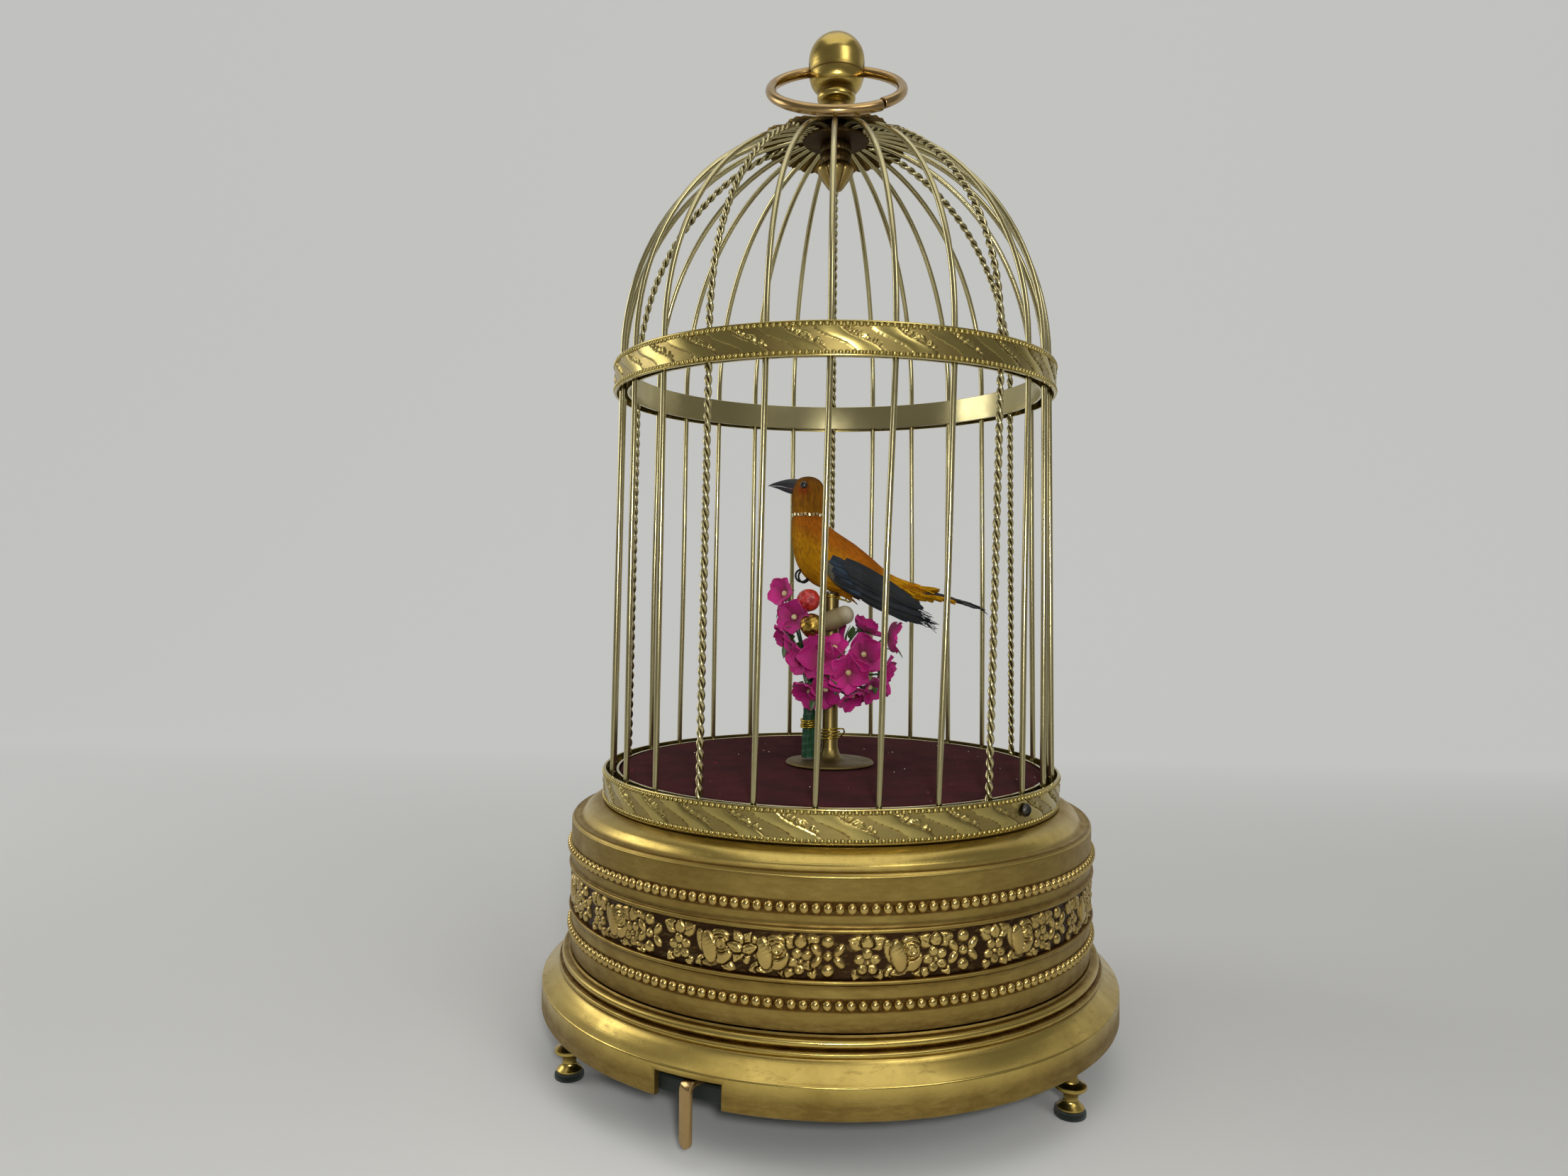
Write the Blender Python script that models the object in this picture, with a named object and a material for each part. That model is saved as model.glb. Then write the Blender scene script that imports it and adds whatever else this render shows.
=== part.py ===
"""Singing bird automaton: a domed brass cage on a round drum that hides a wind-up movement.

Sizes are millimetres until a piece is stored, when MM turns them into metres. The object stands on
z = 0, the cage axis is Z and the front is at -Y. Azimuths run from the front towards +X, in degrees.
"""
import math

import bmesh
import bpy
from mathutils import Matrix, Vector

MM = 0.001
GAP = 0.3
ROUND_SIDES = 36
MEDIUM_SIDES = 16
SMALL_SIDES = 8
WIRE_SIDES = 4

# Feet and bottom board
FOOT_AZIMUTHS = (-64.5, 53.5, 174.0)
FOOT_INSET = 6.0
PAD_RADIUS = 3.8
PAD_HEIGHT = 1.6
FOOT_COLLAR_RADIUS = 3.9
FOOT_STEM_RADIUS = 1.6
FOOT_HEIGHT = 12.5
BOARD_THICKNESS = 3.8
BOARD_CLEARANCE = 0.5

# Flared plinth
BASE_RADIUS = 80.0
RIM_HEIGHT = 7.8
RIM_WALL = 1.9
PLINTH_HEIGHT = 15.8
FLARE_DEPTH = 4.7
SHEET = 1.1
NOTCH_AZIMUTH = -22.6
NOTCH_WIDTH = 17.0
NOTCH_HEIGHT = 6.0

# Drum
DRUM_INSET = 7.7
DRUM_HEIGHT = 38.9
SPIGOT_DEPTH = 3.6
BEAD_HEIGHT = 2.6
BEAD_RAISE = 0.8
LOWER_BEADS_RISE = 5.9
UPPER_BEADS_RISE = 27.3
FRIEZE_RISE = 16.6
FRIEZE_HEIGHT = 12.4
FRIEZE_RAISE = 0.7
SHOULDER_HEIGHT = 4.4

# Cage rings
CAGE_INSET = 8.3
MIDDLE_INSET = 2.0
BAND_HEIGHT = 8.2
BAND_WALL = 0.7
BAND_EDGE = 1.5
BAND_RELIEF = 0.3
BAND_SPACING = 111.8
LEDGE_WIDTH = 8.0
SCREW_AZIMUTHS = (48.5, -97.0, 160.5)
SCREW_HEAD_RADIUS = 1.7
SCREW_SHANK_RADIUS = 0.8
SCREW_LENGTH = 7.5

# Cage bars
BAR_RADIUS = 0.75
TWIST_RADIUS = 1.05
TWIST_STRANDS = 3
TWIST_LOBE = 3.4
TWISTED_AZIMUTHS = (-30.0, 41.0, 115.0, 180.0, 258.0)
PLAIN_BARS_BETWEEN = (4, 5, 4, 5, 4)
DOME_HEIGHT = 67.0
DOME_STEPS = 6
BAR_SINK = 7.0

# Crown
CROWN_RADIUS = 9.5
CROWN_THICKNESS = 2.2
ROSETTE_RADIUS = 21.5
ROSETTE_SHEET = 0.6
ROSETTE_LEAVES = 12
ROSETTE_CROWN_RISE = 2.6
LEAF_RELIEF = 0.7
STUD_RADIUS = 1.5
NUT_HEIGHT = 13.7
NUT_RADIUS = 5.5
NECK_RADIUS = 3.5
COLLAR_RADIUS = 5.5
BALL_RADIUS = 7.95
BALL_RISE = 17.0
BALL_STEPS = 5
BALL_DEPTH = 9.6
BALL_FULLNESS = 3.5
BAIL_RADIUS = 18.0
BAIL_WIRE = 1.5
BAIL_TILT = 40.4
BAIL_DROP = 2.8
BAIL_STEPS = 28

# Floor and perch
FLOOR_DROP = 0.3
PERCH_HEIGHT = 48.6
PERCH_RADIUS = 2.2
PERCH_WALL = 0.5
FLANGE_RADIUS = 12.6
FLANGE_THICKNESS = 0.8
PERCH_REACH = 1.0

# Bird, facing -X
EYE_AXIS_X = -6.9
NECK_RISE = 22.6
HEAD_LENGTH = 10.9
HEAD_HALF_WIDTH = 4.1
BEAK_LENGTH = 8.0
TAIL_HINGE_X = 21.6
TAIL_HINGE_RISE = 1.0
TAIL_LENGTH = 23.0

# Bouquet
FLOWER_THICKNESS = 2.6
SPRIG_RADIUS = 0.7
PETALS = 5
BOUQUET_DROP = 48.6
STEM_RADIUS = 1.9
STEM_OFFSET = 6.3
WIRE_RADIUS = 0.28
WIRE_TURNS = 5
WIRE_PITCH = 1.15
WIRE_TURN_POINTS = 10

# Each flower's place (x, y, height over the bouquet's foot), radius, upward tilt and facing azimuth
FLOWERS = (
    (-13.2, -3.0, 47.0, 4.0, 20, -60), (-10.2, -6.4, 41.0, 4.0, 10, -45), (-13.6, -2.0, 33.8, 3.8, 0, -70),
    (-4.0, -10.4, 29.8, 4.2, 0, -20), (4.6, -10.6, 31.6, 4.2, 5, 20), (10.8, -6.2, 34.6, 4.2, 10, 50),
    (17.0, -1.0, 36.8, 3.9, 15, 75), (15.6, -1.0, 25.8, 3.8, -10, 85), (5.6, -9.8, 24.4, 4.6, -15, 15),
    (-5.6, -8.4, 19.8, 3.9, -20, -30), (4.6, -6.4, 17.0, 3.9, -35, 15), (-6.4, 9.4, 30.0, 4.2, 0, 205),
    (6.6, 9.8, 27.0, 4.2, 0, 150), (0.4, 8.4, 37.0, 4.0, 20, 180),
)

# Each berry's place and radius
BERRIES = ((-6.8, -5.4, 45.4, 3.2), (-5.4, -7.6, 38.8, 3.2), (5.0, -4.6, 42.4, 2.8))

# Movement
PLATE_RISE = 3.8
PLATE_THICKNESS = 2.0
PLATE_SPACING = 26.0
PLATE_X_MODULES = (-26.7, 29.3)
PLATE_Y_MODULES = (-30.7, 9.3)
PILLAR_INSET = 5.0
PILLAR_RADIUS = 2.4
MODULES_ACROSS = 48.2
WHEEL_TEETH = 24
TRAIN_TEETH = 18
PINION_TEETH = 6
BARREL_AXIS_MODULES = (16.0, -5.33)
ARBOR_RADIUS = 1.2
PIVOT_RADIUS = 0.8
BARREL_MODULES = 10.4
BARREL_HEIGHT = 12.0
WINDING_RADIUS = 2.0
MAINSPRING_TURNS = 4
MAINSPRING_STEPS = 10
RATCHET_TEETH = 12
RATCHET_RADIUS = 8.0
KEY_SPAN = 24.0
KEY_HEIGHT = 8.6
KEY_FLOOR = 3.0
CRANK_THROW = 3.0
FLY_MODULES = 4.6
CAM_MODULES = 6.27
CAM_LIFT = 1.3
CAM_LOBES = 12
CAM_THICKNESS = 1.5
CAM_PITCH = 2.5
PISTON_LEVER_WIDTH = 2.4
ROD_RADIUS = 0.4
ROD_SPACING = 1.05
HEAD_ARM = 3.0
ROCKER_RISE = 14.0
ROCKER_SHAFT = 0.8

# Wind parts
BELLOWS_MODULES = 30.7
BELLOWS_HEIGHT = 36.0
BELLOWS_PLACE_MODULES = (-21.3, -40.0)
BELLOWS_BOARD = 1.8
BELLOWS_OPEN_ANGLE = 8.4
WHISTLE_RADIUS = 4.5
WHISTLE_WALL = 1.0
WHISTLE_LENGTH = 20.0
WHISTLE_PLACE_MODULES = (-32.0, -30.0)

# Start and stop lever
LEVER_WIDTH = 3.2
LEVER_THICKNESS = 1.2
LEVER_PIVOT_MODULES = (-5.3, -33.3)
LEVER_OVERHANG = 1.1
LEVER_DROP = 13.6

# Radii that follow from the plinth's
FOOT_CIRCLE = BASE_RADIUS - FOOT_INSET
DRUM_RADIUS = BASE_RADIUS - DRUM_INSET
CAGE_RADIUS = DRUM_RADIUS - CAGE_INSET
MIDDLE_RADIUS = CAGE_RADIUS - MIDDLE_INSET

# Heights that follow from the sizes above
BOARD_BOTTOM = PAD_HEIGHT + GAP + FOOT_HEIGHT
BOARD_TOP = BOARD_BOTTOM + BOARD_THICKNESS
PLINTH_BOTTOM = BOARD_BOTTOM - GAP
PLINTH_TOP = PLINTH_BOTTOM + PLINTH_HEIGHT
DRUM_BOTTOM = PLINTH_TOP + GAP
DRUM_TOP = DRUM_BOTTOM + DRUM_HEIGHT
BAND_BOTTOM = DRUM_TOP + GAP
BAND_TOP = BAND_BOTTOM + BAND_HEIGHT
MIDDLE_BOTTOM = BAND_BOTTOM + BAND_SPACING
MIDDLE_TOP = MIDDLE_BOTTOM + BAND_HEIGHT
FLOOR_TOP = BAND_TOP - FLOOR_DROP
DOME_BASE = MIDDLE_TOP + 0.5

# The bars stand midway between each outer band and its inner band
BAR_POCKET = TWIST_RADIUS + GAP + 0.1
BAR_CIRCLE = CAGE_RADIUS - BAND_WALL - BAR_POCKET
MIDDLE_BAR_CIRCLE = MIDDLE_RADIUS - BAND_WALL - BAR_POCKET
FLOOR_RADIUS = BAR_CIRCLE - BAR_POCKET - BAND_WALL - GAP - 0.1
BOARD_RADIUS = BASE_RADIUS - RIM_WALL - BOARD_CLEARANCE

# Crown heights
BAR_END_RADIUS = CROWN_RADIUS + TWIST_RADIUS + GAP
DOME_TOP = DOME_BASE + DOME_HEIGHT
CROWN_TOP = DOME_TOP + 0.3
ROSETTE_BOTTOM = CROWN_TOP + GAP + 0.3
NUT_TOP = CROWN_TOP - CROWN_THICKNESS - GAP
FINIAL_BOTTOM = ROSETTE_BOTTOM + ROSETTE_CROWN_RISE + ROSETTE_SHEET + GAP
BALL_CENTRE = FINIAL_BOTTOM + BALL_RISE
BAIL_AXIS_Z = BALL_CENTRE - BAIL_DROP

# Perch and bird heights
FLANGE_BOTTOM = FLOOR_TOP + GAP
PERCH_TOP = FLANGE_BOTTOM + PERCH_HEIGHT
PERCH_BOTTOM = BAND_BOTTOM - PERCH_REACH
BIRD_Z = PERCH_TOP

# Movement heights
KEY_BOTTOM = PAD_HEIGHT + 1.0
LOWER_PLATE_BOTTOM = BOARD_TOP + PLATE_RISE
LOWER_PLATE_TOP = LOWER_PLATE_BOTTOM + PLATE_THICKNESS
UPPER_PLATE_BOTTOM = LOWER_PLATE_TOP + PLATE_SPACING
UPPER_PLATE_TOP = UPPER_PLATE_BOTTOM + PLATE_THICKNESS
CAM_LEVELS = [UPPER_PLATE_TOP + 1.5 + level * CAM_PITCH for level in range(4)]
ROCKER_Z = UPPER_PLATE_TOP + ROCKER_RISE

# The movement's plan is laid out in modules, so it keeps its place in the drum
MODULE = DRUM_RADIUS / MODULES_ACROSS
PLATE_X = tuple(MODULE * x for x in PLATE_X_MODULES)
PLATE_Y = tuple(MODULE * y for y in PLATE_Y_MODULES)
BARREL_AXIS = tuple(MODULE * place for place in BARREL_AXIS_MODULES)
BARREL_RADIUS = MODULE * BARREL_MODULES
FLY_RADIUS = MODULE * FLY_MODULES
CAM_RADIUS = MODULE * CAM_MODULES
BELLOWS_LENGTH = MODULE * BELLOWS_MODULES
BELLOWS_HINGE_X, BELLOWS_BACK_Y = (MODULE * place for place in BELLOWS_PLACE_MODULES)
WHISTLE_AXIS_X, WHISTLE_FRONT_Y = (MODULE * place for place in WHISTLE_PLACE_MODULES)
LEVER_PIVOT = tuple(MODULE * place for place in LEVER_PIVOT_MODULES)
LEVER_BEND = (
    (BASE_RADIUS + LEVER_OVERHANG) * math.sin(math.radians(NOTCH_AZIMUTH)),
    -(BASE_RADIUS + LEVER_OVERHANG) * math.cos(math.radians(NOTCH_AZIMUTH)),
)

# The train's arbors lie where their wheels mesh
WHEEL_RADIUS = MODULE * WHEEL_TEETH / 2
TRAIN_RADIUS = MODULE * TRAIN_TEETH / 2
PINION_RADIUS = MODULE * PINION_TEETH / 2
CENTRE_AXIS = (BARREL_AXIS[0] - WHEEL_RADIUS - PINION_RADIUS, BARREL_AXIS[1])
CAM_AXIS = (CENTRE_AXIS[0] - WHEEL_RADIUS - PINION_RADIUS, CENTRE_AXIS[1])
CRANK_AXIS = (CENTRE_AXIS[0], CENTRE_AXIS[1] - TRAIN_RADIUS - PINION_RADIUS)
FLY_DIRECTION = -60.0
FLY_AXIS = (
    CRANK_AXIS[0] + (TRAIN_RADIUS + PINION_RADIUS) * math.cos(math.radians(FLY_DIRECTION)),
    CRANK_AXIS[1] + (TRAIN_RADIUS + PINION_RADIUS) * math.sin(math.radians(FLY_DIRECTION)),
)


def clear_scene():
    """Remove whatever the file opened with."""
    for old in list(bpy.data.objects):
        bpy.data.objects.remove(old, do_unlink=True)


def finish(name, color, roughness, metallic=0.0):
    """A Principled material from an RGB colour, a roughness and a metallic value."""
    material = bpy.data.materials.new(name)
    material.use_nodes = True
    shader = material.node_tree.nodes["Principled BSDF"]
    shader.inputs["Base Color"].default_value = (*color, 1.0)
    shader.inputs["Roughness"].default_value = roughness
    shader.inputs["Metallic"].default_value = metallic
    material.diffuse_color = (*color, 1.0)
    return material


def add_piece(name, bm, material, origin=(0.0, 0.0, 0.0), smooth=35.0):
    """Store a closed bmesh, drawn in millimetres, as a piece with its origin at the given point."""
    bmesh.ops.remove_doubles(bm, verts=bm.verts, dist=1e-4)
    bmesh.ops.recalc_face_normals(bm, faces=bm.faces)
    bmesh.ops.translate(bm, vec=-Vector(origin), verts=bm.verts)
    bmesh.ops.scale(bm, vec=(MM, MM, MM), verts=bm.verts)
    mesh = bpy.data.meshes.new(name)
    bm.to_mesh(mesh)
    bm.free()
    mesh.materials.append(material)
    mesh.shade_smooth()
    mesh.set_sharp_from_angle(angle=math.radians(smooth))
    piece = bpy.data.objects.new(name, mesh)
    piece.location = Vector(origin) * MM
    bpy.context.collection.objects.link(piece)
    return piece


def combine(piece, shapes, operation):
    """Join closed shapes to a piece, or cut them from it, with one Boolean over a hidden guide."""
    joined = bmesh.new()
    for shape in shapes:
        bmesh.ops.recalc_face_normals(shape, faces=shape.faces)
        guide = bpy.data.meshes.new(piece.name + "_shape")
        shape.to_mesh(guide)
        shape.free()
        joined.from_mesh(guide)
    guide = add_piece(piece.name + "_guide_" + operation.lower(), joined, piece.data.materials[0])
    guide.hide_render = True
    guide.display_type = "WIRE"
    boolean = piece.modifiers.new(operation.lower(), "BOOLEAN")
    boolean.operation = operation
    boolean.solver = "EXACT"
    boolean.use_self = operation == "UNION" and len(shapes) > 1
    boolean.object = guide
    return piece


def unite(piece, *shapes):
    return combine(piece, shapes, "UNION")


def cut(piece, *shapes):
    return combine(piece, shapes, "DIFFERENCE")


def polar(radius, azimuth, z=0.0):
    """A point at an azimuth counted from the front towards +X."""
    angle = math.radians(azimuth)
    return Vector((radius * math.sin(angle), -radius * math.cos(angle), z))


def turned(profile, steps=ROUND_SIDES, centre=(0.0, 0.0)):
    """Spin an outline of (radius, z) points about a vertical axis."""
    bm = bmesh.new()
    verts = [bm.verts.new((radius, 0.0, z)) for radius, z in profile]
    pairs = list(zip(verts, verts[1:]))
    if profile[0][0] > 0 or profile[-1][0] > 0:
        pairs.append((verts[-1], verts[0]))
    edges = [bm.edges.new(pair) for pair in pairs]
    bmesh.ops.spin(
        bm, geom=verts + edges, axis=(0, 0, 1), cent=(0, 0, 0), angle=math.tau, steps=steps, use_merge=True
    )
    bmesh.ops.remove_doubles(bm, verts=bm.verts, dist=1e-4)
    bmesh.ops.translate(bm, vec=(centre[0], centre[1], 0.0), verts=bm.verts)
    return bm


def disc(radius, bottom, top, centre=(0.0, 0.0), steps=SMALL_SIDES):
    return turned([(0.0, bottom), (radius, bottom), (radius, top), (0.0, top)], steps, centre)


def round_bar(start, end, radius, sides=SMALL_SIDES):
    """A straight round bar between two points."""
    start = Vector(start)
    end = Vector(end)
    bm = bmesh.new()
    turn = (end - start).to_track_quat("Z", "Y").to_matrix().to_4x4()
    place = Matrix.Translation((start + end) / 2) @ turn
    bmesh.ops.create_cone(
        bm, cap_ends=True, segments=sides, radius1=radius, radius2=radius,
        depth=(end - start).length, matrix=place,
    )
    return bm


def block(low, high):
    """A box between two corners."""
    low = Vector(low)
    high = Vector(high)
    bm = bmesh.new()
    size = high - low
    place = Matrix.Translation((low + high) / 2) @ Matrix.Diagonal((*size, 1.0))
    bmesh.ops.create_cube(bm, size=1.0, matrix=place)
    return bm


def plate(outline, bottom, top):
    """A flat plate with an outline of (x, y) points."""
    bm = bmesh.new()
    face = bm.faces.new([bm.verts.new((x, y, bottom)) for x, y in outline])
    raised = bmesh.ops.extrude_face_region(bm, geom=[face])["geom"]
    corners = [item for item in raised if isinstance(item, bmesh.types.BMVert)]
    bmesh.ops.translate(bm, vec=(0, 0, top - bottom), verts=corners)
    return bm


def loft(rings, closed=False, turning=False):
    """Skin rings of points of one count, and cap the two ends unless the rings close on themselves.

    Rings that turn against each other are skinned with triangles along the shorter diagonals.
    """
    bm = bmesh.new()
    loops = [[bm.verts.new(point) for point in ring] for ring in rings]
    count = len(loops[0])
    pairs = list(zip(loops, loops[1:]))
    if closed:
        pairs.append((loops[-1], loops[0]))
    for near, far in pairs:
        for i in range(count):
            j = (i + 1) % count
            if turning:
                bm.faces.new((near[i], near[j], far[i]))
                bm.faces.new((near[j], far[j], far[i]))
            else:
                bm.faces.new((near[i], near[j], far[j], far[i]))
    if not closed:
        bm.faces.new(loops[0][::-1])
        bm.faces.new(loops[-1])
    return bm


def wire(points, radius, sides, twist=0.0):
    """A wire along points, its section turned on by a twist angle at each point."""
    rings = []
    for i, point in enumerate(points):
        ahead = (points[min(i + 1, len(points) - 1)] - points[max(i - 1, 0)]).normalized()
        guide = Vector((point.x, point.y, 0.0))
        side = ahead.cross(guide if guide.length > 0.1 else Vector((0.0, 1.0, 0.0))).normalized()
        up = side.cross(ahead)
        ring = []
        for k in range(sides):
            angle = math.tau * k / sides + twist * i
            ring.append(point + side * radius * math.cos(angle) + up * radius * math.sin(angle))
        rings.append(ring)
    return loft(rings, turning=twist != 0)


def strip_outline(points, width):
    """The outline of a flat strip of one width along (x, y) points, mitred at its bends."""
    left, right = [], []
    points = [Vector(point) for point in points]
    for i, point in enumerate(points):
        before = (point - points[i - 1]).normalized() if i else None
        after = (points[i + 1] - point).normalized() if i + 1 < len(points) else None
        along = ((before or after) + (after or before)).normalized()
        reach = width / 2 / abs(along.dot(after or before))
        normal = Vector((-along.y, along.x)) * reach
        left.append(tuple(point + normal))
        right.append(tuple(point - normal))
    return left + right[::-1]


def gear_outline(teeth, phase, centre):
    """A toothed outline with one tooth centred on the phase angle."""
    pitch_radius = MODULE * teeth / 2
    pitch = 360.0 / teeth
    root = pitch_radius - MODULE
    tip = pitch_radius + 0.6 * MODULE
    outline = []
    for tooth in range(teeth):
        middle = phase + tooth * pitch
        for radius, share in ((tip, -0.06), (tip, 0.06), (root, 0.5)):
            angle = math.radians(middle + share * pitch)
            outline.append((centre[0] + radius * math.cos(angle), centre[1] + radius * math.sin(angle)))
    return outline


def meshing_phase(teeth, direction, driver_teeth, driver_phase):
    """The phase at which a gear meshes with a driver whose centre lies against the direction."""
    pitch = 360.0 / teeth
    offset = (direction - driver_phase) / (360.0 / driver_teeth)
    return direction + 180.0 + (offset - 0.5) * pitch


def arbor(centre, bottom, top, radius=ARBOR_RADIUS, pivot=PIVOT_RADIUS):
    """An arbor between the plates with a thin pivot through each of them."""
    low = LOWER_PLATE_TOP + GAP
    high = UPPER_PLATE_BOTTOM - GAP
    return turned(
        [(0, bottom), (pivot, bottom), (pivot, low), (radius, low), (radius, high), (pivot, high),
         (pivot, top), (0, top)],
        SMALL_SIDES, centre,
    )


def foot(name, azimuth, brass):
    """A turned foot: a stem in the board, a collar and a waisted trumpet."""
    centre = polar(FOOT_CIRCLE, azimuth)
    bottom = PAD_HEIGHT + GAP
    profile = [
        (0, bottom), (3.3, bottom), (3.1, bottom + 0.6), (1.6, bottom + 2.2), (1.9, bottom + 4.2),
        (FOOT_COLLAR_RADIUS, bottom + 4.9), (FOOT_COLLAR_RADIUS, bottom + 5.7),
        (FOOT_STEM_RADIUS, bottom + 6.4),
        (FOOT_STEM_RADIUS, BOARD_TOP - 0.6), (0, BOARD_TOP - 0.6),
    ]
    return add_piece(name, turned(profile, SMALL_SIDES, (centre.x, centre.y)), brass, smooth=50)


def foot_pad(name, azimuth, felt):
    centre = polar(FOOT_CIRCLE, azimuth)
    edge = [(0, 0), (PAD_RADIUS, 0), (PAD_RADIUS, PAD_HEIGHT), (0, PAD_HEIGHT)]
    return add_piece(name, turned(edge, SMALL_SIDES, (centre.x, centre.y)), felt)


def base_plinth(brass):
    """The flared foot of the base, with the notch for the lever and a step over the board."""
    step = BOARD_TOP + GAP
    rim_top = PLINTH_BOTTOM + RIM_HEIGHT
    flare_top = rim_top + 3.5
    flare_radius = BASE_RADIUS - FLARE_DEPTH
    neck = DRUM_RADIUS - SHEET + 0.4
    inside = BASE_RADIUS - RIM_WALL
    profile = [
        (BASE_RADIUS, PLINTH_BOTTOM), (BASE_RADIUS, rim_top), (flare_radius, flare_top),
        (flare_radius, flare_top + 1.5),
        (flare_radius - 1.3, flare_top + 1.8), (flare_radius - 0.8, flare_top + 2.9),
        (flare_radius - 1.5, flare_top + 3.7), (neck + SHEET, PLINTH_TOP), (neck, PLINTH_TOP),
        (neck, flare_top), (inside - 1.8, rim_top - 1.2), (inside - 1.8, step), (inside, step),
        (inside, PLINTH_BOTTOM),
    ]
    piece = add_piece("base_plinth", turned(profile), brass)
    notch = block(
        (-NOTCH_WIDTH / 2, -BASE_RADIUS - 2.0, PLINTH_BOTTOM - 1.0),
        (NOTCH_WIDTH / 2, -BOARD_RADIUS + 4.0, PLINTH_BOTTOM + NOTCH_HEIGHT),
    )
    bmesh.ops.rotate(notch, cent=(0, 0, 0), matrix=Matrix.Rotation(math.radians(NOTCH_AZIMUTH), 3, "Z"),
                     verts=notch.verts)
    return cut(piece, notch)


def base_drum(brass):
    """The drum wall with its two bead rows, its frieze and its rounded shoulder."""
    wall = DRUM_RADIUS
    inner = wall - SHEET
    spigot = wall - SHEET
    low_bead = DRUM_BOTTOM + LOWER_BEADS_RISE
    high_bead = DRUM_BOTTOM + UPPER_BEADS_RISE
    frieze_low = DRUM_BOTTOM + FRIEZE_RISE - FRIEZE_HEIGHT / 2
    frieze_high = frieze_low + FRIEZE_HEIGHT
    crease = DRUM_TOP - SHOULDER_HEIGHT
    ledge = CAGE_RADIUS - LEDGE_WIDTH
    half = BEAD_HEIGHT / 2
    profile = [
        (spigot - SHEET, DRUM_BOTTOM - SPIGOT_DEPTH), (spigot, DRUM_BOTTOM - SPIGOT_DEPTH),
        (spigot, DRUM_BOTTOM), (wall, DRUM_BOTTOM),
        (wall, low_bead - half), (wall + BEAD_RAISE, low_bead), (wall, low_bead + half),
        (wall, frieze_low), (wall + FRIEZE_RAISE, frieze_low + 0.5),
        (wall + FRIEZE_RAISE / 2, frieze_low + 1.1),
        (wall + FRIEZE_RAISE / 2, frieze_high - 1.1), (wall + FRIEZE_RAISE, frieze_high - 0.5),
        (wall, frieze_high),
        (wall, high_bead - half), (wall + BEAD_RAISE, high_bead), (wall, high_bead + half),
        (wall, crease), (wall - 0.9, crease + 1.9), (wall - 3.4, DRUM_TOP - 1.0),
        (CAGE_RADIUS + 1.6, DRUM_TOP - 0.4), (CAGE_RADIUS + 0.4, DRUM_TOP),
        (ledge, DRUM_TOP), (ledge, DRUM_TOP - SHEET), (CAGE_RADIUS + 0.8, DRUM_TOP - SHEET - 0.6),
        (inner - 1.5, crease + 0.4), (inner, crease - 0.9), (inner, DRUM_BOTTOM + SHEET),
        (spigot - SHEET, DRUM_BOTTOM),
    ]
    return add_piece("base_drum", turned(profile), brass)


def bottom_board(wood):
    """The board that closes the base, drilled for the feet, the winding arbor and the lever."""
    piece = add_piece(
        "bottom_board",
        turned([(0, BOARD_BOTTOM), (BOARD_RADIUS, BOARD_BOTTOM), (BOARD_RADIUS, BOARD_TOP), (0, BOARD_TOP)]),
        wood,
    )
    places = [(polar(FOOT_CIRCLE, azimuth), FOOT_STEM_RADIUS) for azimuth in FOOT_AZIMUTHS]
    places.append((Vector((*BARREL_AXIS, 0)), WINDING_RADIUS))
    places.append((Vector((*LEVER_PIVOT, 0)), 1.3))
    holes = [
        disc(radius + GAP, BOARD_BOTTOM - 1.0, BOARD_TOP + 1.0, (place.x, place.y))
        for place, radius in places
    ]
    return cut(piece, *holes)


def band_cutters(radius):
    """Radial drill shapes for the three band screws."""
    height = BAND_BOTTOM + BAND_HEIGHT / 2 + 0.4
    return [
        round_bar(polar(CAGE_RADIUS + 2.0, azimuth, height),
                  polar(CAGE_RADIUS - SCREW_LENGTH - 0.5, azimuth, height), radius, 8)
        for azimuth in SCREW_AZIMUTHS
    ]


def outer_band(name, radius, bottom, brass):
    """A decorated band: a plain field between two raised edges."""
    top = bottom + BAND_HEIGHT
    field = radius - BAND_RELIEF
    profile = [
        (radius - BAND_WALL, bottom), (radius, bottom), (radius, bottom + BAND_EDGE - 0.2),
        (field, bottom + BAND_EDGE), (field, top - BAND_EDGE), (radius, top - BAND_EDGE + 0.2),
        (radius, top), (radius - BAND_WALL, top),
    ]
    return add_piece(name, turned(profile), brass)


def inner_band(name, bar_circle, bottom, brass):
    outside = bar_circle - BAR_POCKET
    top = bottom + BAND_HEIGHT - 0.8
    profile = [(outside - BAND_WALL, bottom), (outside, bottom), (outside, top), (outside - BAND_WALL, top)]
    return add_piece(name, turned(profile), brass)


def band_screw(name, azimuth, steel):
    """A round-headed screw through both lower bands into the floor's edge."""
    height = BAND_BOTTOM + BAND_HEIGHT / 2 + 0.4
    seat = CAGE_RADIUS + GAP
    bm = turned(
        [(0, -SCREW_LENGTH), (SCREW_SHANK_RADIUS, -SCREW_LENGTH), (SCREW_SHANK_RADIUS, 0),
         (SCREW_HEAD_RADIUS, 0), (SCREW_HEAD_RADIUS * 0.86, 0.7), (SCREW_HEAD_RADIUS * 0.45, 1.15), (0, 1.2)],
        SMALL_SIDES,
    )
    outward = polar(1.0, azimuth)
    facing = outward.to_track_quat("Z", "Y").to_matrix().to_4x4()
    place = Matrix.Translation(polar(seat, azimuth, height)) @ facing
    bmesh.ops.transform(bm, matrix=place, verts=bm.verts)
    return add_piece(name, bm, steel, smooth=50)


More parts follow.
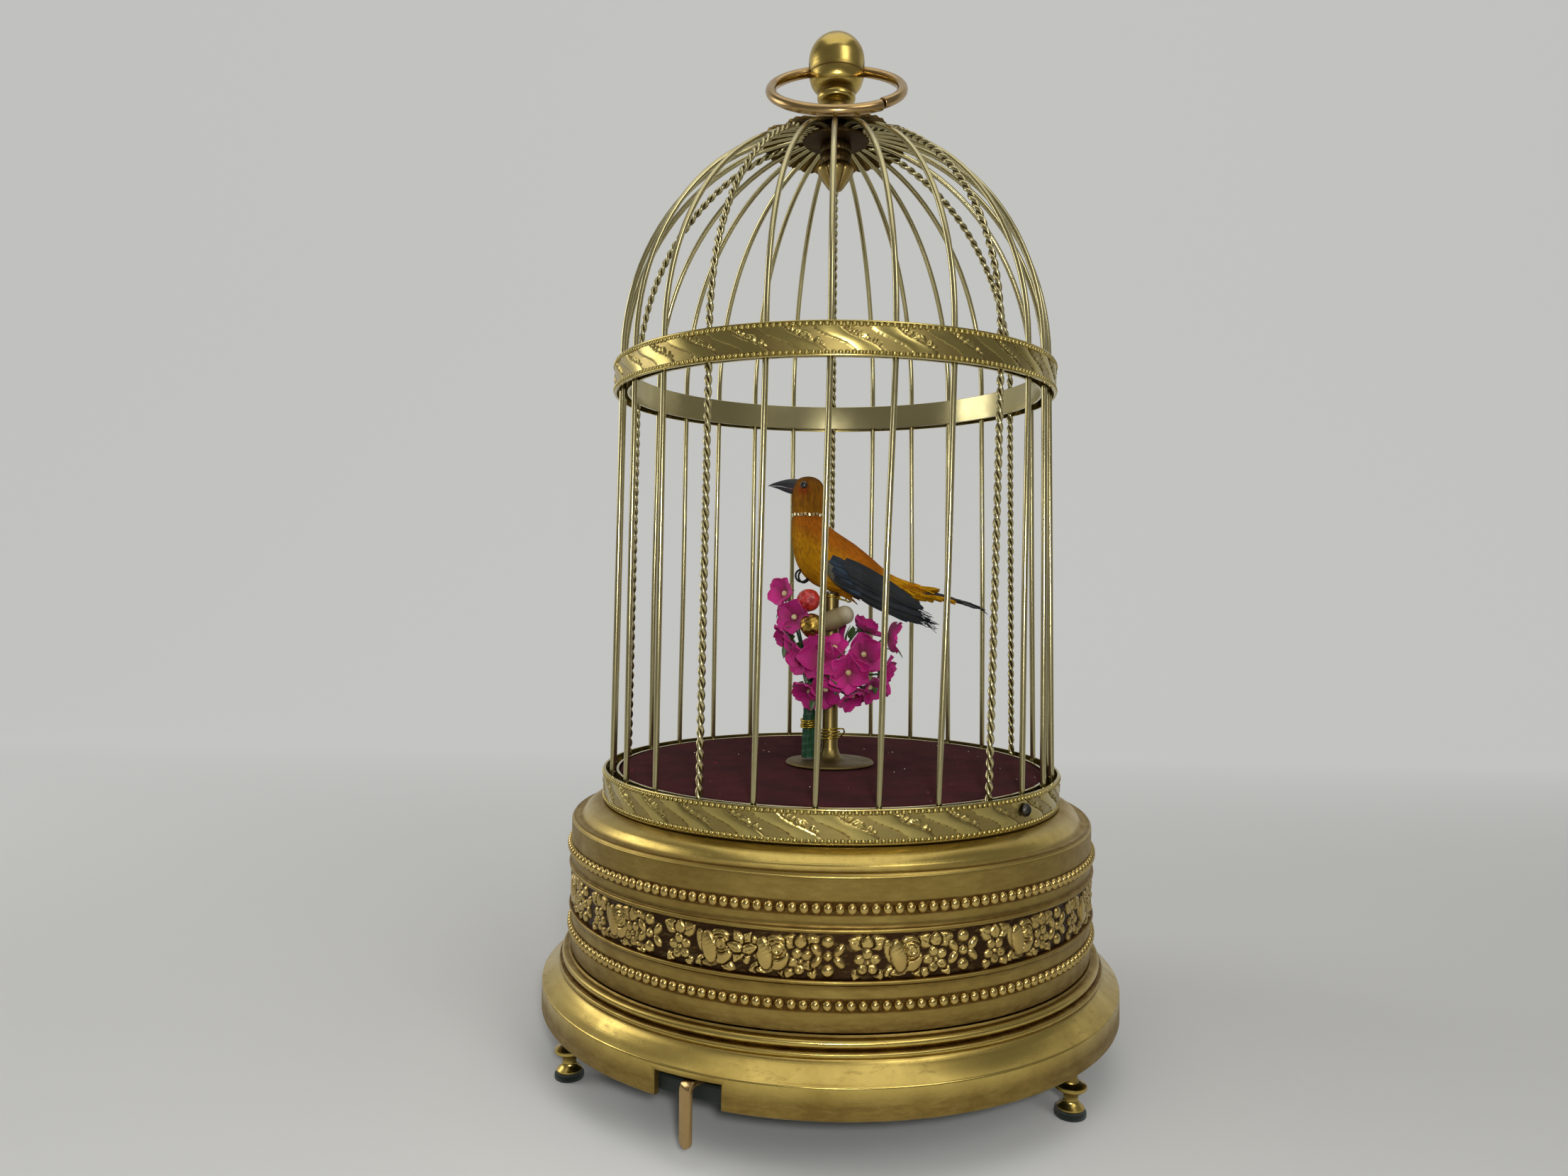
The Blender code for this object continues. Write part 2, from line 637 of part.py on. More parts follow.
def bar_path(azimuth, end_radius):
    """The centre line of a cage bar: a leaning straight run, then a quarter of an ellipse."""
    low = (BAR_CIRCLE + (BAR_CIRCLE - MIDDLE_BAR_CIRCLE) * 0.06, BAND_BOTTOM + BAND_HEIGHT - BAR_SINK)
    spring = (MIDDLE_BAR_CIRCLE, DOME_BASE)
    last = math.acos(end_radius / MIDDLE_BAR_CIRCLE)
    profile = [low, spring]
    for step in range(1, DOME_STEPS + 1):
        angle = last * step / DOME_STEPS
        profile.append((MIDDLE_BAR_CIRCLE * math.cos(angle), DOME_BASE + DOME_HEIGHT * math.sin(angle)))
    return [polar(radius, azimuth, z) for radius, z in profile]


def evenly_spaced(points, pitch):
    """Points from end to end of a line of points, about a pitch apart."""
    lengths = [(end - start).length for start, end in zip(points, points[1:])]
    count = round(sum(lengths) / pitch)
    spaced = []
    for k in range(count + 1):
        distance = sum(lengths) * k / count
        run = 0
        while run < len(lengths) - 1 and distance > lengths[run]:
            distance -= lengths[run]
            run += 1
        spaced.append(points[run].lerp(points[run + 1], distance / lengths[run]))
    return spaced


def plain_azimuths():
    """Azimuths of the plain bars, evenly spread between one twisted bar and the next."""
    azimuths = []
    turns = list(TWISTED_AZIMUTHS) + [TWISTED_AZIMUTHS[0] + 360.0]
    for start, end, count in zip(turns, turns[1:], PLAIN_BARS_BETWEEN):
        azimuths += [start + (end - start) * k / (count + 1) for k in range(1, count + 1)]
    return azimuths


def plain_bars(brass):
    """The plain bars and the crown washer that they are soldered into."""
    washer = turned(
        [(STUD_RADIUS + GAP, CROWN_TOP - CROWN_THICKNESS), (CROWN_RADIUS, CROWN_TOP - CROWN_THICKNESS),
         (CROWN_RADIUS, CROWN_TOP), (STUD_RADIUS + GAP, CROWN_TOP)],
        MEDIUM_SIDES,
    )
    piece = add_piece("plain_bars", washer, brass)
    bars = [
        wire(bar_path(azimuth, CROWN_RADIUS - 0.8), BAR_RADIUS, WIRE_SIDES)
        for azimuth in plain_azimuths()
    ]
    return unite(piece, *bars)


def twisted_bar(name, azimuth, brass):
    """A bar of strands twisted together, with half a lobe between one ring of points and the next."""
    points = evenly_spaced(bar_path(azimuth, BAR_END_RADIUS), TWIST_LOBE / 2)
    strands = wire(points, TWIST_RADIUS, TWIST_STRANDS, math.pi / TWIST_STRANDS)
    return add_piece(name, strands, brass, smooth=60)


def crown_rosette(brass):
    """A stamped umbrella of leaves: ribs and scallops that swell towards the edge."""
    steps = ROSETTE_LEAVES * 2
    radii = [STUD_RADIUS + GAP, 6.0, 12.0, 17.0, ROSETTE_RADIUS]
    rise = [ROSETTE_CROWN_RISE, 2.1, 0.7, -1.3, -3.7]
    under, over = [], []
    for radius, height in zip(radii, rise):
        share = (radius / ROSETTE_RADIUS) ** 2
        low_ring, high_ring = [], []
        for step in range(steps):
            angle = math.tau * step / steps
            leaf = abs(math.cos(angle * ROSETTE_LEAVES / 2))
            reach = radius * (1 - 0.07 * share * (1 - leaf))
            z = ROSETTE_BOTTOM + height + LEAF_RELIEF * share * leaf
            low_ring.append(Vector((reach * math.cos(angle), reach * math.sin(angle), z)))
            high_ring.append(low_ring[-1] + Vector((0, 0, ROSETTE_SHEET)))
        under.append(low_ring)
        over.append(high_ring)
    return add_piece("crown_rosette", loft(under + over[::-1], closed=True), brass, smooth=50)


def crown_nut(brass):
    """A bell-shaped nut under the crown, drawn down to a point."""
    tip = NUT_TOP - NUT_HEIGHT
    bore = STUD_RADIUS + GAP
    profile = [
        (0, NUT_TOP - 6.0), (bore, NUT_TOP - 6.0), (bore, NUT_TOP), (3.1, NUT_TOP), (2.4, NUT_TOP - 2.2),
        (2.9, NUT_TOP - 4.6), (NUT_RADIUS, NUT_TOP - 7.8), (NUT_RADIUS - 0.9, NUT_TOP - 9.2),
        (1.9, NUT_TOP - 11.0), (1.2, tip + 1.2), (0, tip),
    ]
    return add_piece("crown_nut", turned(profile, SMALL_SIDES), brass, smooth=50)


def finial(brass):
    """The turned post and ball, with its stud below and a cross bore for the bail."""
    base = FINIAL_BOTTOM
    stud = NUT_TOP - 5.0
    collar = base + 5.8
    ball_foot = collar + 2.1
    profile = [
        (0, stud), (STUD_RADIUS, stud), (STUD_RADIUS, base),
        (5.6, base), (5.9, base + 0.8), (3.9, base + 2.2),
        (NECK_RADIUS, base + 4.0), (COLLAR_RADIUS, collar), (COLLAR_RADIUS, collar + 1.6),
    ]
    for share in (1.0, 0.85, 0.65, 0.4):
        drop = (BALL_CENTRE - ball_foot) * share
        profile.append((ball_radius_below(drop), BALL_CENTRE - drop))
    for step in range(BALL_STEPS):
        angle = math.pi / 2 * step / BALL_STEPS
        profile.append((BALL_RADIUS * math.cos(angle), BALL_CENTRE + BALL_RADIUS * math.sin(angle)))
    profile.append((0, BALL_CENTRE + BALL_RADIUS))
    piece = add_piece("finial", turned(profile, MEDIUM_SIDES), brass, smooth=40)
    bore_radius = BAIL_WIRE + bail_sagitta() / 2 + GAP + 0.1
    bore = round_bar((-BALL_RADIUS - 2, 0, BAIL_AXIS_Z), (BALL_RADIUS + 2, 0, BAIL_AXIS_Z), bore_radius)
    return cut(piece, bore)


def ball_radius_below(drop):
    """The ball's radius at a drop below its middle, where it is fuller than a sphere."""
    return BALL_RADIUS * (1.0 - (drop / BALL_DEPTH) ** BALL_FULLNESS) ** (1.0 / BALL_FULLNESS)


def bail_sagitta():
    """How far the bail's curved wire bows inside the ball."""
    return BAIL_RADIUS - math.sqrt(BAIL_RADIUS ** 2 - ball_radius_below(BAIL_DROP) ** 2)


def bail_ring(brass):
    """The carrying ring, hanging forward from the bore of the ball."""
    tilt = math.radians(BAIL_TILT)
    down = Vector((0.0, -math.cos(tilt), -math.sin(tilt)))
    pivot = Vector((0.0, 0.0, BAIL_AXIS_Z))
    centre = pivot + down * (BAIL_RADIUS - bail_sagitta() / 2)
    normal = down.cross(Vector((1.0, 0.0, 0.0)))
    rings = []
    for step in range(BAIL_STEPS):
        angle = math.tau * step / BAIL_STEPS
        outward = Vector((math.cos(angle), 0, 0)) + down * math.sin(angle)
        rings.append([
            centre + outward * (BAIL_RADIUS + BAIL_WIRE * math.cos(math.tau * k / 6))
            + normal * BAIL_WIRE * math.sin(math.tau * k / 6)
            for k in range(6)
        ])
    return add_piece("bail_ring", loft(rings, closed=True), brass, origin=tuple(pivot), smooth=60)


def velvet_floor(velvet):
    """The thick round floor, covered in velvet, bored for the perch and its three screws."""
    bore = PERCH_RADIUS + GAP
    profile = [
        (bore, BAND_BOTTOM), (FLOOR_RADIUS, BAND_BOTTOM), (FLOOR_RADIUS, FLOOR_TOP - 0.6),
        (FLOOR_RADIUS - 0.6, FLOOR_TOP), (bore, FLOOR_TOP),
    ]
    piece = add_piece("velvet_floor", turned(profile), velvet)
    return cut(piece, *band_cutters(SCREW_SHANK_RADIUS + GAP))


def perch_tube(brass):
    """The perch: an open tube with a flange that sits on the floor."""
    bore = PERCH_RADIUS - PERCH_WALL
    top = FLANGE_BOTTOM + FLANGE_THICKNESS
    profile = [
        (bore, PERCH_BOTTOM), (PERCH_RADIUS, PERCH_BOTTOM), (PERCH_RADIUS, FLANGE_BOTTOM),
        (FLANGE_RADIUS, FLANGE_BOTTOM), (FLANGE_RADIUS, top - 0.3), (FLANGE_RADIUS - 0.5, top),
        (4.6, top + 0.3), (2.9, top + 1.6), (PERCH_RADIUS, top + 4.0), (PERCH_RADIUS, PERCH_TOP),
        (bore, PERCH_TOP),
    ]
    return add_piece("perch_tube", turned(profile, MEDIUM_SIDES), brass, smooth=45)


def oval(centre, slope, half_height, half_width, sides=10):
    """A ring of points round a body line that leans by a slope angle in the XZ plane."""
    lean = math.radians(slope)
    normal = Vector((math.sin(lean), 0, math.cos(lean)))
    middle = Vector((centre[0], 0, centre[1]))
    return [
        middle + normal * half_height * math.cos(math.tau * (k + 0.5) / sides)
        + Vector((0, half_width * math.sin(math.tau * (k + 0.5) / sides), 0))
        for k in range(sides)
    ]


def bird_body(plumage):
    """The body, a teardrop from the neck down to the tail, with a folded wing on each side."""
    z = BIRD_Z
    stations = [
        ((-7.0, z + NECK_RISE - GAP), 88, 4.0, 3.9), ((-6.5, z + 19.4), 82, 4.8, 4.5),
        ((-5.0, z + 14.6), 66, 6.2, 5.6), ((-1.9, z + 10.6), 48, 6.9, 6.2), ((3.6, z + 6.9), 34, 6.6, 6.0),
        ((10.0, z + 3.6), 28, 4.9, 5.0), ((16.4, z + 1.2), 22, 3.1, 3.6), ((20.6, z + 0.1), 18, 1.9, 2.4),
    ]
    piece = add_piece("bird_body", loft([oval(*station) for station in stations]), plumage, smooth=60)
    outline = [
        (-2.5, 9.5), (1.5, 11.6), (6.5, 9.2), (13.0, 4.0), (20.5, -1.0), (28.0, -5.6), (27.2, -8.2),
        (15.0, -3.4), (6.9, -0.6), (0.5, 3.2),
    ]
    wings = []
    for side in (-1, 1):
        inner = [Vector((x, side * (5.0 - 0.14 * max(x, 0)), z + rise)) for x, rise in outline]
        outer = [Vector((x, side * (6.9 - 0.17 * max(x, 0)), z + rise)) for x, rise in outline]
        wings.append(loft([inner, outer]))
    unite(piece, *wings)
    socket = disc(PERCH_RADIUS + GAP, z - 8.0, z + 1.8)
    return cut(piece, socket)


def bird_head(plumage):
    """The head and upper beak, turning on the neck's vertical axis."""
    x = EYE_AXIS_X
    z = BIRD_Z + NECK_RISE
    half = HEAD_HALF_WIDTH
    stations = [
        ((x, z), 90, half, half - 0.2), ((x, z + 2.4), 90, half + 0.1, half - 0.1),
        ((x - 0.1, z + 5.4), 90, half + 0.2, half), ((x - 0.2, z + 8.2), 90, half - 0.2, half - 0.4),
        ((x - 0.1, z + 10.0), 90, half - 1.5, half - 1.7), ((x, z + HEAD_LENGTH), 90, 0.8, 0.8),
    ]
    piece = add_piece("bird_head", loft([oval(*station) for station in stations]), plumage, origin=(x, 0, z),
                      smooth=60)
    root = x - half + 1.2
    rings = []
    for share, drop, half_height, half_width in (
        (0.0, 0.0, 1.5, 1.9), (0.35, 0.0, 1.3, 1.5), (0.7, -0.35, 0.75, 0.8), (1.0, -1.1, 0.12, 0.15)
    ):
        centre_x = root - BEAK_LENGTH * share
        centre_z = z + 8.0 + drop
        rings.append([
            Vector((centre_x, half_width, centre_z - half_height * 0.4)),
            Vector((centre_x, 0, centre_z + half_height)),
            Vector((centre_x, -half_width, centre_z - half_height * 0.4)),
        ])
    unite(piece, loft(rings))
    slot = block((x - half - 3.0, -1.7, z + 4.9), (x - half + 1.6, 1.7, z + 7.35))
    return cut(piece, slot)


def bird_lower_beak(horn):
    """The lower half of the beak, hinged at its root inside the head's slot."""
    z = BIRD_Z + NECK_RISE
    root = EYE_AXIS_X - HEAD_HALF_WIDTH + 1.2
    hinge = (root, 0.0, z + 6.2)
    rings = []
    for share, drop, half_height, half_width in (
        (0.0, 0.0, 0.8, 1.35), (0.4, 0.1, 0.7, 1.15), (0.75, 0.1, 0.4, 0.7), (0.97, -0.05, 0.12, 0.15)
    ):
        centre_x = root - BEAK_LENGTH * share
        top = z + 7.0 + drop
        rings.append([
            Vector((centre_x, -half_width, top)), Vector((centre_x, 0, top - 2 * half_height)),
            Vector((centre_x, half_width, top)),
        ])
    return add_piece("bird_lower_beak", loft(rings), horn, origin=hinge, smooth=60)


def bird_tail(plumage):
    """The long narrow tail, hinged at the rump."""
    z = BIRD_Z + TAIL_HINGE_RISE
    hinge = (TAIL_HINGE_X, 0.0, z)
    rings = []
    for share, drop, half_width, half_height in (
        (0.0, 0.2, 1.9, 1.0), (0.35, -1.6, 1.7, 0.7), (0.7, -3.6, 1.4, 0.45), (1.0, -6.0, 0.9, 0.3)
    ):
        x = TAIL_HINGE_X + GAP + TAIL_LENGTH * share
        rings.append([
            Vector((x, -half_width, z + drop - half_height)), Vector((x, half_width, z + drop - half_height)),
            Vector((x, half_width * 0.6, z + drop + half_height)),
            Vector((x, -half_width * 0.6, z + drop + half_height)),
        ])
    return add_piece("bird_tail", loft(rings), plumage, origin=hinge, smooth=60)


def flower(centre, radius, tilt, azimuth):
    """A five-lobed flower head, a thick disc that faces outwards."""
    outline = []
    for k in range(PETALS * 2):
        reach = radius * (1.0 if k % 2 == 0 else 0.72)
        angle = math.pi * k / PETALS
        outline.append((reach * math.cos(angle), reach * math.sin(angle)))
    bm = plate(outline, -FLOWER_THICKNESS, 0.0)
    facing = Matrix.Rotation(math.radians(azimuth), 4, "Z") @ Matrix.Rotation(math.radians(90 - tilt), 4, "X")
    bmesh.ops.transform(bm, matrix=Matrix.Translation(centre) @ facing, verts=bm.verts)
    return bm


def ball(centre, radius):
    """A faceted ball for a berry."""
    bm = bmesh.new()
    bmesh.ops.create_uvsphere(
        bm, u_segments=SMALL_SIDES, v_segments=5, radius=radius, matrix=Matrix.Translation(centre)
    )
    return bm


def bouquet(paper):
    """The bunch of flowers and berries round the perch, on wire stems bound into one bundle."""
    z = PERCH_TOP - BOUQUET_DROP
    floor = FLANGE_BOTTOM + FLANGE_THICKNESS + 0.7
    core = turned(
        [(0, z + 17.0), (4.6, z + 18.5), (9.2, z + 24.5), (10.4, z + 31.0), (8.4, z + 38.0), (5.0, z + 43.0),
         (0, z + 43.6)],
        SMALL_SIDES,
    )
    piece = add_piece("bouquet", core, paper, smooth=50)
    shapes = [round_bar((-STEM_OFFSET, 0.0, floor), (-STEM_OFFSET + 0.4, -0.4, z + 24.0),
                        STEM_RADIUS, SMALL_SIDES)]
    for x, y, rise, radius, tilt, azimuth in FLOWERS:
        head = Vector((x, y, z + rise))
        root = Vector((x * 0.4, y * 0.4, z + min(rise - 2.0, 38.0)))
        shapes.append(flower(head, radius, tilt, azimuth))
        shapes.append(round_bar(head.lerp(root, 0.1), root, SPRIG_RADIUS, 3))
    shapes += [ball(Vector((x, y, z + rise)), radius) for x, y, rise, radius in BERRIES]
    unite(piece, *shapes)
    clearance = disc(PERCH_RADIUS + GAP, z - 2.0, BIRD_Z + 4.0)
    return cut(piece, clearance)


def binding_wire(metal):
    """Soft wire wound round the stems and the perch together, then tucked in."""
    start = FLANGE_BOTTOM + 9.0
    centre = -(STEM_OFFSET + STEM_RADIUS - PERCH_RADIUS) / 2
    half_long = (STEM_OFFSET + STEM_RADIUS + PERCH_RADIUS) / 2 + GAP + WIRE_RADIUS + 0.15
    half_short = PERCH_RADIUS + GAP + WIRE_RADIUS + 0.15
    points = []
    for step in range(WIRE_TURNS * WIRE_TURN_POINTS + 1):
        angle = math.tau * step / WIRE_TURN_POINTS
        long_way = half_long * math.copysign(abs(math.cos(angle)) ** 0.72, math.cos(angle))
        short_way = half_short * math.copysign(abs(math.sin(angle)) ** 0.72, math.sin(angle))
        points.append(Vector((centre + long_way, short_way, start + WIRE_PITCH * step / WIRE_TURN_POINTS)))
    return add_piece("binding_wire", wire(points, WIRE_RADIUS, WIRE_SIDES), metal, smooth=60)


def start_stop_lever(brass):
    """A flat strip over the board that leaves by the notch and bends down to a finger tab."""
    bottom = BOARD_TOP + GAP
    top = bottom + LEVER_THICKNESS
    pivot = Vector(LEVER_PIVOT)
    bend = Vector(LEVER_BEND)
    along = (bend - pivot).normalized()
    inner = pivot - along * 7.0
    strip = strip_outline([tuple(inner), tuple(bend)], LEVER_WIDTH)
    piece = add_piece(
        "start_stop_lever", plate(strip, bottom, top), brass, origin=(*LEVER_PIVOT, bottom),
    )
    across = Vector((-along.y, along.x)) * LEVER_WIDTH / 2
    near = bend - along * LEVER_THICKNESS
    corners = [near + across, bend + across, bend - across, near - across]
    tab = plate([tuple(corner) for corner in corners], bottom - LEVER_DROP, top)
    unite(piece, tab)
    return cut(piece, disc(1.3 + GAP, bottom - 1, top + 1, LEVER_PIVOT))


def lever_pivot_screw(steel):
    """The shouldered screw that the start and stop lever swings on."""
    top = BOARD_TOP + LEVER_THICKNESS + 2 * GAP
    profile = [(0, BOARD_BOTTOM + 0.3), (1.3, BOARD_BOTTOM + 0.3), (1.3, top), (2.4, top), (2.2, top + 1.0),
               (0, top + 1.2)]
    return add_piece("lever_pivot_screw", turned(profile, SMALL_SIDES, LEVER_PIVOT), steel)


def movement_lower_plate(brass):
    """The lower movement plate with its riveted pillars and the click's post."""
    x_low, x_high = PLATE_X
    y_low, y_high = PLATE_Y
    outline = [(x_low, y_low), (x_high, y_low), (x_high, y_high), (x_low, y_high)]
    piece = add_piece("movement_lower_plate", plate(outline, LOWER_PLATE_BOTTOM, LOWER_PLATE_TOP), brass)
    pillars = [
        disc(PILLAR_RADIUS, BOARD_TOP + GAP, UPPER_PLATE_BOTTOM - GAP, (x, y), 8)
        for x in (x_low + PILLAR_INSET, x_high - PILLAR_INSET)
        for y in (y_low + PILLAR_INSET, y_high - PILLAR_INSET)
    ]
    click_post = disc(1.0, LOWER_PLATE_BOTTOM - 3.0, LOWER_PLATE_TOP - 0.5, click_axis(), 8)
    unite(piece, *pillars, click_post)
    return cut(piece, *plate_holes(LOWER_PLATE_BOTTOM, WINDING_RADIUS))


def plate_holes(bottom, winding):
    """Pivot holes for the five arbors of the train."""
    top = bottom + PLATE_THICKNESS
    axes = [(CENTRE_AXIS, PIVOT_RADIUS), (CAM_AXIS, PIVOT_RADIUS), (CRANK_AXIS, PIVOT_RADIUS),
            (FLY_AXIS, PIVOT_RADIUS), (BARREL_AXIS, winding)]
    return [disc(radius + GAP, bottom - 1, top + 1, axis, 8) for axis, radius in axes]


def movement_upper_plate(brass):
    """The upper movement plate, with the lever posts and the rockers' cheeks that stand on it."""
    x_low, x_high = PLATE_X
    y_low, y_high = PLATE_Y
    outline = [(x_low, y_low), (x_high, y_low), (x_high, y_high), (x_low, y_high)]
    piece = add_piece("movement_upper_plate", plate(outline, UPPER_PLATE_BOTTOM, UPPER_PLATE_TOP), brass)
    root = UPPER_PLATE_TOP - 0.5
    posts = [disc(1.2, root, CAM_LEVELS[0] + CAM_THICKNESS + 0.6, piston_pivot(), 8),
             disc(1.2, root, CAM_LEVELS[1] + CAM_THICKNESS + 0.6, head_pivot(), 8)]
    cheek_top = ROCKER_Z + 2.0
    beak_x = beak_shaft_x()
    tail_y = tail_shaft_y()
    cheeks = [
        block((beak_x - 1.8, CAM_AXIS[1] + offset, root),
              (beak_x + 1.8, CAM_AXIS[1] + offset + 1.4, cheek_top))
        for offset in (1.6, 4.4)
    ]
    cheeks += [
        block((x, tail_y - 1.8, root), (x + 1.4, tail_y + 1.8, cheek_top)) for x in tail_cheeks_x()
    ]
    unite(piece, *posts, *cheeks)
    bearings = [
        round_bar((beak_x, CAM_AXIS[1] + 1.0, ROCKER_Z), (beak_x, CAM_AXIS[1] + 6.4, ROCKER_Z),
                  ROCKER_SHAFT + GAP, 8),
        round_bar((tail_cheeks_x()[0] - 0.6, tail_y, ROCKER_Z), (tail_cheeks_x()[1] + 1.9, tail_y, ROCKER_Z),
                  ROCKER_SHAFT + GAP, 8),
    ]
    return cut(piece, *plate_holes(UPPER_PLATE_BOTTOM, WINDING_RADIUS), *bearings)


def click_axis():
    return (BARREL_AXIS[0] - 4.0, BARREL_AXIS[1] - RATCHET_RADIUS - 5.0)


def piston_pivot():
    return (CAM_AXIS[0] - CAM_RADIUS - 3.1 * MODULE, CAM_AXIS[1] - 10.7 * MODULE)


def head_pivot():
    return (CAM_AXIS[0] + 6.0 * MODULE, CAM_AXIS[1] + 14.7 * MODULE)


def beak_shaft_x():
    return CAM_AXIS[0] + CAM_RADIUS + 2.4 * MODULE


def tail_cheeks_x():
    """Where the two cheeks of the tail rocker's shaft begin."""
    return CAM_AXIS[0] + 4.9 * MODULE, CAM_AXIS[0] + 7.1 * MODULE


def tail_shaft_y():
    return CAM_AXIS[1] + CAM_RADIUS + 3.1 * MODULE


def spring_barrel(brass):
    """The spring barrel: an open cup with the great wheel cut on its floor."""
    x, y = BARREL_AXIS
    low = LOWER_PLATE_TOP + 2.0
    piece = add_piece(
        "spring_barrel", plate(gear_outline(WHEEL_TEETH, 180.0, BARREL_AXIS), low, low + 1.8), brass,
        origin=(x, y, low),
    )
    wall = turned(
        [(BARREL_RADIUS - 1.0, low + 0.9), (BARREL_RADIUS, low + 0.9), (BARREL_RADIUS, low + BARREL_HEIGHT),
         (BARREL_RADIUS - 1.0, low + BARREL_HEIGHT)],
        MEDIUM_SIDES, BARREL_AXIS,
    )
    unite(piece, wall)
    return cut(piece, disc(WINDING_RADIUS + GAP, low - 1, low + 3, BARREL_AXIS))


def mainspring(steel):
    """The coiled mainspring in its barrel."""
    x, y = BARREL_AXIS
    low = LOWER_PLATE_TOP + 2.0 + 1.8 + GAP
    high = low + BARREL_HEIGHT - 3.6
    start = WINDING_RADIUS + 1.0
    end = BARREL_RADIUS - 2.2
    steps = MAINSPRING_TURNS * MAINSPRING_STEPS
    rings = []
    for step in range(steps + 1):
        angle = math.tau * step / MAINSPRING_STEPS
        radius = start + (end - start) * step / steps
        out = Vector((math.cos(angle), math.sin(angle), 0))
        near = Vector((x, y, 0)) + out * radius
        far = near + out * 0.5
        rings.append([near + Vector((0, 0, low)), far + Vector((0, 0, low)), far + Vector((0, 0, high)),
                      near + Vector((0, 0, high))])
    return add_piece("mainspring", loft(rings), steel, origin=(x, y, low))


def winding_arbor(steel):
    """The winding arbor, from the key up through board, ratchet and barrel."""
    x, y = BARREL_AXIS
    low = KEY_BOTTOM + KEY_FLOOR + GAP
    piece = add_piece(
        "winding_arbor", disc(WINDING_RADIUS, low, UPPER_PLATE_TOP - 0.4, BARREL_AXIS), steel,
        origin=(x, y, low),
    )
    outline = []
    for tooth in range(RATCHET_TEETH):
        for radius, share in ((RATCHET_RADIUS, 0.0), (RATCHET_RADIUS - 1.7, 0.08)):
            angle = math.tau * (tooth + share) / RATCHET_TEETH
            outline.append((x + radius * math.cos(angle), y + radius * math.sin(angle)))
    ratchet_low = BOARD_TOP + 1.0
    return unite(piece, plate(outline, ratchet_low, ratchet_low + 1.8))


def winding_key(steel):
    """The key below the board: a bored hub with two flat wings."""
    x, y = BARREL_AXIS
    low = KEY_BOTTOM
    high = low + KEY_HEIGHT
    hub = turned(
        [(0, low), (3.2, low), (3.2, high + 1.6), (WINDING_RADIUS + GAP, high + 1.6),
         (WINDING_RADIUS + GAP, low + KEY_FLOOR), (0, low + KEY_FLOOR)],
        SMALL_SIDES, BARREL_AXIS,
    )
    piece = add_piece("winding_key", hub, steel, origin=(x, y, low))
    wings = []
    for side in (-1, 1):
        outline = [(x + side * 2.7, low + 0.4), (x + side * KEY_SPAN * 0.42, low),
                   (x + side * KEY_SPAN / 2, low + 2.6), (x + side * KEY_SPAN / 2, high - 2.4),
                   (x + side * KEY_SPAN * 0.4, high), (x + side * 2.7, high - 1.6)]
        near = [Vector((px, y - 0.8, pz)) for px, pz in outline]
        far = [Vector((px, y + 0.8, pz)) for px, pz in outline]
        wings.append(loft([near, far]))
    return unite(piece, *wings)


def ratchet_click(steel):
    """The click that holds the ratchet."""
    axis = Vector(click_axis())
    low = BOARD_TOP + 1.0
    nose = Vector(BARREL_AXIS) + Vector((-1.0, -RATCHET_RADIUS - GAP - 0.6))
    outline = strip_outline([tuple(axis - (nose - axis) * 0.25), tuple(axis), tuple(nose)], 3.6)
    piece = add_piece("ratchet_click", plate(outline, low, low + 1.8), steel, origin=(*axis, low))
    return cut(piece, disc(1.0 + GAP, low - 1, low + 3, tuple(axis), 8))


def train_phases():
    """Tooth phases that put every pair of wheels in mesh."""
    barrel = 180.0
    centre_pinion = meshing_phase(PINION_TEETH, 180.0, WHEEL_TEETH, barrel)
    cam = meshing_phase(WHEEL_TEETH, 180.0, PINION_TEETH, centre_pinion)
    centre = 0.0
    crank_pinion = meshing_phase(PINION_TEETH, -90.0, TRAIN_TEETH, centre)
    crank = 0.0
    fly_pinion = meshing_phase(PINION_TEETH, FLY_DIRECTION, TRAIN_TEETH, crank)
    return centre_pinion, cam, centre, crank_pinion, crank, fly_pinion


def centre_wheel(brass):
    """The second arbor: a long pinion between barrel and cam wheel, and the centre wheel above."""
    centre_pinion, _, centre, _, _, _ = train_phases()
    low = LOWER_PLATE_TOP + 1.5
    wheel = UPPER_PLATE_BOTTOM - 7.0
    piece = add_piece(
        "centre_wheel", arbor(CENTRE_AXIS, LOWER_PLATE_BOTTOM + 0.4, UPPER_PLATE_TOP - 0.4), brass,
        origin=(*CENTRE_AXIS, low),
    )
    return unite(
        piece, plate(gear_outline(PINION_TEETH, centre_pinion, CENTRE_AXIS), low, low + 10.0),
        plate(gear_outline(TRAIN_TEETH, centre, CENTRE_AXIS), wheel, wheel + 1.5),
    )


def crank_wheel(brass):
    """The third arbor: pinion, wheel, and above the plate the crank disc with its pin."""
    _, _, _, crank_pinion, crank, _ = train_phases()
    pinion = UPPER_PLATE_BOTTOM - 8.0
    wheel = UPPER_PLATE_BOTTOM - 3.6
    crank_low = UPPER_PLATE_TOP + 1.0
    x, y = CRANK_AXIS
    piece = add_piece(
        "crank_wheel", arbor(CRANK_AXIS, LOWER_PLATE_BOTTOM + 0.4, crank_low + 0.5), brass,
        origin=(x, y, crank_low),
    )
    return unite(
        piece, plate(gear_outline(PINION_TEETH, crank_pinion, CRANK_AXIS), pinion, pinion + 3.4),
        plate(gear_outline(TRAIN_TEETH, crank, CRANK_AXIS), wheel, wheel + 1.4),
        disc(CRANK_THROW + 2.0, crank_low, crank_low + 1.5, CRANK_AXIS),
        disc(1.0, crank_low + 1.0, rod_level() - GAP, (x, y - CRANK_THROW), 8),
    )


def rod_level():
    """The underside of the connecting rod, above the crank pin."""
    return UPPER_PLATE_TOP + 5.8


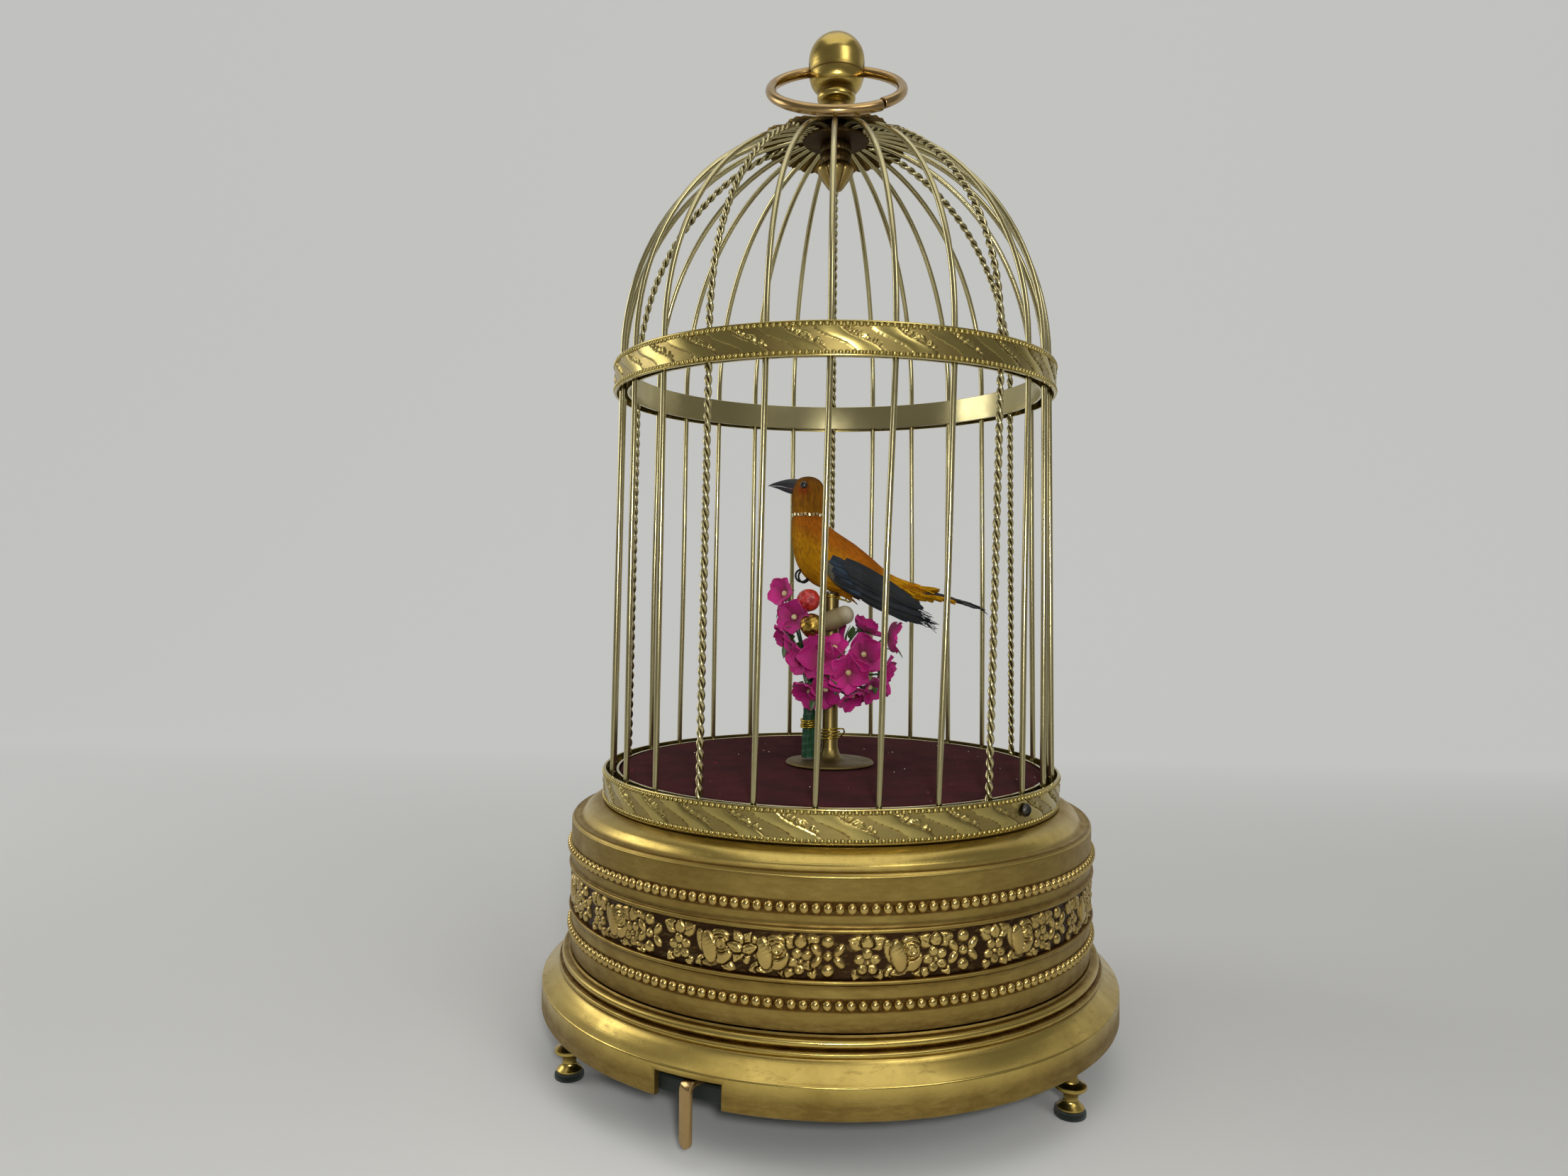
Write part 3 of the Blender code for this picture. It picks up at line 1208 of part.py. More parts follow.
def governor_fly(brass):
    """The fly that holds the speed: a pinion and two fan blades."""
    _, _, _, _, _, fly_pinion = train_phases()
    pinion = UPPER_PLATE_BOTTOM - 4.6
    blade_low = LOWER_PLATE_TOP + 6.0
    x, y = FLY_AXIS
    piece = add_piece(
        "governor_fly", arbor(FLY_AXIS, LOWER_PLATE_BOTTOM + 0.4, UPPER_PLATE_TOP - 0.4), brass,
        origin=(x, y, blade_low),
    )
    return unite(
        piece, plate(gear_outline(PINION_TEETH, fly_pinion, FLY_AXIS), pinion, pinion + 3.4),
        block((x - FLY_RADIUS, y - 0.3, blade_low), (x + FLY_RADIUS, y + 0.3, blade_low + 9.0)),
    )


def cam_outline(level):
    """A song cam: lobes of unlike height, none higher than the circle off which its follower stands."""
    x, y = CAM_AXIS
    outline = []
    for step in range(CAM_LOBES * 2):
        angle = math.pi * step / CAM_LOBES
        height = 0.45 + 0.55 * ((step * (level + 2)) % 7) / 6
        radius = CAM_RADIUS - CAM_LIFT * (1.0 - height if step % 2 else 1.0)
        outline.append((x + radius * math.cos(angle), y + radius * math.sin(angle)))
    return outline


def cam_stack(brass):
    """The cam arbor: its wheel between the plates and four song cams above."""
    _, cam, _, _, _, _ = train_phases()
    wheel = LOWER_PLATE_TOP + 7.5
    top = CAM_LEVELS[-1] + CAM_THICKNESS
    x, y = CAM_AXIS
    piece = add_piece(
        "cam_stack", arbor(CAM_AXIS, LOWER_PLATE_BOTTOM + 0.4, UPPER_PLATE_TOP + 0.8), brass,
        origin=(x, y, wheel),
    )
    cams = [plate(cam_outline(level), low, low + CAM_THICKNESS) for level, low in enumerate(CAM_LEVELS)]
    return unite(
        piece, plate(gear_outline(WHEEL_TEETH, cam, CAM_AXIS), wheel, wheel + 1.8),
        disc(3.0, UPPER_PLATE_TOP + 0.5, top + 1.0, CAM_AXIS), *cams,
    )


def follower_gap():
    """How far a follower's nose stands from the cam axis at rest."""
    return CAM_RADIUS + GAP


def piston_lever(steel):
    """The lever between the first cam and the whistle's piston."""
    x, y = CAM_AXIS
    low = CAM_LEVELS[0]
    nose = (x - follower_gap() - PISTON_LEVER_WIDTH / 2 - GAP, y)
    out = (WHISTLE_AXIS_X, piston_pivot()[1] + 4.0)
    piece = add_piece(
        "piston_lever",
        plate(strip_outline([nose, piston_pivot(), out], PISTON_LEVER_WIDTH), low, low + CAM_THICKNESS),
        steel, origin=(*piston_pivot(), low),
    )
    boss = disc(2.7, low, low + CAM_THICKNESS, piston_pivot())
    unite(piece, boss)
    return cut(piece, disc(1.2 + GAP, low - 1, low + 3, piston_pivot(), 8))


def head_lever(steel):
    """The lever between the second cam and the arm on the head rod."""
    x, y = CAM_AXIS
    low = CAM_LEVELS[1]
    nose = (x, y + CAM_RADIUS + 2.6)
    out = (-1.9, HEAD_ARM)
    piece = add_piece(
        "head_lever", plate(strip_outline([nose, head_pivot(), out], 1.8), low, low + CAM_THICKNESS), steel,
        origin=(*head_pivot(), low),
    )
    boss = disc(2.7, low, low + CAM_THICKNESS, head_pivot())
    unite(piece, boss)
    return cut(piece, disc(1.2 + GAP, low - 1, low + 3, head_pivot(), 8))


def head_rod(steel):
    """The rod that turns the head, up the middle of the perch, with its arm below."""
    low = CAM_LEVELS[1]
    piece = add_piece(
        "head_rod", round_bar((0, 0, low), (0, 0, BIRD_Z + 1.2), ROD_RADIUS, 8), steel, origin=(0, 0, low)
    )
    return unite(piece, block((-0.7, -0.7, low), (0.7, HEAD_ARM + 0.9, low + CAM_THICKNESS)))


def beak_lever(steel):
    """The rocker that lifts the beak rod when the third cam pushes its foot aside."""
    x = beak_shaft_x()
    y = CAM_AXIS[1]
    low = CAM_LEVELS[2]
    nose = CAM_AXIS[0] + follower_gap()
    shaft = round_bar((x, y - 0.8, ROCKER_Z), (x, 0.6, ROCKER_Z), ROCKER_SHAFT, 8)
    piece = add_piece("beak_lever", shaft, steel, origin=(x, 0, ROCKER_Z))
    leg = block((x - 0.7, y - 0.6, low), (x + 0.7, y + 0.6, ROCKER_Z))
    toe = block((nose, y - 0.6, low), (x + 0.7, y + 0.6, low + CAM_THICKNESS))
    arm = block((x, -0.6, ROCKER_Z - 0.6), (-ROD_SPACING + 0.4, 0.6, ROCKER_Z + 0.6))
    return unite(piece, leg, toe, arm)


def tail_lever(steel):
    """The rocker that lifts the tail rod when the fourth cam pushes its foot aside."""
    x = CAM_AXIS[0]
    y = tail_shaft_y()
    low = CAM_LEVELS[3]
    nose = CAM_AXIS[1] + follower_gap()
    shaft = round_bar((x - 0.8, y, ROCKER_Z), (ROD_SPACING + 0.6, y, ROCKER_Z), ROCKER_SHAFT, 8)
    piece = add_piece("tail_lever", shaft, steel, origin=(0, y, ROCKER_Z))
    leg = block((x - 0.6, y - 0.7, low), (x + 0.6, y + 0.7, ROCKER_Z))
    toe = block((x - 0.6, nose, low), (x + 0.6, y + 0.7, low + CAM_THICKNESS))
    arm = block((ROD_SPACING - 0.4, -0.6, ROCKER_Z - 0.6), (ROD_SPACING + 0.6, y, ROCKER_Z + 0.6))
    return unite(piece, leg, toe, arm)


def lift_rod(name, x, steel):
    """A thin rod in the perch that a rocker lifts."""
    low = ROCKER_Z + 0.6 + GAP
    rod = round_bar((x, 0, low), (x, 0, BIRD_Z + 0.6), ROD_RADIUS, 8)
    return add_piece(name, rod, steel, origin=(x, 0, low))


def bellows_bottom():
    return LOWER_PLATE_TOP


def bellows_fixed_board(wood):
    """The bellows' fixed board, standing on two feet in front of the movement."""
    low = bellows_bottom()
    x = BELLOWS_HINGE_X
    y = BELLOWS_BACK_Y
    board = block((x - 2.0, y, low), (x + BELLOWS_LENGTH, y + BELLOWS_BOARD, low + BELLOWS_HEIGHT))
    piece = add_piece("bellows_fixed_board", board, wood)
    feet = [
        block((left, y, BOARD_TOP + GAP), (left + 5.0, y + BELLOWS_BOARD, low + 1.0))
        for left in (x - 2.0, x + BELLOWS_LENGTH - 5.0)
    ]
    return unite(piece, *feet)


def moving_board_line():
    """The hinge end and the free end of the moving board, seen from above."""
    hinge = Vector((BELLOWS_HINGE_X, BELLOWS_BACK_Y + BELLOWS_BOARD + 1.2))
    angle = math.radians(BELLOWS_OPEN_ANGLE)
    return hinge, hinge + Vector((math.cos(angle), math.sin(angle))) * (BELLOWS_LENGTH - 1.0)


def bellows_moving_board(wood):
    """The bellows' moving board, hinged at one edge, with a lug and pin for the rod."""
    hinge, free = moving_board_line()
    low = bellows_bottom() + GAP
    across = Vector((-(free - hinge).y, (free - hinge).x)).normalized() * BELLOWS_BOARD
    outline = [tuple(hinge), tuple(free), tuple(free + across), tuple(hinge + across)]
    piece = add_piece(
        "bellows_moving_board", plate(outline, low, low + BELLOWS_HEIGHT - 2 * GAP), wood,
        origin=(*hinge, low),
    )
    pin = rod_pin()
    lug = block((pin.x - 2.0, pin.y - 4.0, rod_level() - 2.0), (pin.x + 2.0, pin.y + 1.6, rod_level() - GAP))
    post = disc(0.8, rod_level() - 1.0, rod_level() + 2.2, (pin.x, pin.y), 8)
    return unite(piece, lug, post)


def rod_pin():
    """Where the connecting rod is pinned to the moving board."""
    hinge, free = moving_board_line()
    share = (CRANK_AXIS[0] - hinge.x) / (free.x - hinge.x)
    return hinge.lerp(free, share) + Vector((0, 5.0))


def bellows_leather(leather):
    """The folded leather between the two boards, open wider towards the free end."""
    hinge, free = moving_board_line()
    back = BELLOWS_BACK_Y + BELLOWS_BOARD + GAP
    low = bellows_bottom() + GAP + 0.3
    near = hinge.lerp(free, 0.1)
    far = hinge.lerp(free, 0.96)
    outline = [(near.x, back), (far.x, back), (far.x + 0.8, (back + far.y) / 2), (far.x, far.y - 2 * GAP),
               (near.x, near.y - 2 * GAP)]
    return add_piece("bellows_leather", plate(outline, low, low + BELLOWS_HEIGHT - 4 * GAP), leather)


def connecting_rod(brass):
    """The rod from the crank pin to the bellows, with an eye on the board's pin."""
    x, y = CRANK_AXIS
    pin = rod_pin()
    low = rod_level()
    piece = add_piece(
        "connecting_rod", plate(strip_outline([(x, y - CRANK_THROW + 1.0), tuple(pin)], 2.2), low, low + 1.4),
        brass, origin=(pin.x, pin.y, low),
    )
    unite(piece, disc(2.2, low, low + 1.4, (pin.x, pin.y)))
    return cut(piece, disc(0.8 + GAP, low - 1, low + 3, (pin.x, pin.y), 8))


def along_y(profile, x, y, z, steps=SMALL_SIDES):
    """Turn an outline of (radius, length) points about an axis along Y."""
    bm = turned(profile, steps)
    place = Matrix.Translation((x, y, z)) @ Matrix.Rotation(-math.pi / 2, 4, "X")
    bmesh.ops.transform(bm, matrix=place, verts=bm.verts)
    return bm


def whistle_height():
    return CAM_LEVELS[0] + CAM_THICKNESS / 2


def whistle_tube(brass):
    """The whistle: a tube closed in front, open behind for its piston, on a stand."""
    bore = WHISTLE_RADIUS - WHISTLE_WALL
    profile = [(0, 0), (WHISTLE_RADIUS, 0), (WHISTLE_RADIUS, WHISTLE_LENGTH), (bore, WHISTLE_LENGTH),
               (bore, 3.0), (0, 3.0)]
    x = WHISTLE_AXIS_X
    y = WHISTLE_FRONT_Y
    z = whistle_height()
    piece = add_piece("whistle_tube", along_y(profile, x, y, z), brass)
    stand = block((x - 1.5, y + 6.0, BOARD_TOP + GAP), (x + 1.5, y + 12.0, z - WHISTLE_RADIUS + 0.4))
    unite(piece, stand)
    mouth = block((x - 1.6, y + 4.2, z + bore - 1.0), (x + 1.6, y + 6.6, z + WHISTLE_RADIUS + 1.0))
    return cut(piece, mouth)


def whistle_piston(steel):
    """The piston that slides in the whistle and bends its note."""
    bore = WHISTLE_RADIUS - WHISTLE_WALL
    start = WHISTLE_FRONT_Y + WHISTLE_LENGTH - 6.5
    lever_edge = piston_pivot()[1] + 4.0 - PISTON_LEVER_WIDTH / 2 - GAP - 0.6
    profile = [(0, 0), (bore - GAP, 0), (bore - GAP, 2.5), (0.8, 2.5), (0.8, lever_edge - start),
               (0, lever_edge - start)]
    z = whistle_height()
    return add_piece("whistle_piston", along_y(profile, WHISTLE_AXIS_X, start, z), steel,
                     origin=(WHISTLE_AXIS_X, start, z))


def main():
    """Build every piece of the automaton."""
    clear_scene()
    polished = finish("polished_brass", (0.62, 0.45, 0.16), 0.22, 1.0)
    aged = finish("aged_brass", (0.50, 0.37, 0.15), 0.35, 1.0)
    movement = finish("movement_brass", (0.66, 0.50, 0.22), 0.30, 1.0)
    steel = finish("grey_steel", (0.38, 0.38, 0.40), 0.32, 1.0)
    dark_board = finish("dark_board", (0.03, 0.035, 0.03), 0.70)
    felt = finish("green_felt", (0.02, 0.04, 0.03), 0.95)
    velvet = finish("burgundy_velvet", (0.09, 0.014, 0.018), 0.90)
    orange = finish("orange_feather", (0.66, 0.26, 0.02), 0.70)
    brown = finish("brown_feather", (0.40, 0.15, 0.02), 0.70)
    tail = finish("dark_feather", (0.04, 0.05, 0.07), 0.60)
    horn = finish("black_horn", (0.015, 0.015, 0.018), 0.35)
    paper = finish("magenta_paper", (0.52, 0.01, 0.21), 0.75)
    binding = finish("gilt_wire", (0.48, 0.36, 0.03), 0.35, 1.0)
    leather = finish("pale_leather", (0.55, 0.44, 0.30), 0.80)
    pear = finish("bellows_wood", (0.33, 0.17, 0.07), 0.60)

    for number, azimuth in enumerate(FOOT_AZIMUTHS, 1):
        foot(f"foot_{number}", azimuth, polished)
        foot_pad(f"foot_pad_{number}", azimuth, felt)
    bottom_board(dark_board)
    base_plinth(polished)
    base_drum(polished)
    hole = SCREW_SHANK_RADIUS + GAP
    cut(outer_band("lower_outer_band", CAGE_RADIUS, BAND_BOTTOM, aged), *band_cutters(hole))
    cut(inner_band("lower_inner_band", BAR_CIRCLE, BAND_BOTTOM, aged), *band_cutters(hole))
    outer_band("middle_outer_band", MIDDLE_RADIUS, MIDDLE_BOTTOM, aged)
    inner_band("middle_inner_band", MIDDLE_BAR_CIRCLE, MIDDLE_BOTTOM, aged)
    for number, azimuth in enumerate(SCREW_AZIMUTHS, 1):
        band_screw(f"band_screw_{number}", azimuth, steel)
    velvet_floor(velvet)
    plain_bars(aged)
    for number, azimuth in enumerate(TWISTED_AZIMUTHS, 1):
        twisted_bar(f"twisted_bar_{number}", azimuth, aged)
    crown_rosette(aged)
    crown_nut(aged)
    finial(polished)
    bail_ring(aged)

    perch_tube(aged)
    bird_body(orange)
    bird_head(brown)
    bird_lower_beak(horn)
    bird_tail(tail)
    bouquet(paper)
    binding_wire(binding)

    start_stop_lever(aged)
    lever_pivot_screw(steel)
    movement_lower_plate(movement)
    movement_upper_plate(movement)
    spring_barrel(movement)
    mainspring(steel)
    winding_arbor(steel)
    winding_key(steel)
    ratchet_click(steel)
    centre_wheel(movement)
    crank_wheel(movement)
    governor_fly(movement)
    cam_stack(movement)
    piston_lever(steel)
    head_lever(steel)
    head_rod(steel)
    beak_lever(steel)
    tail_lever(steel)
    lift_rod("beak_rod", -ROD_SPACING, steel)
    lift_rod("tail_rod", ROD_SPACING, steel)
    bellows_fixed_board(pear)
    bellows_moving_board(pear)
    bellows_leather(leather)
    connecting_rod(movement)
    whistle_tube(movement)
    whistle_piston(steel)


if __name__ == "__main__":
    main()
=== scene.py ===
"""Singing bird automaton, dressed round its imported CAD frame.

Laid out as an add-on: sizes and colours are properties, each piece or group of like pieces is one
operator, and main() calls them in order. Sizes in the properties are metres; the shapes below are
written in millimetres and turned into metres by mm().
"""
import math

import bpy
import numpy as np
from mathutils import Matrix, Vector


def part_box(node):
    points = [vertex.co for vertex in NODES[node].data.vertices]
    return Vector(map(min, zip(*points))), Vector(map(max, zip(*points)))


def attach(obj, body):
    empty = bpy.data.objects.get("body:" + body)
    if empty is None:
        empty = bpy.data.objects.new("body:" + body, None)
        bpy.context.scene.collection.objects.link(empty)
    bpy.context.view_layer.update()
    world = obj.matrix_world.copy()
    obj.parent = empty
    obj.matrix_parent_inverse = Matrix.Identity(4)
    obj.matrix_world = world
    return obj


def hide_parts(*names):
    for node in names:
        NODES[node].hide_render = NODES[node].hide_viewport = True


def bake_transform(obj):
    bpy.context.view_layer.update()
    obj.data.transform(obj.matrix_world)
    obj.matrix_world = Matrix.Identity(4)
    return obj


bl_info = {
    "name": "Singing bird automaton",
    "version": (1, 0, 0),
    "blender": (4, 5, 0),
    "location": "3D View > Sidebar > Bird cage",
    "description": "Builds a domed brass bird cage with a singing bird on a wind-up base",
    "category": "Add Mesh",
}

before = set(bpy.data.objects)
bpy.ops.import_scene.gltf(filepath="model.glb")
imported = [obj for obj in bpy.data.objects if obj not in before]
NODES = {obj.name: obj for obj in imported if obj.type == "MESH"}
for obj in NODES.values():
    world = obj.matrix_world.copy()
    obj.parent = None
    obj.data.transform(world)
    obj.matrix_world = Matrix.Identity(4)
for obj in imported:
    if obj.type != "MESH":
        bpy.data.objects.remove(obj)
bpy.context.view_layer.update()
MM = 0.001

# Heights and radii in millimetres that the cage shares with its frame
WALL_RADIUS = 72.3
DRUM_LOW = 30.2
DRUM_HIGH = 69.1
CREASE = 64.7
LOWER_BEADS = 36.1
UPPER_BEADS = 57.5
FRIEZE_MIDDLE = 46.8
BAND_LOW = 69.4
BAND_HEIGHT = 8.2
MIDDLE_LOW = 181.2
CAGE_RADIUS = 64.0
MIDDLE_RADIUS = 62.0
BAR_CIRCLE = 61.85
MIDDLE_BAR_CIRCLE = 59.85
FLOOR_TOP = 77.3
DOME_BASE = 189.9
DOME_HEIGHT = 67.0
CROWN_TOP = 257.2
BALL_CENTRE = 278.3
BALL_RADIUS = 7.95
BAIL_AXIS = 275.5
BIRD_Z = 126.2
FLANGE_LOW = 77.6
BAR_FOOT = 78.0
NECK_X = -6.95
LEVER_PIVOT = (-7.95, -49.95)
ARBOR_BORE = (24.0, -8.0)
FOOT_CIRCLE = 74.0
TWISTED = (-30.0, 41.0, 115.0, 180.0, 258.0)
PLAIN_BETWEEN = (4, 5, 4, 5, 4)
SCREWS = (48.5, -97.0, 160.5)
FEET = (-64.5, 53.5, 174.0)
NOTCH = -22.6


def mm(*values):
    """Millimetres as a vector in metres."""
    return Vector(values) * MM


def linear(code):
    """An sRGB hex colour as linear RGB."""
    parts = [int(code[i:i + 2], 16) / 255 for i in (1, 3, 5)]
    return tuple(c / 12.92 if c <= 0.04045 else ((c + 0.055) / 1.055) ** 2.4 for c in parts)


def rgb(color):
    """A colour as linear RGB, from a hex code or from a colour property."""
    return linear(color) if isinstance(color, str) else tuple(color)[:3]


def polar(radius, azimuth, z=0.0):
    """A point at an azimuth in degrees, counted from the front towards +X."""
    turn = math.radians(azimuth)
    return Vector((radius * math.sin(turn), -radius * math.cos(turn), z))


def deselect():
    """Leave edit mode and select nothing."""
    if bpy.context.object and bpy.context.object.mode == "EDIT":
        bpy.ops.object.mode_set(mode="OBJECT")
    bpy.ops.object.select_all(action="DESELECT")


def only(piece):
    """Make one piece the selected and active one."""
    deselect()
    piece.select_set(True)
    bpy.context.view_layer.objects.active = piece
    return piece


def added(name):
    """Name the primitive that was just added."""
    piece = bpy.context.object
    piece.name = name
    piece.data.name = name
    return piece


def edit(piece, action):
    """Select the whole mesh in edit mode, run one action and come back."""
    only(piece)
    bpy.ops.object.mode_set(mode="EDIT")
    bpy.ops.mesh.select_all(action="SELECT")
    action()
    bpy.ops.object.mode_set(mode="OBJECT")
    return piece


def clean(piece, merge=1e-7):
    """Merge doubled points and turn all faces outwards."""
    def tidy():
        bpy.ops.mesh.remove_doubles(threshold=merge)
        bpy.ops.mesh.normals_make_consistent(inside=False)
    return edit(piece, tidy)


def apply_modifier(piece, kind, **settings):
    """Add a modifier, set it and apply it."""
    only(piece)
    modifier = piece.modifiers.new(kind.lower(), kind)
    for key, value in settings.items():
        setattr(modifier, key, value)
    bpy.ops.object.modifier_apply(modifier=modifier.name)
    return piece


def place(piece):
    """Put the object's place, turn and size into its mesh."""
    only(piece)
    bpy.ops.object.transform_apply(location=True, rotation=True, scale=True)
    return piece


def ball(name, segments, rings, radius=1.0):
    """A ball about the origin, its radius in millimetres."""
    deselect()
    bpy.ops.mesh.primitive_uv_sphere_add(segments=segments, ring_count=rings, radius=radius * MM)
    return added(name)


def shade(piece, angle=40.0):
    """Shade smooth, but for edges sharper than an angle in degrees."""
    only(piece)
    bpy.ops.object.shade_smooth_by_angle(angle=math.radians(angle))
    return piece


def join(name, pieces):
    """Join pieces into one object."""
    deselect()
    for piece in pieces:
        piece.select_set(True)
    bpy.context.view_layer.objects.active = pieces[0]
    bpy.ops.object.join()
    return added(name)


def copy_of(piece, matrix=Matrix()):
    """A copy with its own mesh, moved by a matrix."""
    only(piece)
    bpy.ops.object.duplicate(linked=False)
    twin = bpy.context.object
    twin.data.transform(matrix)
    return twin


def coat(piece, finish):
    """Give a piece one finish and no other."""
    piece.data.materials.clear()
    piece.data.materials.append(bpy.data.materials[finish])


def finished(piece, finish, body="case", nodes=()):
    """Dress a piece, let it ride on a body and hide the CAD nodes it stands for."""
    coat(piece, finish)
    if nodes:
        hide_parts(*nodes)
    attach(piece, body)
    return piece


def line(name, points):
    """A line of points: a circle primitive with as many corners, opened, its corners moved in turn."""
    deselect()
    bpy.ops.mesh.primitive_circle_add(vertices=len(points), radius=0.01)
    piece = added(name)
    last = {0, len(points) - 1}
    for edge in piece.data.edges:
        edge.select = set(edge.vertices) == last
    for vert in piece.data.vertices:
        vert.select = False
    bpy.ops.object.mode_set(mode="EDIT")
    bpy.ops.mesh.select_mode(type="EDGE")
    bpy.ops.mesh.delete(type="EDGE_FACE")
    bpy.ops.mesh.select_mode(type="VERT")
    bpy.ops.object.mode_set(mode="OBJECT")
    for vert, point in zip(piece.data.vertices, points):
        vert.co = Vector(point) * MM
    return piece


def turned(name, profile, steps=128, angle=40.0):
    """Spin an outline of (radius, height) points, closed by its first, round the cage's axis."""
    piece = line(name, [(radius, 0.0, z) for radius, z in profile + profile[:1]])
    edit(piece, lambda: bpy.ops.mesh.spin(
        steps=steps, angle=math.tau, center=(0, 0, 0), axis=(0, 0, 1), use_normal_flip=False))
    clean(piece)
    return shade(piece, angle)


def wire(name, points, radius, resolution=2):
    """A round wire along points."""
    line(name, points)
    bpy.ops.object.convert(target="CURVE")
    curve = bpy.context.object.data
    curve.bevel_depth = radius * MM
    curve.bevel_resolution = resolution
    curve.use_fill_caps = True
    bpy.ops.object.convert(target="MESH")
    piece = added(name)
    clean(piece)
    return shade(piece, 60)


def arc(radius, z, size, start, end, count):
    """Profile points on an arc about (radius, z), its angles counted from straight out, upwards."""
    points = []
    for step in range(count + 1):
        turn = math.radians(start + (end - start) * step / count)
        points.append((radius + size * math.cos(turn), z + size * math.sin(turn)))
    return points


def tint(piece, values):
    """Store how dark the patina lies at each point; on some pieces the layer also holds painted shade and a
    painted dark reflection.
    """
    layer = piece.data.attributes.new("patina_and_shade", "FLOAT", "POINT")
    layer.data.foreach_set("value", np.clip(np.asarray(values, dtype=np.float32), 0.0, 1.0))
    return piece


def corners(piece):
    """The piece's points in millimetres, as an array."""
    co = np.empty(len(piece.data.vertices) * 3)
    piece.data.vertices.foreach_get("co", co)
    return co.reshape(-1, 3) / MM


def move_corners(piece, co):
    """Put the piece's points at an array of places in millimetres."""
    piece.data.vertices.foreach_set("co", (np.asarray(co) * MM).ravel())
    piece.data.update()
    return piece


def shaped(name, columns, rows, shape, merge=1e-7):
    """A grid primitive whose points are laid out by a function of two shares from 0 to 1."""
    deselect()
    bpy.ops.mesh.primitive_grid_add(x_subdivisions=columns, y_subdivisions=rows, size=1.0)
    piece = added(name)
    u, v = np.meshgrid(np.linspace(0, 1, columns + 1), np.linspace(0, 1, rows + 1))
    parts = [part * np.ones_like(u) for part in shape(u, v)]
    move_corners(piece, np.stack(parts, axis=-1).reshape(-1, 3))
    return clean(piece, merge)


def tube(name, columns, rows, shape, merge=1e-6):
    """The same rolled up: its seam merged and its open ends closed with one face each."""
    piece = shaped(name, columns, rows, shape, merge)
    edit(piece, lambda: bpy.ops.mesh.fill_holes(sides=0))
    return clean(piece)


def slab(name, size, spot=(0.0, 0.0, 0.0)):
    """A block of a size at a place."""
    deselect()
    bpy.ops.mesh.primitive_cube_add(size=1.0, location=mm(*spot))
    piece = added(name)
    piece.scale = mm(*size)
    return place(piece)


def cut(piece, cutter):
    """Cut one piece out of another."""
    apply_modifier(piece, "BOOLEAN", operation="DIFFERENCE", solver="EXACT", object=cutter)
    bpy.data.objects.remove(cutter)


def bore(piece, radius, spot, vertices=32, depth=10.0, lean=0.0):
    """Drill a round hole, upright or leaned over round Y."""
    deselect()
    bpy.ops.mesh.primitive_cylinder_add(
        vertices=vertices, radius=radius * MM, depth=depth * MM, location=mm(*spot), rotation=(0, lean, 0))
    cut(piece, place(added("drill")))


def soft(values, middle, spread):
    """A soft band of shares: 1 at the middle, falling away over the spread."""
    return np.exp(-((values - middle) / spread) ** 2)


def climb(values, start, end):
    """Shares from 0 at the start to 1 at the end, whichever of the two is the higher."""
    return np.clip((values - start) / (end - start), 0.0, 1.0)


def rounds(piece):
    """Each point's distance from the cage's axis, its azimuth in radians and its height."""
    x, y, z = corners(piece).T
    return np.hypot(x, y), np.arctan2(x, -y), z


def turns(**angles):
    """Turns in degrees about the named axes, the one named last being made first."""
    matrix = Matrix.Identity(4)
    for axis, angle in angles.items():
        matrix = matrix @ Matrix.Rotation(math.radians(angle), 4, axis)
    return matrix


def laid(spot, turn, size, wide=1.0, high=1.0):
    """Where a small shape goes: sized along x and by shares of that along y and z, turned, then moved."""
    return Matrix.Translation(spot) @ turn @ Matrix.Diagonal((size, size * wide, size * high, 1))


def ease(piece, width):
    """Round a piece's sharp edges by a width in millimetres."""
    return apply_modifier(
        piece, "BEVEL", width=width * MM, segments=2, limit_method="ANGLE", angle_limit=math.radians(50))


def thicken(piece, thickness, offset=0.0):
    """Give a sheet its thickness in millimetres."""
    return apply_modifier(piece, "SOLIDIFY", thickness=thickness * MM, offset=offset)


def columns_at(table, v):
    """The columns of a table at a share from 0 to 1 of its rows."""
    return np.moveaxis(table[np.rint(v * (len(table) - 1)).astype(int)], -1, 0)


def mixed(first, second, factor):
    """Linear colours between two, point by point: each is a hex code or one colour per point."""
    share = np.asarray(factor, dtype=float)[:, None]
    ends = [np.array(rgb(end)) if isinstance(end, str) else end for end in (first, second)]
    return ends[0] + (ends[1] - ends[0]) * share


def dye_and_painted_light(piece, colors):
    """Store a colour at each point: the dyed colour, on some pieces with painted shade and painted sheen."""
    layer = piece.data.attributes.new("dye_and_painted_light", "FLOAT_COLOR", "POINT")
    layer.data.foreach_set("color", np.c_[colors, np.ones(len(colors))].astype(np.float32).ravel())
    return piece


def multiplied(name, template, matrices, tones=None, keep=False):
    """One mesh of many copies of a small shape, each placed by a matrix in millimetres and dyed."""
    mesh = template.data
    count = len(mesh.vertices)
    flat = np.c_[corners(template), np.ones(count)]
    moved = np.concatenate([(flat @ np.array(matrix).T)[:, :3] for matrix in matrices])
    faces = [tuple(face.vertices) for face in mesh.polygons]
    made = bpy.data.meshes.new(name)
    made.from_pydata((moved * MM).tolist(), [], [
        tuple(i + count * k for i in face) for k in range(len(matrices)) for face in faces])
    layout = np.empty(len(mesh.loops) * 2)
    mesh.uv_layers[0].uv.foreach_get("vector", layout)
    made.uv_layers.new(name="UVMap").uv.foreach_set("vector", np.tile(layout, len(matrices)))
    piece = bpy.data.objects.new(name, made)
    bpy.context.collection.objects.link(piece)
    if tones is not None:
        colors = np.repeat(np.array(tones), count, axis=0)
        if "dye_and_painted_light" in mesh.attributes:
            own = np.empty(count * 4)
            mesh.attributes["dye_and_painted_light"].data.foreach_get("color", own)
            colors = colors * np.tile(own.reshape(-1, 4)[:, :3], (len(matrices), 1))
        dye_and_painted_light(piece, colors)
    if not keep:
        bpy.data.objects.remove(template)
    return clean(piece, 1e-9)


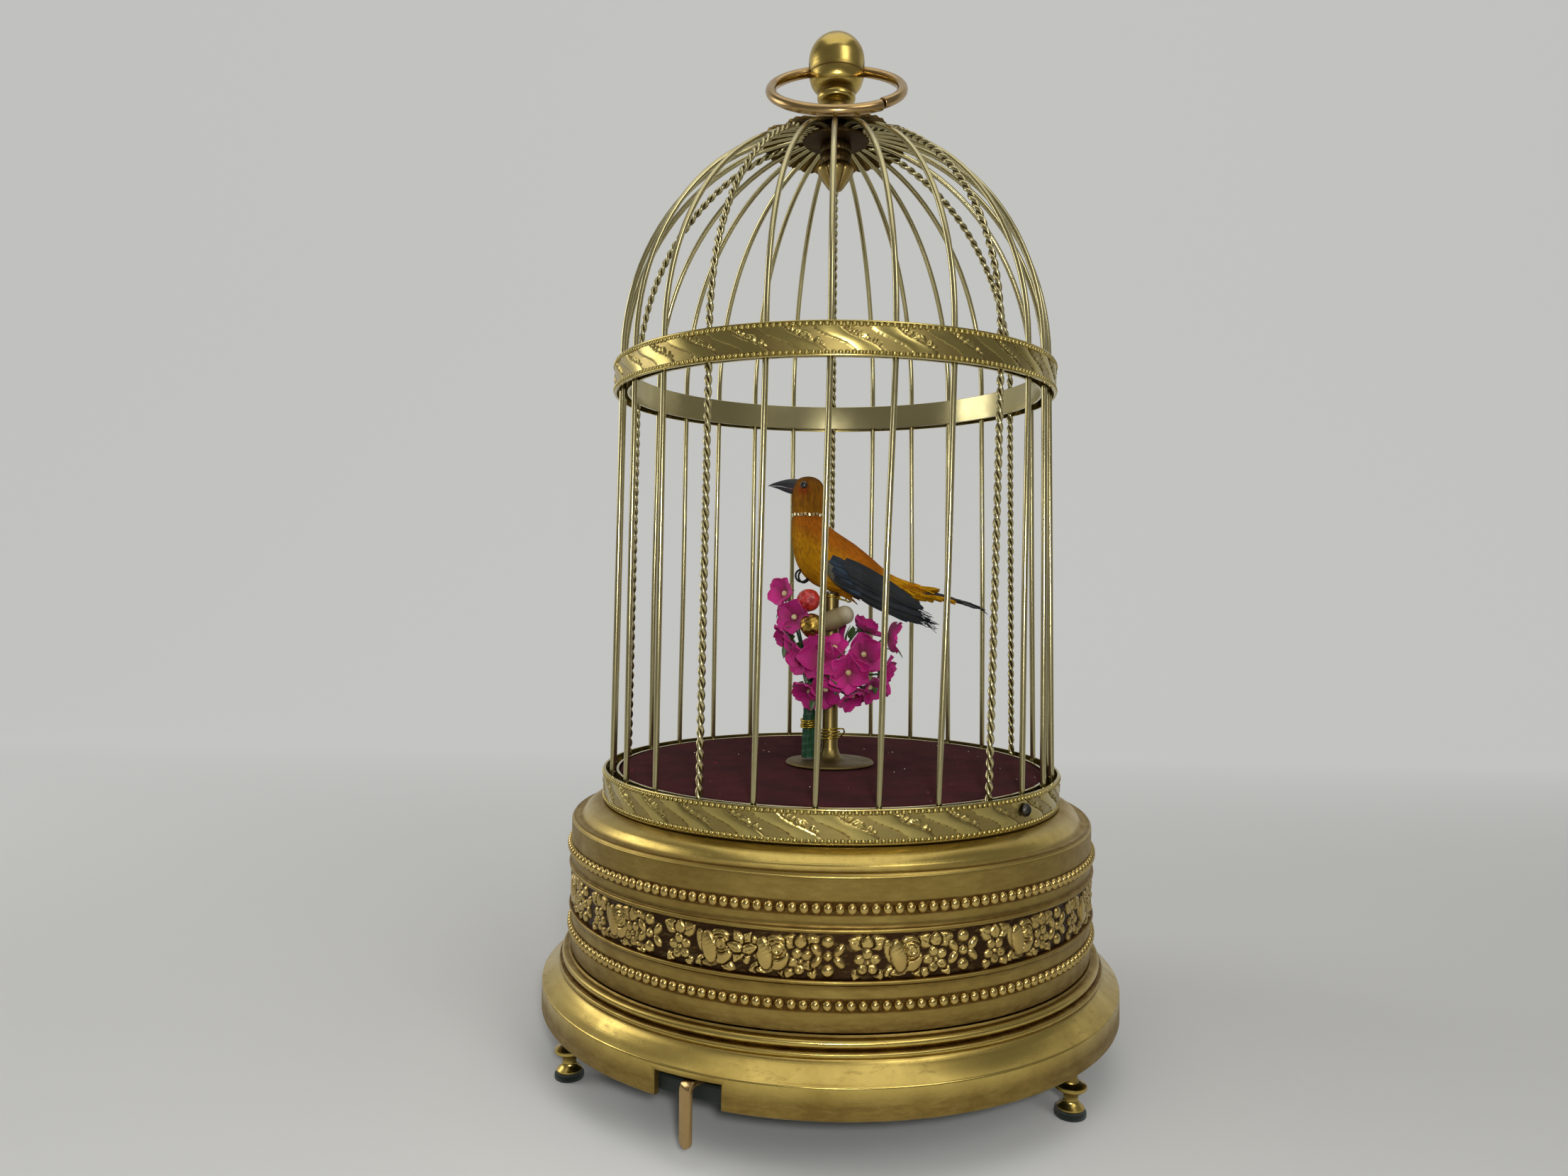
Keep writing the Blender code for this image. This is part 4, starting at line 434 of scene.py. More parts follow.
def add_node(tree, kind, links=(), **settings):
    """Add a shader node, set its values and link its inputs."""
    made = tree.nodes.new("ShaderNode" + kind)
    inputs = settings.pop("inputs", {})
    for key, value in settings.items():
        setattr(made, key, value)
    for key, value in inputs.items():
        made.inputs[key].default_value = value
    for key, source in links:
        tree.links.new(source, made.inputs[key])
    return made


def new_material(name, color, **sockets):
    """A Principled material with a colour and constant sockets: its shader and its Object coordinates."""
    material = bpy.data.materials.new(name)
    material.use_nodes = True
    material.diffuse_color = (*rgb(color), 1.0)
    shader = material.node_tree.nodes["Principled BSDF"]
    shader.inputs["Base Color"].default_value = material.diffuse_color
    for key, value in sockets.items():
        shader.inputs[key.replace("_", " ")].default_value = value
    return shader, add_node(material.node_tree, "TexCoord").outputs["Object"]


def feed(shader, **sources):
    """Link sources to a shader's inputs, an underscore standing for a space."""
    for key, source in sources.items():
        shader.id_data.links.new(source, shader.inputs[key.replace("_", " ")])


def noise(at, scale, detail, roughness=0.5):
    """Noise over a place, its features one scale-th of a metre wide."""
    return add_node(at.id_data, "TexNoise", [("Vector", at)], inputs={
        "Scale": scale, "Detail": detail, "Roughness": roughness}).outputs[0]


def stretched(at, *scale):
    """A place drawn out by a factor along each axis."""
    return add_node(at.id_data, "Mapping", [("Vector", at)], inputs={"Scale": scale}).outputs[0]


def stored(at, name, output):
    """What dye() or tint() stored at each point."""
    return add_node(at.id_data, "Attribute", attribute_name=name).outputs[output]


def ramp(source, low, high, first=0.0, last=1.0):
    """Map one range of values to another, clamped."""
    return add_node(source.id_data, "MapRange", [("Value", source)], inputs={
        "From Min": low, "From Max": high, "To Min": first, "To Max": last}).outputs["Result"]


def blend_color(factor, first, second):
    """Two colours blended: each is a socket, a hex code or a colour property."""
    made = add_node(factor.id_data, "Mix", [(0, factor)], data_type="RGBA")
    for socket, value in ((made.inputs[6], first), (made.inputs[7], second)):
        if isinstance(value, bpy.types.NodeSocket):
            factor.id_data.links.new(value, socket)
        else:
            socket.default_value = (*rgb(value), 1.0)
    return made.outputs[2]


def calc(operation, *values):
    """One sum on sockets or numbers, the first being a socket."""
    made = add_node(values[0].id_data, "Math", operation=operation)
    for socket, value in zip(made.inputs, values):
        if isinstance(value, (int, float)):
            socket.default_value = value
        else:
            value.id_data.links.new(value, socket)
    return made.outputs[0]


def scaled(color, factor):
    """A colour made lighter or darker by a number."""
    links = [(0, color), ("Scale", factor)]
    return add_node(color.id_data, "VectorMath", links, operation="SCALE").outputs[0]


def bump(shader, height, distance, strength=1.0):
    """Let a height in shares of a distance in metres stand out from the surface."""
    made = add_node(height.id_data, "Bump", [("Height", height)], inputs={
        "Strength": strength, "Distance": distance})
    feed(shader, Normal=made.outputs["Normal"])


def brass(name, clean_color, patina_and_shade_color, roughness, wear, rings=0.0, tone="#8C6A35", lathe=0.0):
    """Turned sheet brass: fine rings left by the lathe, brown patina in the low places, worn spots, and
    painted shade and a painted dark reflection where a piece's stored layer holds them.
    """
    shader, at = new_material(name, clean_color, Metallic=1.0, Anisotropic=lathe)
    tree = at.id_data
    if lathe:
        # Rings cut by the lathe draw every highlight out across them
        feed(shader, Tangent=add_node(tree, "Tangent", direction_type="RADIAL", axis="Z").outputs[0])
    x, y, z = add_node(tree, "SeparateXYZ", [("Vector", at)]).outputs
    radius = calc("SQRT", calc("ADD", calc("MULTIPLY", x, x), calc("MULTIPLY", y, y)))
    # Lathe rings about 0.4 mm apart, coarser than the real marks so that they show
    ring = noise(add_node(tree, "CombineXYZ", [("X", radius), ("Y", z)]).outputs[0], 2600.0, 3.0, 0.7)
    # Cloudy tarnish, patches of about 12 mm
    cloud = noise(at, 85.0, 5.0, 0.62)
    # Worn spots and stains about 4 mm wide and 1 mm high, drawn out along the turning
    spot = noise(stretched(at, 1.0, 1.0, 4.0), 240.0, 4.0, 0.7)
    stain = calc("MULTIPLY", ramp(spot, 0.56, 0.74), wear)
    # The stored layer: patina in the low places, and on some pieces painted shade and a painted dark
    # reflection
    broken = calc("MULTIPLY", stored(at, "patina_and_shade", "Fac"), ramp(spot, 0.25, 0.6, 0.75, 1.15))
    dark = calc("MINIMUM", calc("MAXIMUM", broken, stain), 1.0)
    toned = blend_color(ramp(cloud, 0.35, 0.75, 0.0, 0.55), clean_color, tone)
    rough = ramp(cloud, 0.3, 0.75, roughness * 0.75, roughness * 1.35)
    feed(shader, Base_Color=blend_color(dark, toned, patina_and_shade_color),
         Roughness=calc("ADD", rough, calc("MULTIPLY", dark, 0.28)))
    bump(shader, calc("ADD", calc("MULTIPLY", ring, rings), calc("MULTIPLY", spot, wear)), 0.00004)


def steel(name, color, roughness):
    """Brushed steel with faint scratches and a cloudy finish."""
    shader, at = new_material(name, color, Metallic=1.0)
    cloud = noise(at, 160.0, 3.0)
    feed(shader, Roughness=ramp(cloud, 0.3, 0.7, roughness * 0.8, roughness * 1.3))
    # Brush marks about 0.3 mm apart, six times as long
    bump(shader, noise(stretched(at, 1.0, 6.0, 6.0), 600.0, 3.0), 0.00002)


def mottled(name, first, second, scale, roughness, grain=0.0, grain_scale=900.0, **sockets):
    """A plain rough finish whose colour clouds between two tones, with a fine grain."""
    shader, at = new_material(name, first, Roughness=roughness, **sockets)
    feed(shader, Base_Color=blend_color(ramp(noise(at, scale, 5.0, 0.6), 0.35, 0.68), first, second))
    if grain:
        bump(shader, noise(at, grain_scale, 4.0, 0.7), grain)


def feathered(name, across, along, contrast, roughness, **sockets):
    """Dyed feather: the stored colour, broken by fine barbs that lie along the piece and by soft clumps."""
    shader, at = new_material(name, "#808080", Roughness=roughness, **sockets)
    layout = add_node(at.id_data, "UVMap", uv_map="UVMap").outputs[0]
    # Barbs under half a millimetre apart on the body
    barbs = noise(stretched(layout, across, along, 1.0), 1.0, 5.0, 0.65)
    # Clumps of 1 to 2 mm where the feathers part
    clumps = noise(at, 650.0, 3.0, 0.6)
    level = calc("MULTIPLY", ramp(barbs, 0.3, 0.7, 1.0 - contrast, 1.0 + contrast),
                 ramp(clumps, 0.3, 0.7, 0.8, 1.15))
    feed(shader, Base_Color=scaled(stored(at, "dye_and_painted_light", "Color"), level))
    bump(shader, calc("ADD", barbs, clumps), 0.00016, 0.7)


def dyed(name, roughness, grain, grain_scale, spread, **sockets):
    """Paper, tape or wax: the stored colour with a soft cloudiness and a fine grain."""
    shader, at = new_material(name, "#808080", Roughness=roughness, **sockets)
    level = ramp(noise(at, 300.0, 4.0, 0.6), 0.3, 0.7, 1.0 - spread, 1.0 + spread)
    feed(shader, Base_Color=scaled(stored(at, "dye_and_painted_light", "Color"), level))
    bump(shader, noise(at, grain_scale, 4.0, 0.7), grain)


def pile_velvet(name, color, deep):
    """Cotton velvet: near black where the pile is looked into, lighter where it leans."""
    shader, at = new_material(
        name, color, Roughness=0.95, Sheen_Weight=0.08, Sheen_Roughness=0.5, Sheen_Tint=(0.7, 0.3, 0.32, 1.0),
        Specular_IOR_Level=0.1)
    # Brushed patches of about 10 mm, tufts of about 0.5 mm
    brushed = noise(at, 95.0, 4.0, 0.6)
    tufts = noise(at, 1900.0, 3.0, 0.7)
    level = calc("ADD", calc("MULTIPLY", brushed, 0.6), calc("MULTIPLY", tufts, 0.4))
    feed(shader, Base_Color=blend_color(ramp(level, 0.38, 0.62), deep, color))
    bump(shader, tufts, 0.0003)


def foil(name, color, low_color, roughness, crinkle, scale, **sockets):
    """Thin metal foil or lacquer over a bumpy form: darker in the creases that the stored patina-and-shade
    layer marks.
    """
    shader, at = new_material(name, color, Roughness=roughness, **sockets)
    fine = noise(at, scale, 3.0, 0.6)
    dark = calc("MULTIPLY", stored(at, "patina_and_shade", "Fac"), ramp(fine, 0.3, 0.7, 0.6, 1.0))
    feed(shader, Base_Color=blend_color(dark, color, low_color))
    bump(shader, fine, crinkle)


def make_materials(colors):
    """Every finish of the cage, named for what it really is."""
    polished = colors.polished_brass
    aged = colors.aged_brass
    brass("turned_polished_brass", polished, "#5A3F1C", 0.22, 0.35, 0.3, "#8E7334", 0.75)
    brass("stamped_patinated_brass", colors.relief_brass, colors.patina_and_shade, 0.22, 0.15)
    brass("stamped_aged_brass", colors.band_brass, "#6A5236", 0.25, 0.1, tone="#A8924E")
    brass("drawn_aged_brass", aged, "#4E4028", 0.22, 0.06, tone="#A1976C")
    brass("blackened_stamped_brass", "#A08442", "#4A3820", 0.36, 0.4, tone="#7C6230")
    brass("rolled_movement_brass", "#C3A55C", "#7A6233", 0.30, 0.2)
    steel("brushed_movement_steel", "#8E8E90", 0.34)
    steel("blued_screw_steel", "#4A4744", 0.38)
    # Matt black-green paint on hardboard: fibres show as a fine grain
    mottled("black_green_painted_board", "#1E2620", "#121813", 60.0, 0.62, 0.00005, 700.0)
    # Dense wool felt: no gloss, short matted fibres
    mottled("black_green_felt", "#1B2A22", "#0F1813", 500.0, 0.95, 0.0002, 2500.0, Sheen_Weight=0.3)
    # Soft pigskin: a pale matt split with fine wrinkles
    mottled("thin_pale_bellows_leather", "#C9B394", "#B59C7C", 120.0, 0.80, 0.00012, 900.0)
    mottled("oiled_pearwood", "#8C5F3C", "#6E4526", 30.0, 0.55, 0.00004, 500.0)
    # Half-hard drawn wire, handled for a century: satin, yellow where it is rubbed
    brass("drawn_bail_wire", "#B89A68", "#6A5034", 0.24, 0.15, tone="#967A4C")
    # Thin drawn tube, lacquered gold, a few rubbed brown spots
    brass("perch_tube_brass", "#8C7A4A", "#54432A", 0.40, 0.3, 0.2, "#6E5D34")
    brass("bright_gilt_wire", "#D0B244", "#7A6420", 0.24, 0.2, tone="#B0922F")
    steel("black_annealed_wire", "#2A2826", 0.42)
    foil("gilt_foil_chip", "#E4D6A8", "#A58A4A", 0.22, 0.00005, 2500.0, Metallic=1.0)
    foil("silver_glitter_film", "#EDEBE6", "#B8B4AC", 0.25, 0.0, 900.0, Metallic=1.0)
    foil("red_glitter_film", "#C4242C", "#7A141A", 0.30, 0.0, 900.0, Metallic=0.6)
    pile_velvet("burgundy_velvet_pile", colors.velvet, colors.velvet_deep)
    feathered("dyed_body_feathers", 110.0, 9.0, 0.38, 0.8, Specular_IOR_Level=0.15)
    feathered("dyed_wing_feathers", 60.0, 5.0, 0.45, 0.45, Specular_IOR_Level=0.35)
    # Beech beak under black paint that has dulled
    mottled("black_painted_beak", "#1E1E23", "#2B2A30", 200.0, 0.42, 0.00002, 900.0)
    mottled("dark_glass_eye", "#120C09", "#1C130D", 900.0, 0.06, Coat_Weight=0.6)
    mottled("pink_mouth_paint", "#D98A86", "#C4706C", 300.0, 0.5, 0.00003, 900.0)
    # Crimped tissue paper: matt, a little light comes through, fine crushed grain
    dyed("crimped_magenta_paper", 0.62, 0.00010, 1300.0, spread=0.16, Subsurface_Weight=0.15,
         Subsurface_Scale=0.0008, Sheen_Weight=0.15)
    mottled("cream_stamen_paste", "#E8E0B4", "#C4B064", 900.0, 0.7, 0.00010, 1800.0)
    mottled("waxed_green_paper", "#56753A", "#3A5328", 320.0, 0.42, 0.00004, 900.0)
    mottled("dark_green_taped_wire", "#2F4C2E", "#1D3422", 500.0, 0.55, 0.00005, 1500.0)
    foil("lacquered_red_berry", "#DE3B34", "#9C1A1C", 0.34, 0.00004, 900.0, Coat_Weight=0.7,
         Coat_Roughness=0.12)
    foil("crinkled_gold_foil", "#BD9A48", "#5E4720", 0.30, 0.00010, 1200.0, Metallic=1.0)
    # Wax dusted with fine clear frost
    dyed("frosted_wax_bud", 0.5, 0.00012, 3000.0, spread=0.18, Subsurface_Weight=0.1, Subsurface_Scale=0.001)
    # Crepe paper tape: satin wax on fine cross ribs
    dyed("green_florist_tape", 0.5, 0.00008, 1600.0, spread=0.2)


def studio_surface(name, seen, unseen):
    """A matt pale paper: where it is seen or mirrored it is pale and, behind the cage, evenly so."""
    shader, at = new_material(name, seen, Roughness=0.9, Specular_IOR_Level=0.0)
    path = add_node(at.id_data, "LightPath").outputs
    mirrored = calc("ADD", path["Is Glossy Ray"], path["Is Transmission Ray"])
    looks = calc("MINIMUM", calc("ADD", path["Is Camera Ray"], mirrored), 1.0)
    deep = add_node(at.id_data, "SeparateXYZ", [("Vector", at)]).outputs["Y"]
    # The paper's own light takes over between 0.02 and 0.5 m behind the cage
    even = calc("MULTIPLY", looks, ramp(deep, 0.02, 0.5, 0.0, 0.9))
    feed(shader, Base_Color=blend_color(even, blend_color(looks, unseen, seen), "#000000"),
         Emission_Color=blend_color(even, "#000000", seen))
    shader.inputs["Emission Strength"].default_value = 0.74


def build_stage(sizes):
    """A floor that sweeps up behind, four soft lamps, a dim pale world and the camera."""
    profile = np.array([(-2500.0, 0.0)] + arc(600.0, 500.0, 500.0, -90, 0, 9) + [(1100.0, 3000.0)])

    def sweep(u, v):
        return 6000.0 * (u - 0.5), *columns_at(profile, v)

    paper = shade(shaped("studio_sweep", 1, len(profile) - 1, sweep), 60)
    studio_surface("pale_studio_paper", "#E4E4E1", "#8A8986")
    coat(paper, "pale_studio_paper")

    world = bpy.data.worlds.new("pale_studio_air")
    bpy.context.scene.world = world
    world.use_nodes = True
    background = world.node_tree.nodes["Background"]
    background.inputs["Color"].default_value = (*linear("#DAD9D6"), 1.0)
    background.inputs["Strength"].default_value = sizes.world_light

    for name, spot, size, power in (
        ("ceiling_softbox", (0.0, -0.2, 1.3), 1.3, 5.0),
        ("key_softbox", (0.5, -0.7, 0.7), 0.4, 1.6),
        ("window_softbox", (-0.78, 0.1, 0.42), 0.4, 1.5),
        ("lens_softbox", (0.022, -0.36, 0.165), 0.025, 0.42),
    ):
        bpy.ops.object.light_add(type="AREA", location=spot)
        lamp = bpy.context.object
        lamp.name = name
        lamp.data.size = size
        lamp.data.energy = power * sizes.lamp_light
        lamp.rotation_euler = (Vector((0, 0, 0.13)) - Vector(spot)).to_track_quat("-Z", "Y").to_euler()

    eye = (0.0, -0.3088, 0.1287)
    to_the_left, down, roll = 2.52, 0.2, 0.57
    bpy.ops.object.camera_add(location=eye)
    camera = bpy.context.object
    camera.name = "photograph_view"
    camera.data.sensor_width = 36.0
    camera.data.lens = sizes.camera_lens
    camera.data.clip_start = 0.01
    camera.rotation_euler = (turns(Z=to_the_left, X=90 - down) @ turns(Z=roll)).to_euler()
    bpy.context.scene.camera = camera
    bpy.context.scene.view_settings.view_transform = "Standard"


def build_plinth():
    """The flared foot with its worn rim, bead and torus, and the notch cut for the lever."""
    profile = [(78.6, 14.1), (79.6, 14.15), (80.0, 14.5), (80.0, 17.5), (79.95, 21.0)]
    profile += arc(79.3, 21.2, 0.65, 0, 70, 4)
    profile += [(78.6, 22.3), (77.6, 23.1), (76.5, 24.0), (75.4, 25.0), (75.15, 25.5)]
    profile += arc(74.75, 26.3, 0.75, -45, 75, 7)
    profile += [(74.1, 27.15)]
    profile += arc(73.55, 28.25, 1.1, -55, 80, 9)
    profile += [(73.0, 29.45), (72.7, 29.9), (71.6, 29.9), (71.6, 25.6), (76.3, 20.7), (76.3, 18.5),
                (78.1, 18.5), (78.1, 14.1)]
    piece = turned("base_plinth_turned", profile, 180)
    cutter = slab("notch_guide", (17.0, 11.2, 7.0), (0, -79.0, 16.6))
    cutter.data.transform(turns(Z=NOTCH))
    cut(piece, cutter)
    radius, _, z = rounds(piece)
    groove = soft(z, 27.1, 0.35) * (radius > 72) * 0.9
    groove += soft(z, 25.45, 0.3) * (radius > 74) * 0.7
    groove += soft(z, 29.6, 0.5) * (radius > 72) * 0.8
    groove += (radius < 76.4) * (z < 20.9) * 0.9 + 0.6 * (z < 20.9)
    tint(piece, groove)
    return finished(shade(piece, 35), "turned_polished_brass", nodes=["base_plinth"])


def bead_row(name, radius, z, across, high, out, count, segments, rings):
    """A row of beads round the axis: half of a sphere, spun into copies."""
    deselect()
    bpy.ops.mesh.primitive_uv_sphere_add(
        segments=segments, ring_count=rings, radius=1.0, rotation=(math.pi / 2, 0, 0))
    bead = place(added(name))
    edit(bead, lambda: bpy.ops.mesh.bisect(
        plane_co=(0, 0.12, 0), plane_no=(0, 1, 0), clear_outer=True, use_fill=True))
    co = corners(bead) * MM
    move_corners(bead, co * (across / 2, out, high / 2) + (0.0, -radius, z))
    tint(bead, np.clip(0.75 + co[:, 1] * 1.6, 0.0, 1.0) ** 1.5)

    def spin():
        bpy.ops.mesh.spin(steps=count, dupli=True, angle=math.tau, center=(0, 0, 0), axis=(0, 0, 1))
        bpy.ops.mesh.select_all(action="SELECT")
        bpy.ops.mesh.remove_doubles(threshold=1e-7)

    return shade(edit(bead, spin), 80)


def leaned(x, y, turn):
    """A place seen along and across a direction given in radians."""
    return x * np.cos(turn) + y * np.sin(turn), -x * np.sin(turn) + y * np.cos(turn)


# Each shape below gives the height of one stamped figure, in millimetres, over local x and y


def dome(x, y, wide, high, lift):
    """Half an ellipsoid."""
    inside = 1.0 - (x / wide) ** 2 - (y / high) ** 2
    return lift * np.sqrt(np.clip(inside, 0.0, 1.0))


def layered(x, y, petals):
    """Petals laid one over the other: (middle x, y, half width, half height, lean in degrees, lift)."""
    height = np.zeros_like(x)
    for cx, cy, wide, high, lean, lift in petals:
        across, along = leaned(x - cx, y - cy, math.radians(lean))
        inside = 1.0 - (across / wide) ** 2 - (along / high) ** 2
        height = np.where(inside > -0.3, np.minimum(height, 0.12), height)
        height = np.where(inside > 0, lift * (0.35 + 0.65 * np.sqrt(np.clip(inside, 0, 1))), height)
    return height


def rose(x, y, size):
    """A rose in side view: long petals wrapped from the left, a coiled heart at the right."""
    x, y = x / size, y / size
    heart = layered(x, y, [
        (-0.78, 0.2, 0.26, 0.62, 14, 0.45), (-0.25, -0.88, 0.5, 0.2, 10, 0.5),
        (0.35, 0.62, 0.5, 0.34, -12, 0.75), (0.46, -0.3, 0.5, 0.62, -30, 0.7),
        (0.36, 0.2, 0.5, 0.46, 0, 0.85), (-0.3, -0.06, 0.42, 0.86, 10, 1.0), (0.4, 0.2, 0.3, 0.3, 0, 1.0)])
    return heart - 0.45 * dome(x - 0.42, y - 0.2, 0.15, 0.17, 1.0)


def blossom(x, y, size, petals=5, start=90.0):
    """An open flower: round petals, each with a dent, about a raised eye."""
    height = dome(x, y, size * 0.2, size * 0.2, 0.62)
    for k in range(petals):
        turn = math.radians(start + 360.0 * k / petals)
        along, across = leaned(x, y, turn)
        along = along - size * 0.62
        petal = dome(along, across, size * 0.38, size * 0.35, 0.62)
        dent = 0.28 * soft(along, -0.12 * size, 0.16 * size) * soft(across, 0.0, 0.13 * size)
        height = np.maximum(height, petal - dent * (petal > 0))
    return height


def berry_cross(x, y, size):
    """A flower of three berries one above the other between two pairs of curled petals."""
    height = dome(x, y, size * 0.21, size * 0.23, 0.85)
    for side in (-1, 1):
        height = np.maximum(height, dome(x, y - side * size * 0.66, size * 0.29, size * 0.29, 0.85))
        for rise in (-1, 1):
            turn = math.radians(55.0 * side * rise)
            along, across = leaned(x - side * size * 0.52, y - rise * size * 0.27, turn)
            height = np.maximum(height, dome(along, across, size * 0.34, size * 0.2, 0.75))
    return height


def leaf_shape(x, y, long, wide, veins=4.0, lift=0.7):
    """A pointed leaf from the origin along x, with a midrib and side veins."""
    share = np.clip(x / long, 0.0, 1.0)
    half = wide * np.sin(math.pi * share ** 0.8) ** 0.8 + 1e-6
    inside = np.clip(1.0 - (np.abs(y) / half) ** 2, 0.0, 1.0) * (x > 0) * (x < long)
    body = lift * np.sqrt(inside)
    rib = 0.3 * soft(y, 0.0, 0.1 * wide)
    vein = 0.14 * (np.cos((x * 1.0 - np.abs(y) * 1.1) / long * math.tau * veins) > 0.75)
    return body * (1.0 - rib - vein)


class Relief:
    """A strip of stamped metal: heights over the way round and up, in millimetres."""

    def __init__(self, radius, low, high, columns, rows):
        self.radius = radius
        self.columns = columns
        self.round = math.tau * radius
        self.u = np.linspace(0.0, self.round, columns, endpoint=False)
        self.v = np.linspace(low, high, rows + 1)
        self.height = np.zeros((rows + 1, columns))

    def stamp(self, shape, azimuth, z, turn=0.0, reach=8.0, **settings):
        """Press one figure in at an azimuth and a height, turned by degrees."""
        centre = math.radians(azimuth) * self.radius
        du = (self.u - centre + self.round / 2) % self.round - self.round / 2
        near = np.nonzero(np.abs(du) < reach)[0]
        x, y = np.meshgrid(du[near], self.v - z)
        figure = shape(*leaned(x, y, math.radians(turn)), **settings)
        ground = self.height[:, near]
        inside = figure > 0.03
        rim = inside.copy()
        for axis in (0, 1):
            rim = rim | np.roll(rim, 1, axis) | np.roll(rim, -1, axis)
        self.height[:, near] = np.where(inside, np.maximum(figure, 0.15), np.where(rim, 0.0, ground))

    def build(self, name, dark_below, dark_above):
        """Roll a grid primitive into a ring and raise its points."""
        rows = len(self.v)
        deselect()
        bpy.ops.mesh.primitive_grid_add(
            x_subdivisions=self.columns, y_subdivisions=rows - 1, size=1.0)
        piece = added(name)
        steps = np.arange(self.columns + 1) % self.columns
        turn = steps / self.columns * math.tau
        radius = self.radius + self.height[:, steps]
        co = np.empty((rows, self.columns + 1, 3))
        co[:, :, 0] = radius * np.sin(turn)
        co[:, :, 1] = -radius * np.cos(turn)
        co[:, :, 2] = self.v[:, None]
        move_corners(piece, co.reshape(-1, 3))
        low = (self.height[:, steps] - dark_below) / (dark_above - dark_below)
        slope = np.abs(np.gradient(self.height, axis=1))[:, steps] + np.abs(
            np.gradient(self.height, axis=0))[:, steps]
        tint(piece, (1.0 - np.clip(low, 0.0, 1.0)).ravel() ** 0.8 + 0.6 * np.clip(slope - 0.2, 0, 1).ravel())
        clean(piece, 1e-6)
        return shade(piece, 85)


def build_frieze():
    """The drum's stamped frieze: roses, berry crosses and small blossoms among leaves."""
    strip = Relief(WALL_RADIUS - 0.5, FRIEZE_MIDDLE - 5.25, FRIEZE_MIDDLE + 5.25, 1850, 48)
    z = FRIEZE_MIDDLE
    period = 25.1
    crosses = [period * k for k in range(13)] + [324.6]
    roses = [period * k + 13.6 for k in range(13)] + [339.2, 349.7]
    blossoms = [period * k + offset for k in range(13) for offset in (7.0, 19.6)] + [331.9, 355.2, 320.0]
    for azimuth in roses:
        strip.stamp(leaf_shape, azimuth - 1.4, z - 2.8, turn=205, long=3.4, wide=1.3)
        strip.stamp(leaf_shape, azimuth + 1.4, z - 3.2, turn=-20, long=3.6, wide=1.4)
    for azimuth in blossoms:
        for way in (-1, 1):
            strip.stamp(leaf_shape, azimuth + way * 0.6, z + 2.2, turn=90 - way * 62, long=3.9, wide=1.8)
            strip.stamp(leaf_shape, azimuth + way * 1.6, z - 3.0, turn=-90 + way * 30, long=2.4, wide=1.2)
        strip.stamp(leaf_shape, azimuth, z + 1.6, turn=90, long=3.3, wide=1.5, veins=3.0)
    for k, azimuth in enumerate(blossoms):
        strip.stamp(blossom, azimuth, z - 1.3, start=90.0 + 17.0 * k, size=3.1)
    for azimuth in crosses:
        strip.stamp(berry_cross, azimuth, z, size=4.9)
    for azimuth in roses:
        strip.stamp(rose, azimuth, z + 0.2, size=4.3)
    for lean, rise in ((60, 1.0), (120, 1.0), (-70, 0.6), (-120, 0.6), (20, 0.0), (160, 0.0)):
        strip.stamp(leaf_shape, 344.6, z + rise, turn=lean, long=3.9, wide=1.3)
    # The stamping's grain, on figures and ground alike
    wave = np.sin(strip.u[None, :] * 5.1) * np.sin(strip.v[:, None] * 6.3 + strip.u[None, :] * 1.7)
    strip.height += 0.03 * wave
    piece = strip.build("drum_frieze", 0.0, 0.3)
    return finished(piece, "stamped_patinated_brass")


